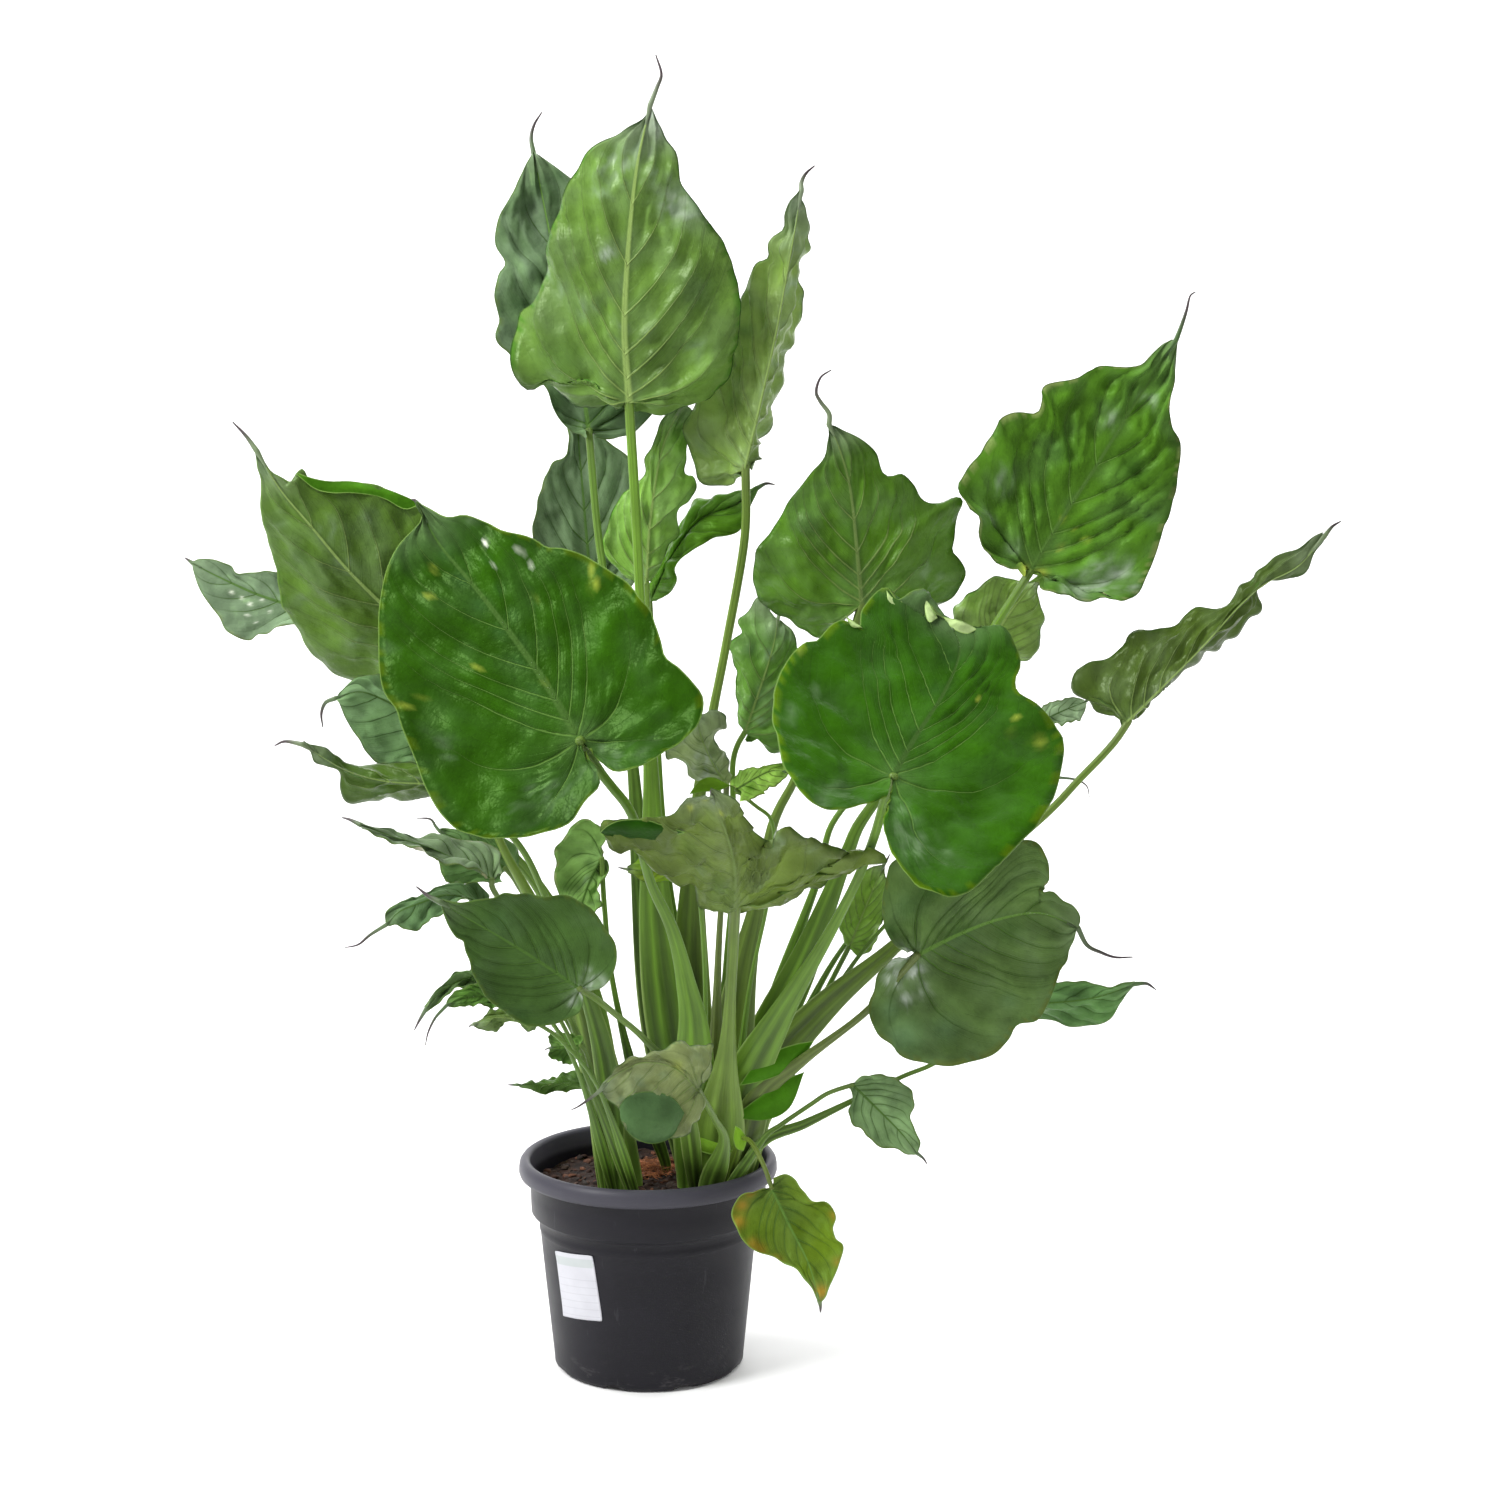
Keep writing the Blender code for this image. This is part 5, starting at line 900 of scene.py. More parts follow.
# Even lumps of one size, without a grain
def lumps(p, size, seed, waves=9):
    rng = np.random.default_rng(int(seed * 10) + 11)
    total = np.zeros(p.shape[:-1])
    for n in range(waves):
        turn = unit(rng.normal(size=p.shape[-1])) * (2 * math.pi / size) * (0.75 + 0.5 * rng.random())
        total += np.sin(p @ turn + rng.random() * 2 * math.pi)
    return total / math.sqrt(waves / 2)


def smoothStep(value, start, end):
    s = np.clip((value - start) / (end - start), 0.0, 1.0)
    return s * s * (3 - 2 * s)


# Painted values of a place that shows no vein
noVeins = {"veinAt": 0.5, "veinStep": 50.0, "veinWide": 1.0, "fromRib": 9.0}

# Painted places on single leaves: across, up and reach in mm, and strength, for each tint. The grey-green
# and the pale grey sheen tints are painted highlights and sheen
# The deep tint is painted shade: dark marks where the leaf lies in shade, as along the midrib
brushTints = {"paintedSheen": (0.17, 0.25, 0.14), "deep": (0.018, 0.060, 0.010), "yellow": (0.34, 0.40, 0.05),
              "paintedWhiteSheen": (0.40, 0.45, 0.39), "white": (0.75, 0.78, 0.66), "pale": (0.12, 0.22, 0.10),
              "orange": (0.30, 0.17, 0.015)}
touches = {
    "leaf_01": {"paintedSheen": "-25 1129 16 .6, 29 1096 18 .8, 42 1085 9 .6, -35 1049 8 .7, -54 998 11 .5, "
                    "-92 1035 10 .6, 49 961 13 .4, -6 1143 11 .55, 7 1176 13 .7, -39 1107 11 .6, "
                    "-76 1017 7 .6, 51 968 6 .5, -22 981 13 .3, 11 1120 9 .5",
                "paintedWhiteSheen": "7 1176 12 .55, 30 1097 14 .45, 41 1086 8 .5, -35 1052 7 .45, -25 1130 11 .3, "
                    "-92 1035 6 .4, 12 1160 8 .45, 3 1143 7 .3",
                "deep": "-77 954 24 .35, 51 1017 20 .3, -3 1008 9 .2"},
    "leaf_02": {"paintedSheen": "-115 1075 18 .7, -110 1098 9 .5, -115 1031 18 .6, -120 1057 7 .6, "
                    "-105 1008 9 .4",
                "deep": "-93 1107 13 .5, -75 1120 9 .5, -113 1004 8 .5"},
    "leaf_03": {"paintedSheen": "127 954 10 .7, 140 1020 9 .7, 120 921 10 .7, 117 988 7 .5, 134 1053 8 .5, "
                    "110 890 8 .6, 131 981 7 .6, 143 1071 7 .4",
                "deep": "93 981 7 .5, 79 918 9 .5, 51 872 11 .4, 65 854 11 .4, 135 1094 6 .4"},
    "leaf_04": {"paintedSheen": "-78 826 11 .4, -64 854 9 .35, -88 799 7 .3",
                "deep": "-51 771 13 .3"},
    "leaf_05": {"paintedSheen": "5 881 7 .4, -4 826 6 .35, 10 863 6 .4"},
    "leaf_07": {"paintedSheen": "272 750 15 .45, 261 761 7 .4, 116 743 9 .25, 241 807 7 .3",
                "deep": "190 798 13 .3, 143 807 17 .25"},
    "leaf_08": {"paintedSheen": "135 625 7 .45, 178 551 13 .35, 165 545 7 .3, 254 502 16 .5, 240 520 10 .5, "
                    "287 489 8 .5, 236 537 6 .6, 224 539 5 .5, 158 649 5 .3, 202 677 3.7 .3",
                "yellow": "144 687 3.7 .7, 345 618 1.9 .9, 341 606 1.9 .4, 310 640 1.9 .8, 369 601 5 .4",
                "deep": "270 648 8 .5, 284 677 8 .5, 252 606 6 .4, 322 629 6 .35"},
    "leaf_09": {"paintedSheen": "-82 549 17 .28, -118 535 11 .19, -52 570 9 .28, -30 586 12 .28, -235 688 6 .28, "
                    "-188 602 6 .28, -201 618 5 .22, -183 588 5 .22, -6 593 8 .22, 8 607 6 .17, "
                    "-43 595 6 .28, -104 556 6 .28, -202 547 5 .22, -161 808 7 .17",
                "white": "-147 787 2 1.4, -114 780 2.2 1.4, -106 765 1.3 .9, -140 766 1.2 .7",
                "yellow": "-195 763 2.3 .9, -198 737 2.8 .8, -153 669 2 1, -93 656 1.9 .9, -46 748 3.7 .8, "
                    "-48 763 1.9 .8, -101 735 1.9 .5, -210 641 2.8 .4, -224 634 2.2 .5",
                "deep": "-184 776 6 .7, -169 753 7 .7, -153 729 7 .7, -135 704 7 .7, -118 678 7 .65, "
                    "-103 650 6 .5, -145 771 5 .5, -134 743 6 .6, -123 720 6 .6, -114 697 6 .5"},
    "leaf_10": {"paintedSheen": "-289 799 11 .35, -276 771 11 .3, -318 735 8 .3, -269 697 9 .35, -246 674 7 .3, "
                    "-335 808 7 .35, -253 808 9 .3",
                "deep": "-318 772 11 .3, -226 734 9 .3, -350 854 7 .4"},
    "leaf_11": {"white": "-381 742 1.7 .9, -372 737 1.5 .9, -364 731 1.7 .9, -353 735 1.4 .8, "
                    "-367 720 1.5 .8, -359 714 1.2 .7, -346 724 1.4 .7"},
    "leaf_12": {"deep": "-274 644 7 .6, -254 651 6 .5"},
    "leaf_13": {"paintedSheen": "-294 585 6 .4, -266 578 6 .4",
                "deep": "-248 557 8 .4"},
    "leaf_14": {"deep": "-230 517 6 .4, -165 499 6 .3"},
    "leaf_15": {"deep": "-138 471 7 .5, -156 499 6 .4"},
    "leaf_17": {"paintedWhiteSheen": "-47 369 8 .9, -62 363 7 .8, -56 379 6 .6, -73 355 6 .5, -45 352 5 .7",
                "deep": "-138 432 13 .35, -120 341 9 .3"},
    "leaf_21": {"deep": "-83 299 6 .5"},
    "leaf_22": {"yellow": "29 288 6 .5, 50 315 5 .4",
                "paintedSheen": "-7 272 9 .5, -22 257 7 .5, 50 300 7 .5, 12 281 7 .4"},
    "leaf_23": {"paintedSheen": "123 504 7 .9, 50 479 7 .3, 107 469 8 .3, 154 497 7 .3",
                "deep": "69 460 11 .4, 163 478 9 .4, 41 498 7 .3",
                "yellow": "41 538 2.8 .8, 55 544 2.8 .8, 69 534 2.8 .6, -14 481 5 .5"},
    "leaf_24": {"paintedWhiteSheen": "52 583 8 .8, 58 569 7 .7",
                "deep": "41 569 6 .4"},
    "leaf_25": {"paintedSheen": "123 705 9 .7, 116 682 6 .6, 131 724 6 .6, 111 649 7 .6, 108 621 7 .6, "
                    "120 640 6 .5, 134 696 6 .5",
                "deep": "97 687 7 .6, 102 640 6 .6, 130 668 6 .5"},
    "leaf_26": {"paintedSheen": "333 740 9 .45, 316 733 6 .4, 349 746 6 .4"},
    "leaf_27": {"paintedWhiteSheen": "423 751 15 .52, 408 745 11 .49, 442 760 11 .45, 394 742 8 .42, 456 746 7 .35, "
                    "377 751 6 .35, 329 844 11 .32, 315 807 8 .32, 430 899 8 .28, 467 917 8 .28, "
                    "341 781 6 .35",
                "yellow": "387 807 2.2 .8, 409 788 2.4 .8, 385 781 2.2 .8, 399 797 1.7 .6, 353 759 5 .8, "
                    "367 757 5 .7",
                "deep": "384 871 15 .4, 450 853 15 .4, 366 825 9 .3, 469 807 9 .3"},
    "leaf_28": {"paintedSheen": "453 668 9 .4, 425 648 7 .3, 500 685 7 .3, 555 722 6 .3, 583 746 6 .4",
                "deep": "472 647 11 .35, 425 667 8 .3"},
    "leaf_29": {"deep": "333 467 15 .3"},
    "leaf_30": {"paintedWhiteSheen": "242 393 10 .95, 233 374 9 .95, 255 379 8 .9, 244 352 7 .7, 263 362 6 .7, "
                    "230 391 6 .8",
                "pale": "245 318 18 .6, 283 323 13 .4, 230 343 9 .5, 344 351 7 .3",
                "deep": "244 444 17 .55, 267 458 11 .5, 296 415 13 .35, 344 419 13 .3, 230 420 8 .5"},
    "leaf_31": {"paintedSheen": "392 351 7 .4"},
    "leaf_34": {"yellow": "-6 470 11 .4, 12 479 9 .4"},
    "leaf_35": {"paintedSheen": "240 255 8 .3, 221 260 6 .3"},
    "leaf_36": {"orange": "89 153 6 .8, 86 136 6 .8, 99 113 6 .7, 107 108 6 .6, 122 96 6 .6, 166 65 7 .9, "
                    "179 142 5 .7, 182 95 5 .5, 97 165 5 .7",
                "deep": "135 142 9 .35, 145 117 8 .3"},
    "leaf_37": {"paintedSheen": "-58 470 6 .5, -49 451 6 .5, -68 446 6 .4",
                "deep": "-53 484 5 .5"},
}
# Rolled lips and small leaf bits: owner, face, tint, rim tone, lift, depth, and two edges, in mm
flapTints = {"leafy": (0.040, 0.130, 0.006), "dark": (0.009, 0.040, 0.002), "blueish": (0.058, 0.112, 0.042),
             "cream": (0.36, 0.48, 0.20), "lime": (0.150, 0.300, 0.022)}
flaps = (
    ("leaf_10", "upper", "leafy", 1.0, 3.0, None,
     "-319 852, -305 847, -289 844, -270 844, -252 841, -235 836, -220 830, -207 824",
     "-319 850, -303 837, -287 833, -271 833, -252 831, -238 827, -221 818, -207 822"),
    ("leaf_23", "upper", "dark", 0.9, 3.0, None,
     "-44 515, -36 522, -23 527, -1 527, 15 522, 27 518, 37 515",
     "-44 515, -32 508, -19 505, -1 505, 13 508, 27 512, 37 515"),
    ("leaf_22", "upper", "blueish", 0.5, 4.0, None,
     "-27 251, -20 260, -6 265, 12 264, 25 258, 35 244",
     "-27 251, -25 234, -13 220, 4 214, 23 221, 35 244"),
    ("leaf_08", "under", "cream", 0.9, 1.5, None,
     "186 718, 194 713, 202 707", "186 718, 192 708, 202 707"),
    ("leaf_08", "under", "cream", 0.9, 1.5, None,
     "224 742, 230 735, 240 731", "224 742, 226 730, 233 724, 240 731"),
    ("leaf_08", "under", "cream", 0.9, 2.0, None,
     "260 737, 266 726, 272 716", "260 737, 260 722, 264 712, 272 716"),
    ("leaf_08", "under", "cream", 0.9, 2.5, None,
     "277 717, 291 714, 302 710, 309 705", "277 717, 286 706, 299 701, 309 705"),
    ("leaf_23", "upper", "lime", 1.0, 2.0, -215,
     "40 551, 50 564, 63 567, 79 559", "40 551, 53 553, 67 554, 79 559"),
    ("leaf_34", "under", "lime", 1.0, 3.0, -62,
     "28 221, 40 223, 59 219, 83 205", "28 221, 42 210, 61 203, 83 205"),
    ("leaf_36", "upper", "lime", 1.0, 3.0, -92,
     "83 231, 89 227, 94 217, 91 206", "83 231, 81 219, 84 209, 91 206"),
    ("leaf_35", "upper", "leafy", 0.9, 4.0, -78,
     "87 270, 99 287, 121 303, 140 310, 158 313", "87 270, 111 275, 135 285, 149 299, 158 313"),
    ("leaf_35", "upper", "leafy", 0.6, 3.0, -72,
     "81 239, 102 256, 130 275, 149 283", "81 239, 111 236, 135 248, 149 283"),
)


def paint(name, flat, colour):
    for tint, marks in touches.get(name, {}).items():
        for across, up, reach, strength in places(marks):
            gone = (flat[..., 0] - across) ** 2 + (flat[..., 1] - up) ** 2
            share = np.clip(np.exp(-gone / reach ** 2) * strength, 0.0, 1.0)[..., None]
            # The painted highlights break into crisp patches
            if tint in ("paintedSheen", "paintedWhiteSheen"):
                uneven = smoothStep(lumps(flat, 15.0, abs(across)), -0.3, 0.8)
                share = share * (0.22 + 0.90 * uneven)[..., None]
            colour = colour * (1 - share) + np.array(brushTints[tint]) * share
    return colour


# Drawn points of one half of a blade, and for each its t, its k and where its side vein begins
def bladeGrid(lf, side, t, k):
    gridT, gridK = np.meshgrid(t, k, indexing="ij")
    startT = np.repeat(bladeStart(lf, side, t)[:, None], len(k), axis=1)
    drawn = bladePoint(lf, side, gridT.ravel(), gridK.ravel(), startT.ravel())
    return drawn.reshape(len(t), len(k), 3), gridT, gridK, startT


# One half of a blade, with both its faces, the rim, the raised midrib and its painted values
def bladeHalf(pile, lf, side, seed):
    length = np.linalg.norm(np.array(lf["mid"][0]) - np.array(lf["mid"][-1]))
    big = min(1.0, 0.35 + length / 230)
    rows, cols = int(bladeMake["rows"] * big), int(bladeMake["cols"] * (0.55 + 0.45 * big))
    t = np.linspace(0.0, 1.0, rows + 1)
    drawn, gridT, gridK, startT = bladeGrid(lf, side, t, np.linspace(0.0, 1.0, cols + 1) ** 1.55)
    mean = seen(drawn)
    byT, byK = np.gradient(mean, axis=0), np.gradient(mean, axis=1)
    normal = np.cross(byK, byT)
    size = np.linalg.norm(normal, axis=2)
    toEye = np.array((0.0, -eye["back"], eye["high"])) - mean
    turn = 1.0 if np.median(np.sum(normal * toEye, axis=2)) > 0 else -1.0
    for c in range(cols - 1, -1, -1):
        thin = size[:, c] < 1e-9
        normal[thin, c] = normal[thin, c + 1]
        size[thin, c] = size[thin, c + 1]
    size[size < 1e-12] = 1.0
    normal = normal / size[..., None] * turn
    normal[-1] = normal[-2]
    upper = 1.0 if lf["face"] == "upper" else -1.0
    # Relief: cushions between the side veins, small waves at the margin and the midrib
    look = lookOf(lf)
    climb = np.maximum.accumulate(startT[:, 0] + t * 1e-6)
    marks = [float(np.interp(m, climb, t)) for m in leafLook["veins"]]
    marks = [marks[0] * m for m in leafLook["lobeVeins"]] + marks
    rise = leafLook["rise"] * gridK + leafLook["arch"] * gridK ** 2
    climbed = gridT - rise * smoothStep(gridT, 0.0, 0.6)
    phase = np.interp(np.clip(climbed, 0, 1), [0.0] + marks + [1.0],
                      [0.5] + list(range(1, len(marks) + 1)) + [len(marks) + 0.5])
    stepT = np.linalg.norm(byT, axis=2) / mm
    stepPhase = np.maximum(np.abs(np.gradient(phase, axis=0)), 1e-4)
    veinStep = stepT / stepPhase
    wideMm = np.linalg.norm(mean[:, -1] - mean[:, 0], axis=1)[:, None] / mm
    fromRoot = gridK * wideMm
    smallness = min(1.0, length / 190) ** 1.5
    cushion = np.abs(np.sin(math.pi * phase)) ** 0.7
    body = smoothStep(gridK, 0.02, 0.25) * (1 - smoothStep(gridK, 0.80, 1.0)) * smoothStep(veinStep, 3, 16)
    lift = upper * leafLook["quilt"] * cushion * body * smallness
    # Small ridges that run from vein to vein
    ripple = np.sin(2 * math.pi * (fromRoot / leafLook["rippleGap"] + 0.35 * lumps(mean, 0.06, seed + 7)))
    ripple = ripple * (0.6 + 0.4 * lumps(mean, 0.05, seed + 8))
    lift = lift + upper * leafLook["ripple"] * ripple * cushion * body * smallness
    inner = smoothStep(gridK, 0.02, 0.3)
    bigger = min(1.0, 0.4 + length / 300)
    lift = lift + leafLook["relief"] * inner * sum(
        high * lumps(mean, wide * bigger, seed + gain) for high, wide, gain in leafLook["lumps"])
    if look["crumple"]:
        fold = np.abs(lumps(mean, 0.034, seed + 9)) - 0.7
        lift = lift - upper * look["crumple"] * leafLook["crumpleHigh"] * inner * fold
    lift = lift * look["relief"]
    crest = lift / leafLook["crest"]
    lift = lift + (leafLook["wave"] * np.sin(2 * math.pi * leafLook["waves"] * gridT + seed * 2.1)
                   * smoothStep(gridK, 0.55, 1.0) * np.sin(math.pi * gridT))
    ribWide = lf["stout"] / mm * look["ribWide"] * (0.85 * (1 - startT) ** 0.8 + 0.10)
    ribHigh = leafLook["ribHigh"] * lf["stout"] * (1 - startT) ** 0.9
    ribShape = ribHigh * np.exp(-(fromRoot / ribWide) ** 2)
    sideVein = np.exp(-(np.abs(phase - np.round(phase)) * veinStep / 1.6) ** 2)
    sideVein = sideVein * (1 - gridK) ** 0.7 * smoothStep(veinStep, 2, 9) * leafLook["veinHigh"]
    groove = np.exp(-(fromRoot / (ribWide * 0.6)) ** 2) * leafLook["veinHigh"]
    # Both halves share one direction beside the midrib, so that it closes over the fold
    along = np.gradient(mean[:, 0], axis=0)
    for order, step in ((range(1, rows + 1), -1), (range(rows - 1, -1, -1), 1)):
        for r in order:
            if np.linalg.norm(along[r]) < 1e-7:
                along[r] = along[r + step]
    along, ahead = unit(along), unit(toEye[:, 0])
    ahead = unit(ahead - along * np.sum(along * ahead, axis=1)[:, None])
    beside = np.exp(-(fromRoot / (ribWide * 0.8)) ** 2)[..., None]
    normal = unit(normal * (1 - beside) + ahead[:, None] * beside)
    half = bladeMake["thick"] * mm / 2
    dent, ridge = groove + 0.6 * sideVein, ribShape + sideVein
    front = mean + normal * (lift + half)[..., None] - normal * (dent if upper > 0 else -ridge)[..., None]
    back = mean + normal * (lift - half)[..., None] - normal * (ridge if upper > 0 else -dent)[..., None]
    # Painted values
    tipShare = (look["tip"] * smoothStep(startT, 0.72, 1.0))[..., None]
    values = {"veinAt": phase, "veinStep": veinStep,
              "veinWide": np.maximum(0.55, 1.6 * (1 - gridK) * min(1.0, length / 170) * (1 - 0.45 * startT)),
              "veinShow": (1 - smoothStep(gridK, 0.45, 0.92)) * smoothStep(veinStep, 2.0, 7.0),
              "fromRib": fromRoot / np.maximum(ribWide * 0.75, 0.3),
              "fromEdge": (1 - gridK) * wideMm * 0.85 + 6 * smoothStep(0.08 - gridT, 0.0, 0.08)}
    tonesOf = {"veinTone": look["vein"], "ribTone": look["rib"], "rimTone": look["rim"]}
    # Patches of waxy bloom and painted sheen
    patch = 0.7 * lumps(mean, 0.055, seed + 1.0) + 0.5 * lumps(mean, 0.026, seed + 2.0)
    values["bloom"] = look["bloom"] * (0.5 + smoothStep(patch, -0.6, 1.4))
    toneAndShade = look["light"] * (1.0 + 0.09 * lumps(mean, 0.11, seed + 3.0))
    # Painted light on the crests of the relief and painted shade in its hollows
    toneAndShade = toneAndShade * np.clip(1.0 + leafLook["reliefShade"] * upper * crest, 0.62, 1.38)
    pale = leafLook["jointPale"] * np.exp(-(fromRoot + startT * length) / leafLook["jointReach"])
    kinds = (0, 1) if upper > 0 else (1, 0)  # 0 is the upper skin, 1 the under skin
    for layer, kind in zip((front, back), kinds):
        colour = np.array(tones[lf["tone"]][kind]) * np.array(look["cast"]) * toneAndShade[..., None]
        colour = colour + pale[..., None] * np.array(leafLook["paleTint"])
        colour = colour * (1 - tipShare) + np.array(leafLook["tipColour"]) * tipShare
        colour = paint(lf["name"], drawn[..., :2], colour)
        flip = (turn > 0) == (layer is front)
        pile.add(layer, gridFaces(rows, cols, not flip, True), kind,
                 tint=np.clip(colour, 0, 1).reshape(-1, 3), **tonesOf,
                 **{key: value.ravel() for key, value in values.items()})
    # Rim between the two faces
    pile.add(np.stack((front[:, -1], back[:, -1]), axis=1), gridFaces(rows, 1, turn < 0), kinds[0],
             tint=np.repeat(colour[:, -1], 2, axis=0), **noVeins, fromEdge=0.0, **tonesOf)


# Tube round a line, with a groove along one side and thin wings where it is asked for
def tubeSkin(line, wide, thick, sides, groove=None, thin=0.0):
    step = unit(np.gradient(line, axis=0))
    back = unit(np.array((0.0, 1.0, 0.0)) - step * step[:, 1:2])
    broad = np.cross(step, back)
    angle = np.linspace(0.0, 2 * math.pi, sides + 1)
    c, s = np.cos(angle)[None, :], np.sin(angle)[None, :]
    low = np.asarray(thin).reshape(-1, 1) * np.ones_like(c)
    x = wide[:, None] * c
    y = thick[:, None] * s * (1 - 0.62 * low * np.abs(c) ** 3)
    if groove is not None:
        sign, deep = groove
        inner = np.clip(s * sign, 0, 1) * np.exp(-(c / 0.42) ** 2)
        y = y - sign * inner * thick[:, None] * np.asarray(deep).reshape(-1, 1)
    points = line[:, None] + broad[:, None] * x[..., None] + back[:, None] * y[..., None]
    return points, np.abs(c) ** 4 * low, angle / (2 * math.pi)


# A stalk with its sheath, its painted light and shade of folds and its rounded upper end
def stalkPart(pile, lf, course, seed):
    rings, sides = stalkMake["rings"], stalkMake["sides"]
    fine = smoothLine(course, rings + 1)
    share = np.linspace(0.0, 1.0, rings + 1)
    wide, thick = stalkSize(lf, share)
    low = smoothStep(0.70 - share, 0.0, 0.55)
    sign = -1.0 if lf["depth"][0] * mm > course[0][1] else 1.0
    wider = 1 + low ** 0.6 * smoothStep(lf["stout"] / mm, 2.3, 3.6)
    points, wing, around = tubeSkin(fine, wide * wider, thick * (1 + 0.10 * low), sides,
                                    (sign, 0.22 + 0.30 * low), low)
    run = runAlong(fine)
    upward = np.repeat(run[:, None], sides + 1, axis=1) + seed * 3.1
    # The stalk's brightness darkens the sheath with painted shade as well as giving its own colour
    lit = lookOf(lf)["stalk"]
    tint = np.array(tones[lf["tone"]][2]) * (1.25 * (1 - low) + lit * low)[:, None]
    base = np.array(stalkMake["sheathTint"]) * lit
    nearSoil = smoothStep(0.16 - run, 0.0, 0.13)[:, None]
    nearJoint = smoothStep(run, run[-1] - 0.05, run[-1])[:, None]
    colour = tint * (1 - nearSoil * 0.45) + base * nearSoil * 0.45
    colour = colour * (1 - 0.35 * nearJoint) + np.array(stalkMake["jointTint"]) * 0.35 * nearJoint
    bend = np.cos(np.linspace(0.0, 2 * math.pi, sides + 1))[None, :, None]
    ridge = 0.30 + 0.25 * math.sin(seed * 2.3)
    # Painted light and shade round the sheath: lighter at its sides and along a ridge, darker in the folds
    # beside it
    foldLightShade = 0.86 + 0.22 * bend ** 2
    for beside, wide, strength in stalkMake["foldLightShade"]:
        foldLightShade = foldLightShade + strength * np.exp(-((bend - ridge - beside) / wide) ** 2)
    colour = colour[:, None] * (1 + (foldLightShade - 1) * np.clip(low, 0.25, 1)[:, None, None])
    pile.add(points, gridFaces(rings, sides), 2, tint=colour.reshape(-1, 3),
             around=np.repeat(around[None, :], rings + 1, axis=0).ravel(), upward=upward.ravel(),
             wing=wing.ravel())
    # The upper end is rounded and meets the midrib
    ring = points[rings]
    middle, ahead = ring[:-1].mean(axis=0), fine[-1] - fine[-2]
    ahead *= thick[-1] * stalkMake["dome"][lf["face"]] / np.linalg.norm(ahead)
    turns = np.radians((0.0, 30.0, 55.0, 75.0, 88.0))
    dome = np.array([middle + (ring - middle) * math.cos(t) + ahead * math.sin(t) for t in turns])
    pile.add(dome, gridFaces(len(turns) - 1, sides), 2, tint=np.tile(colour[rings], (len(turns), 1)),
             around=np.tile(around, len(turns)), upward=np.full(dome[..., 0].size, run[-1] + seed * 3.1),
             wing=np.tile(wing[rings], len(turns)))
    for ring, face in ((points[0, :-1], tuple(range(sides))[::-1]), (dome[-1, :-1], tuple(range(sides)))):
        pile.add(ring, [face], 2, tint=colour[rings, 0])


# The thin tail that carries on the midrib past the tip
def tailPart(pile, lf):
    q = np.linspace(0.0, 1.0, 22)
    mid = tailPoint(lf, "mid", q)
    neck = alongLine(lf["mid"], np.linspace(0.93, 0.995, 6))
    neck = np.column_stack((neck, bladeDepth(lf, neck)))
    line = seen(np.vstack((neck, mid)))
    length = np.linalg.norm(np.array(lf["mid"][0]) - np.array(lf["mid"][-1]))
    stout = leafLook["tailStout"] * min(1.0, 0.40 + length / 250)
    wide = np.concatenate((np.linspace(0.35, 1.0, 6), (1 - q) ** 0.9 * 0.76 + 0.24)) * stout
    points, _, _ = tubeSkin(line, wide, wide * 0.6, 8)
    count = len(line)
    share = np.linspace(0.0, 1.0, count)[:, None]
    blade = np.array(tones[lf["tone"]][0 if lf["face"] == "upper" else 1])
    pale = lookOf(lf)["tip"]
    blade = blade * (1 - pale) + np.array(leafLook["tipColour"]) * pale
    dry = smoothStep(share, 0.25, 0.75)
    tint = np.repeat((blade * (1 - dry) + np.array(leafLook["tailColour"]) * dry)[:, None], 9, axis=1)
    pile.add(points, gridFaces(count - 1, 8), 2, tint=tint.reshape(-1, 3), around=0.3,
             upward=np.repeat(share * 0.05, 9, axis=1).ravel())
    for end, face in ((0, tuple(range(8))[::-1]), (-1, tuple(range(8)))):
        pile.add(points[end, :-1], [face], 2, tint=tint[end, 0])


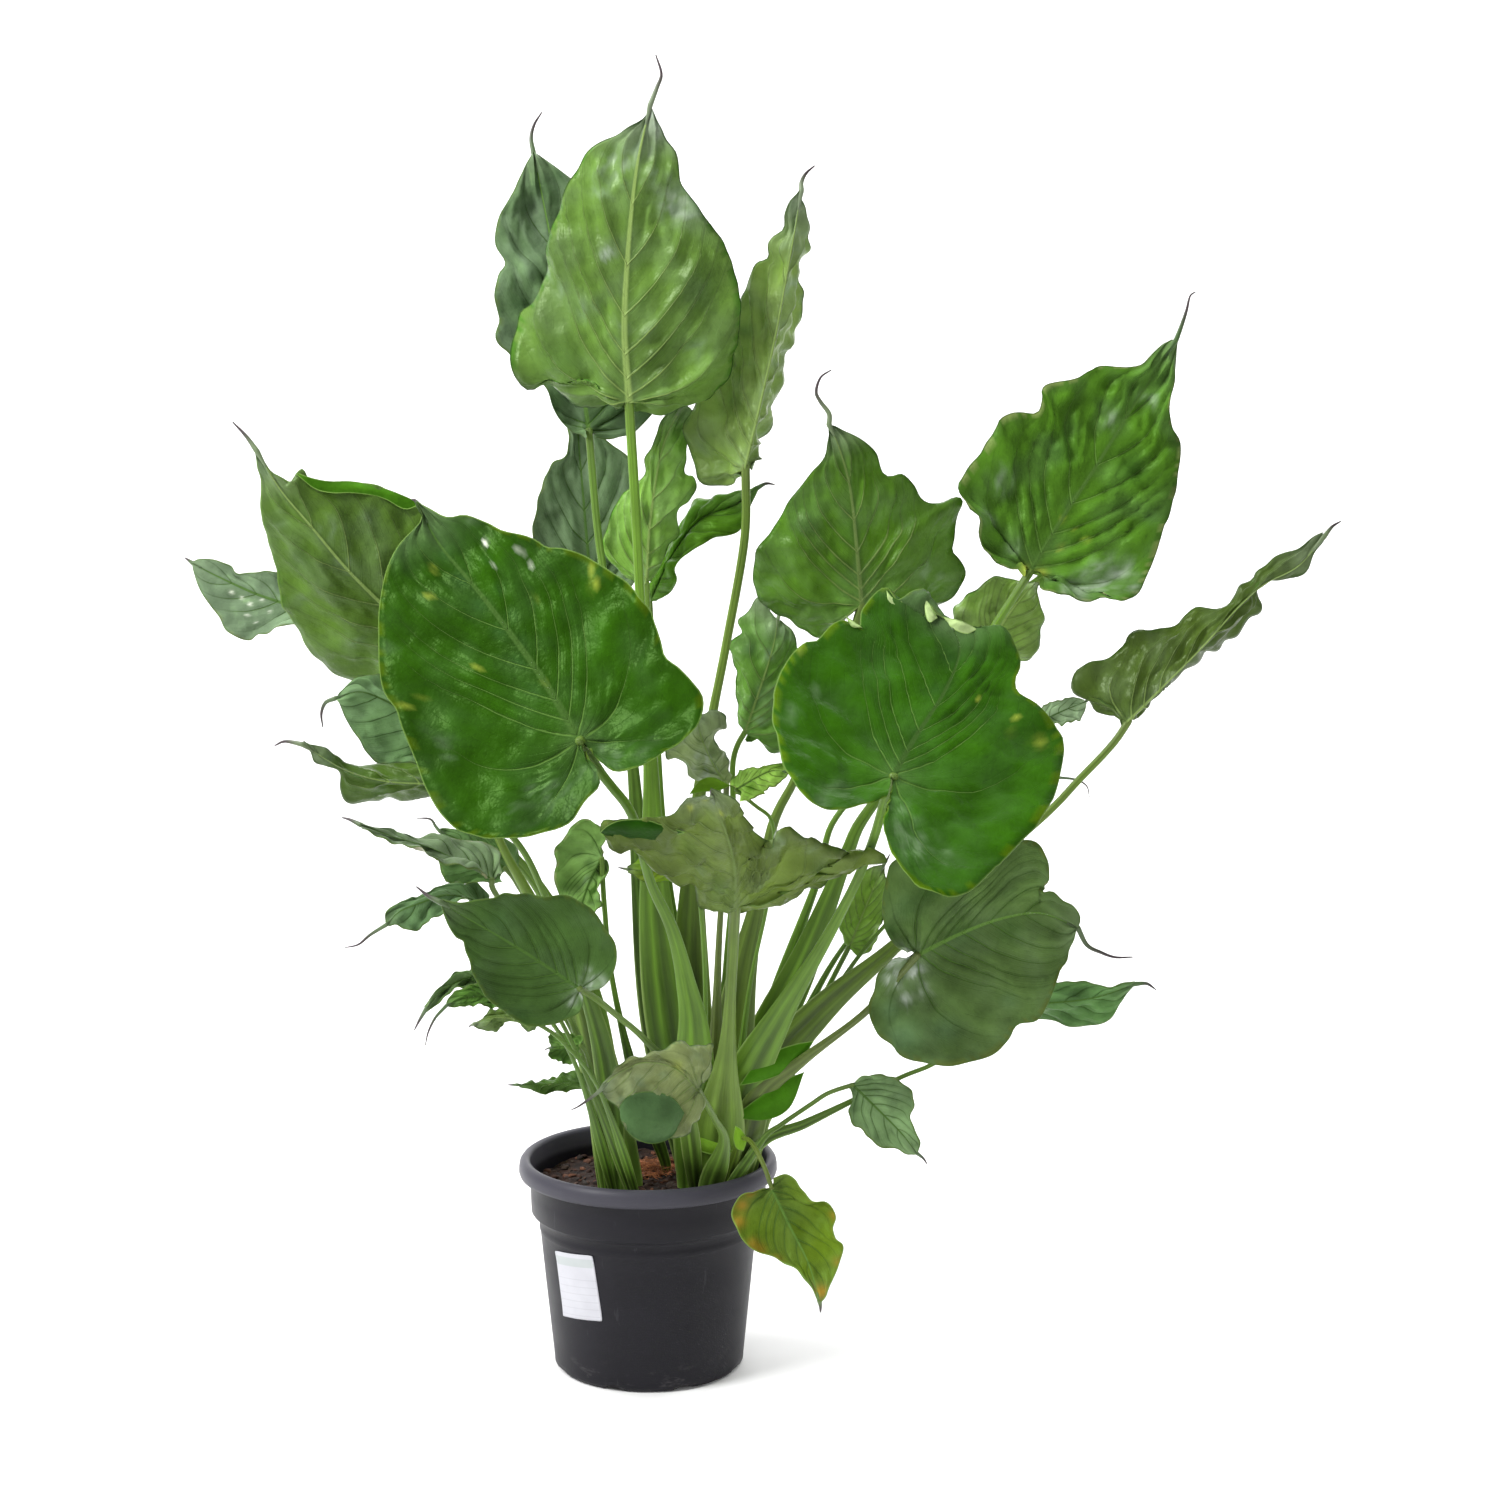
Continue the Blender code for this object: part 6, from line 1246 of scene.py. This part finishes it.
# A rolled lip or a small leaf bit: a thin closed shell between two drawn edges
def flapPart(pile, lf, flap):
    _, face, tintName, rimTone, lift, depth, low, high = flap
    steps, cols = 30, 8
    run, share = np.linspace(0.0, 1.0, steps + 1), np.linspace(0.0, 1.0, cols + 1)
    low, high = alongLine(places(low), run), alongLine(places(high), run)
    flat = low[:, None] * (1 - share)[None, :, None] + high[:, None] * share[None, :, None]
    bulge = np.sin(math.pi * share)[None, :] * np.sin(math.pi * run)[:, None]
    if depth is None:  # it lies on the blade, a little in front of it
        near = np.vstack([bladeGrid(lf, side, np.linspace(0, 1, 60), np.linspace(0, 1, 24))[0].reshape(-1, 3)
                          for side in ("left", "right")])
        gone = ((flat.reshape(-1, 1, 2) - near[None, :, :2]) ** 2).sum(axis=2)
        pull = 1.0 / (gone + 4.0) ** 2
        depths = ((pull * near[:, 2]).sum(axis=1) / pull.sum(axis=1)).reshape(flat.shape[:2]) - 1.5
    else:
        depths = np.full(flat.shape[:2], float(depth))
    points = seen(np.dstack((flat, depths - lift * bulge)))
    behind = points + np.array((0.0, leafLook["flapThick"], 0.0))
    tint = np.array(flapTints[tintName]) * (1 + 0.12 * lumps(points, 0.03, lift))[..., None]
    margin = np.minimum(share, 1 - share)[None, :] * np.linalg.norm(high - low, axis=1)[:, None]
    kind = 0 if face == "upper" else 1
    clockwise = np.cross(points[15, 5] - points[15, 3], points[17, 4] - points[13, 4])[1] > 0
    held = {**noVeins, "rimTone": rimTone}
    for layer, flip in ((points, clockwise), (behind, not clockwise)):
        pile.add(layer, gridFaces(steps, cols, flip), kind, tint=np.clip(tint, 0, 1).reshape(-1, 3),
                 fromEdge=margin.ravel(), **held)
    loop = [(0, c) for c in range(cols)] + [(r, cols) for r in range(steps)]
    loop += [(steps, c) for c in range(cols, 0, -1)] + [(r, 0) for r in range(steps, 0, -1)]
    ring = np.array([[points[at], behind[at]] for at in loop + loop[:1]])
    pile.add(ring, gridFaces(len(loop), 1, not clockwise), kind, tint=tint[0, 0], fromEdge=0.0, **held)


upperSkin, underSkin, stalkLook = leafSkin("upper"), leafSkin("under"), stalkSkin()
courses = makeRoom(list(leaves.values()))
print("stage 2: the stalks have found their places")
for number, (lf, course) in enumerate(zip(leaves.values(), courses)):
    pile = Pile()
    for side in ("left", "right"):
        bladeHalf(pile, lf, side, number * 1.7 + (0.4 if side == "left" else 0.0))
    stalkPart(pile, lf, course, number)
    tailPart(pile, lf)
    for flap in flaps:
        if flap[0] == lf["name"]:
            flapPart(pile, lf, flap)
    piece = pileObject(lf["name"] + "_grown", pile, (upperSkin, underSkin, stalkLook))
    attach(piece, "root")
    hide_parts(lf["name"])
print("stage 3: the leaves are grown")
# Pot: one moulded shell, turned from its outline
pot = {"height": 0.204, "rimOuter": 0.1230, "rimInner": 0.1120, "collar": 0.1115, "base": 0.0905,
       "wall": 0.0024, "floor": 0.0040, "sides": 192, "notches": 8, "notchDeep": 0.0022,
       "notchHalf": 0.010, "dark": (0.0050, 0.0046, 0.0072), "light": (0.0125, 0.0118, 0.0165),
       "litRimTint": (0.066, 0.064, 0.080), "scuffTint": (0.16, 0.15, 0.15),
       "scratchTint": (0.13, 0.13, 0.14)}


def potOutline():
    low, top = pot["base"], pot["height"]
    collar, outer, inner, wall = pot["collar"], pot["rimOuter"], pot["rimInner"], pot["wall"]
    return ((0.0, 0.0), (low - 0.012, 0.0), (low - 0.006, 0.0003), (low - 0.003, 0.0012),
            (low - 0.0010, 0.0028), (low, 0.005), (low + 0.0003, 0.010), (low + 0.0036, 0.042),
            (low + 0.0075, 0.080), (low + 0.0106, 0.112), (low + 0.0126, 0.1332), (low + 0.0131, 0.1342),
            (low + 0.0136, 0.1360), (low + 0.0136, 0.1390), (low + 0.0133, 0.1405),
            (low + 0.0135, 0.1425), (low + 0.0139, 0.1452), (low + 0.0146, 0.1466),
            (low + 0.0160, 0.1490), (collar - 0.0008, 0.1515), (collar, 0.1527), (collar + 0.0006, 0.1700),
            (collar + 0.0012, 0.1850), (collar + 0.0018, 0.1860), (outer - 0.0035, 0.1866),
            (outer - 0.0010, 0.1878), (outer, 0.1910), (outer - 0.0002, 0.1955), (outer - 0.0010, 0.1995),
            (outer - 0.0028, 0.2022), (outer - 0.0048, 0.2035), (outer - 0.0066, top),
            (inner + 0.0024, 0.2032), (inner + 0.0008, 0.2020), (inner, 0.2000),
            (inner - 0.0012, 0.1920), (collar - wall, 0.1800), (collar - wall - 0.0006, 0.1555),
            (low + 0.0136 - wall, 0.1470), (low + 0.0070 - wall, 0.080), (low - wall, 0.009),
            (low - wall - 0.004, pot["floor"]), (0.0, pot["floor"]))


# Black plastic: a rim painted lighter where the light falls on it, scuffs near the floor, thin scratches and
# faint rings of the mould
def potSkin():
    mat, tree, shader = newMaterial("pot plastic")
    spot = addNode(tree, "TexCoord").outputs["Object"]
    high = addNode(tree, "SeparateXYZ", {0: spot}).outputs[2]
    cloud, grain = speckle(tree, 22.0, 4.0, 0.6), speckle(tree, 900.0, 2.0, 0.6)
    scuff = speckle(tree, 48.0, 4.0, 0.7, stretch=(0.6, 0.6, 1.6))
    scratch = speckle(tree, 190.0, 3.0, 0.65, stretch=(1.0, 1.0, 0.12))
    worn = times(riseBetween(scuff, 0.55, 0.72), fadeBetween(high, 0.0, 0.035))
    colour = mixColour(cloud, pot["dark"], pot["light"])
    # The first mark is painted light on the rim at the top; the scuffs and scratches are wear
    for share, strength, tint in ((riseBetween(high, 0.183, 0.190), 0.75, pot["litRimTint"]),
                                  (worn, 0.34, pot["scuffTint"]),
                                  (riseBetween(scratch, 0.66, 0.74), 0.08, pot["scratchTint"])):
        colour = mixColour(times(share, strength), colour, tint)
    rings = addNode(tree, "TexWave", {"Vector": spot, "Scale": 190.0, "Distortion": 0.6},
                    bands_direction="Z").outputs["Fac"]
    height = plus(times(grain, 0.35), times(rings, 0.12), times(cloud, 1.2))
    coat(shader, colour, plus(times(cloud, 0.22), 0.34), height, 0.0004, 0.6, 0.20)
    return mat


def buildPot():
    outline = potOutline()
    sides, rows, notchTurn = pot["sides"], len(outline), 2 * math.pi / pot["notches"]
    points, faces = [], []
    for r, (radius, z) in enumerate(outline):
        for i in range(sides):
            angle = 2 * math.pi * i / sides
            nearest = (angle + math.pi / 2) / notchTurn - 0.5
            notch = abs(nearest - round(nearest)) * notchTurn * pot["base"]
            arch = max(0.0, 1 - (notch / pot["notchHalf"]) ** 4)
            lift = pot["notchDeep"] * arch if 0 < r < 5 else 0.0  # the rows of the foot ring
            points.append((radius * math.cos(angle), radius * math.sin(angle), z + lift))
    for r in range(rows - 1):
        for i in range(sides):
            a, b = r * sides + i, r * sides + (i + 1) % sides
            faces.append((a, b, b + sides, a + sides))
    mesh = bpy.data.meshes.new("nursery_pot")
    mesh.from_pydata(points, [], faces)
    mesh.materials.append(potSkin())
    weldSmooth(mesh, 1e-7, True)
    ob = putOut("nursery_pot", mesh)
    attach(ob, "root")
    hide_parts("pot")


buildPot()
print("stage 4: the pot is turned")

# Soil: lumpy peat with bark pieces and a tuft of coconut fibre
soil = {"top": 0.177, "radius": 0.1080, "rings": 90, "sides": 200, "lump": 0.0022, "skirt": 0.140,
        "chips": 620, "fibres": 150, "fibrePlace": (0.004, 0.040), "coir": (0.004, 0.042),
        "coirReach": 0.026, "seed": 7, "peatDark": (0.007, 0.0032, 0.002),
        "peatLight": (0.030, 0.011, 0.005), "crumbTint": (0.10, 0.055, 0.03),
        "coirTint": (0.30, 0.095, 0.032), "fibreTint": (0.45, 0.17, 0.065), "fibreThick": 0.00022,
        "barkTints": ((0.034, 0.013, 0.007), (0.065, 0.023, 0.010), (0.018, 0.009, 0.005),
                      (0.115, 0.042, 0.018), (0.042, 0.022, 0.012))}


def soilSkin():
    mat, tree, shader = newMaterial("peat")
    cloud, grain = speckle(tree, 60.0, 5.0, 0.7), speckle(tree, 520.0, 3.0, 0.7)
    colour = mixColour(riseBetween(cloud, 0.35, 0.68), soil["peatDark"], soil["peatLight"])
    colour = mixColour(riseBetween(grain, 0.60, 0.74, 0.6), colour, soil["crumbTint"])
    coat(shader, colour, 0.93, plus(times(grain, 0.8), cloud), 0.0022, 0.9)
    return mat


def barkSkin():
    mat, tree, shader = newMaterial("bark")
    cloud, grain = speckle(tree, 130.0, 4.0, 0.65), speckle(tree, 700.0, 3.0, 0.7, stretch=(1.0, 0.3, 1.0))
    colour = litTint(tree, plus(times(cloud, 0.9), times(grain, 0.5)))
    coat(shader, colour, 0.85, plus(grain, cloud), 0.0010, 0.8)
    return mat


def soilHeight(x, y):
    spot = Vector((x * 38, y * 38, 1.7))
    fine = Vector((x * 140, y * 140, 4.2))
    return soil["top"] + soil["lump"] * (noise.noise(spot) * 1.5 + noise.noise(fine) * 0.9)


def barkChip(rng, ball):
    radius, angle = (soil["radius"] - 0.004) * math.sqrt(rng.random()), rng.random() * 2 * math.pi
    x, y = radius * math.cos(angle), radius * math.sin(angle)
    size = 0.0016 + 0.0048 * rng.random() ** 2.2
    shape = ball * (size, size * (0.45 + 0.4 * rng.random()), size * (0.25 + 0.3 * rng.random()))
    shape = shape * (1 + 0.22 * np.sin(ball @ rng.normal(0, 3.5, (3, 1))))
    turn, tilt = rng.random() * 2 * math.pi, rng.normal(0, 0.45)
    c, s, ct, st = math.cos(turn), math.sin(turn), math.cos(tilt), math.sin(tilt)
    shape = shape @ np.array(((1, 0, 0), (0, ct, st), (0, -st, ct))) @ np.array(
        ((c, s, 0), (-s, c, 0), (0, 0, 1)))
    tint = soil["barkTints"][int(rng.integers(len(soil["barkTints"])))]
    tint = np.array(tint) * (0.7 + 0.6 * rng.random())
    if math.hypot(x - soil["coir"][0], y - soil["coir"][1]) < soil["coirReach"]:
        tint = np.array(soil["coirTint"]) * (0.6 + 0.8 * rng.random())
    return shape + (x, y, soilHeight(x, y) + size * 0.12), tint


def fibre(rng):
    x0 = soil["fibrePlace"][0] + rng.normal(0, 0.010)
    y0 = soil["fibrePlace"][1] + rng.normal(0, 0.014)
    turn = rng.random() * 2 * math.pi
    reach = 0.006 + 0.010 * rng.random()
    a = np.linspace(-1, 1, 9)
    bend = rng.normal(0, 0.35)
    x = x0 + reach * (a * math.cos(turn) - bend * a ** 2 * math.sin(turn))
    y = y0 + reach * (a * math.sin(turn) + bend * a ** 2 * math.cos(turn))
    z = np.array([soilHeight(p, q) for p, q in zip(x, y)]) + 0.001 + (1 - a ** 2) * 0.006 * rng.random()
    thin = np.full(9, soil["fibreThick"])
    shape, _, _ = tubeSkin(np.column_stack((x, y, z)), thin, thin, 4)
    return shape, np.array(soil["fibreTint"]) * (0.6 + 0.8 * rng.random())


def buildSoil():
    rng = np.random.default_rng(soil["seed"])
    pile = Pile()
    rings, sides = soil["rings"], soil["sides"]
    points = []
    for r in range(rings + 1):
        radius = soil["radius"] * r / rings
        for i in range(sides + 1):
            angle = 2 * math.pi * (i % sides) / sides
            x, y = radius * math.cos(angle), radius * math.sin(angle)
            points.append((x, y, soilHeight(x, y)))
    pile.add(points, gridFaces(rings, sides, True), 0)
    edge = points[-sides - 1:]
    skirt = edge + [(x * 0.93, y * 0.93, soil["skirt"]) for x, y, z in edge]
    pile.add(skirt, gridFaces(1, sides, True), 0)
    ball = bmesh.new()
    bmesh.ops.create_icosphere(ball, subdivisions=2, radius=1.0)
    ballPoints = np.array([tuple(v.co) for v in ball.verts])
    ballFaces = [tuple(v.index for v in f.verts) for f in ball.faces]
    ball.free()
    for n in range(soil["chips"]):
        shape, tint = barkChip(rng, ballPoints)
        pile.add(shape, ballFaces, 1, tint=tint)
    for n in range(soil["fibres"]):
        shape, tint = fibre(rng)
        pile.add(shape, gridFaces(8, 4), 1, tint=tint)
    ob = pileObject("potting_soil", pile, (soilSkin(), barkSkin()), 1e-8)
    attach(ob, "root")
    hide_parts("soil")


buildSoil()
print("stage 5: the soil is laid")

# Label: a blank paper sticker bent round the wall, with a faint band and faint rules
label = {"turn": -132.4, "low": 0.0668, "wide": 0.050, "tall": 0.064, "thick": 0.0004, "off": 0.0003,
         "drop": 0.006, "shear": 0.05, "curl": 0.0007, "cols": 28, "rows": 40,
         "paperDark": (0.44, 0.44, 0.48), "paperLight": (0.56, 0.56, 0.60),
         "bandTint": (0.20, 0.30, 0.22), "ruleTint": (0.25, 0.25, 0.28), "rules": 9.0}


def wallRadius(z):
    part = potOutline()[5:18]  # the tapered wall, up to the step under the collar
    return float(np.interp(z, [p[1] for p in part], [p[0] for p in part]))


def labelSkin():
    mat, tree, shader = newMaterial("label paper")
    at = readAttribute(tree, "upward")
    grain, cloud = speckle(tree, 1500.0), speckle(tree, 60.0, 3.0)
    band = times(riseBetween(at, 0.80, 0.81), fadeBetween(at, 0.93, 0.94))
    rules = times(fadeBetween(fromHalf(times(at, label["rules"])), 0.05, 0.08), fadeBetween(at, 0.70, 0.72))
    colour = mixColour(cloud, label["paperDark"], label["paperLight"])
    colour = mixColour(times(band, 0.30), colour, label["bandTint"])
    colour = mixColour(times(rules, 0.22), colour, label["ruleTint"])
    coat(shader, colour, plus(times(cloud, 0.15), 0.42), grain, 0.0001, 0.5)
    return mat


def buildLabel():
    pile = Pile()
    cols, rows = label["cols"], label["rows"]
    skins = []
    for skin in (1, 0):  # outer face, then the face on the wall
        points, upward = [], []
        for r in range(rows + 1):
            for c in range(cols + 1):
                across, up = c / cols - 0.5, r / rows
                corner = max(0.0, abs(across) - 0.44) / 0.06 * max(0.0, abs(up - 0.5) - 0.466) / 0.034
                z = label["low"] + label["tall"] * (up - 0.006 * corner * (1 if up > 0.5 else -1))
                z += label["drop"] * across
                wall = wallRadius(z)
                curl = label["curl"] * max(0.0, abs(across) + abs(up - 0.5) - 0.86) / 0.14
                radius = wall + label["off"] + skin * label["thick"] + curl
                angle = (math.radians(label["turn"]) + across * label["wide"] / wall * (1 - 0.02 * corner)
                         - label["shear"] * (up - 0.5))
                points.append((radius * math.cos(angle), radius * math.sin(angle), z))
                upward.append(up)
        pile.add(points, gridFaces(rows, cols, skin == 0), 0, upward=np.array(upward))
        skins.append(np.array(points).reshape(rows + 1, cols + 1, 3))
    outer, inner = skins
    for a, b, flip in ((outer[:, 0], inner[:, 0], True), (outer[:, -1], inner[:, -1], False),
                       (outer[0], inner[0], False), (outer[-1], inner[-1], True)):
        pile.add(np.stack((a, b), axis=1), gridFaces(len(a) - 1, 1, flip), 0)
    ob = pileObject("blank_label", pile, (labelSkin(),))
    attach(ob, "root")
    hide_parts("label")


buildLabel()
print("stage 6: the label is on")

# Studio: a pale floor that sweeps up behind, soft lights, and the camera
studio = {"floorDark": (0.88, 0.88, 0.88), "floorLight": (0.90, 0.90, 0.90), "floorRough": 0.8,
          "floorHalf": 5.0, "world": 0.30,
          # How far back and how high the floor goes, from the front to the top of the backdrop
          "sweep": ((-3.0, 0.0), (2.0, 0.0), (2.5, 0.06), (2.9, 0.28), (3.1, 0.65), (3.2, 1.2), (3.2, 4.0)),
          # Place, aim, size, power, and whether glossy skins show the light
          "lights": {"key": ((-2.3, -1.3, 2.7), (0.0, 0.0, 0.6), (1.3, 1.3), 145.0, True),
                     "fill": ((1.6, -2.8, 1.7), (0.0, 0.0, 0.6), (2.0, 2.0), 26.0, False),
                     "top": ((0.0, 0.2, 3.2), (0.0, 0.0, 0.6), (2.4, 2.0), 46.0, False),
                     "rim": ((0.6, 2.2, 2.4), (0.0, 0.0, 0.8), (2.0, 1.2), 26.0, True),
                     "back left": ((-2.2, 1.0, 2.2), (-0.5, 3.1, 1.2), (1.6, 1.6), 60.0, False),
                     "back right": ((2.2, 1.0, 2.2), (0.5, 3.1, 1.2), (1.6, 1.6), 60.0, False)}}


def buildFloor():
    profile, half = studio["sweep"], studio["floorHalf"]
    points = [(x, y, z) for y, z in profile for x in (-half, half)]
    faces = [(2 * i, 2 * i + 1, 2 * i + 3, 2 * i + 2) for i in range(len(profile) - 1)]
    mesh = bpy.data.meshes.new("studio_floor")
    mesh.from_pydata(points, [], faces)
    for face in mesh.polygons:
        face.use_smooth = True
    mat, tree, shader = newMaterial("studio paper")
    colour = mixColour(speckle(tree, 1.5), studio["floorDark"], studio["floorLight"])
    feed(shader, {"Base Color": colour, "Roughness": studio["floorRough"]})
    mesh.materials.append(mat)
    putOut("studio_floor", mesh)


def softLight(name, place, aim, size, power, gloss):
    lamp = bpy.data.lights.new(name, "AREA")
    lamp.shape = "RECTANGLE"
    lamp.size, lamp.size_y = size
    lamp.energy = power
    ob = putOut(name, lamp)
    ob.location = place
    ob.rotation_euler = (Vector(aim) - Vector(place)).to_track_quat("-Z", "Y").to_euler()
    ob.visible_glossy = gloss


def buildCamera():
    camera = bpy.data.cameras.new("camera")
    camera.sensor_width = eye["sensor"]
    camera.lens = eye["focal"] * eye["sensor"] / eye["picture"]
    ob = putOut("camera", camera)
    ob.location = (0.0, -eye["back"], eye["high"])
    ob.rotation_euler = (math.radians(90 - eye["down"]), 0.0, math.radians(-eye["turn"]))
    bpy.context.scene.camera = ob


buildFloor()
for name, settings in studio["lights"].items():
    softLight(name, *settings)
world = bpy.data.worlds.new("studio air")
world.use_nodes = True
feed(world.node_tree.nodes["Background"], {0: (1.0, 1.0, 1.0, 1.0), 1: studio["world"]})
bpy.context.scene.world = world
bpy.context.scene.view_settings.view_transform = "Standard"
buildCamera()
print("stage 7: the studio is set")
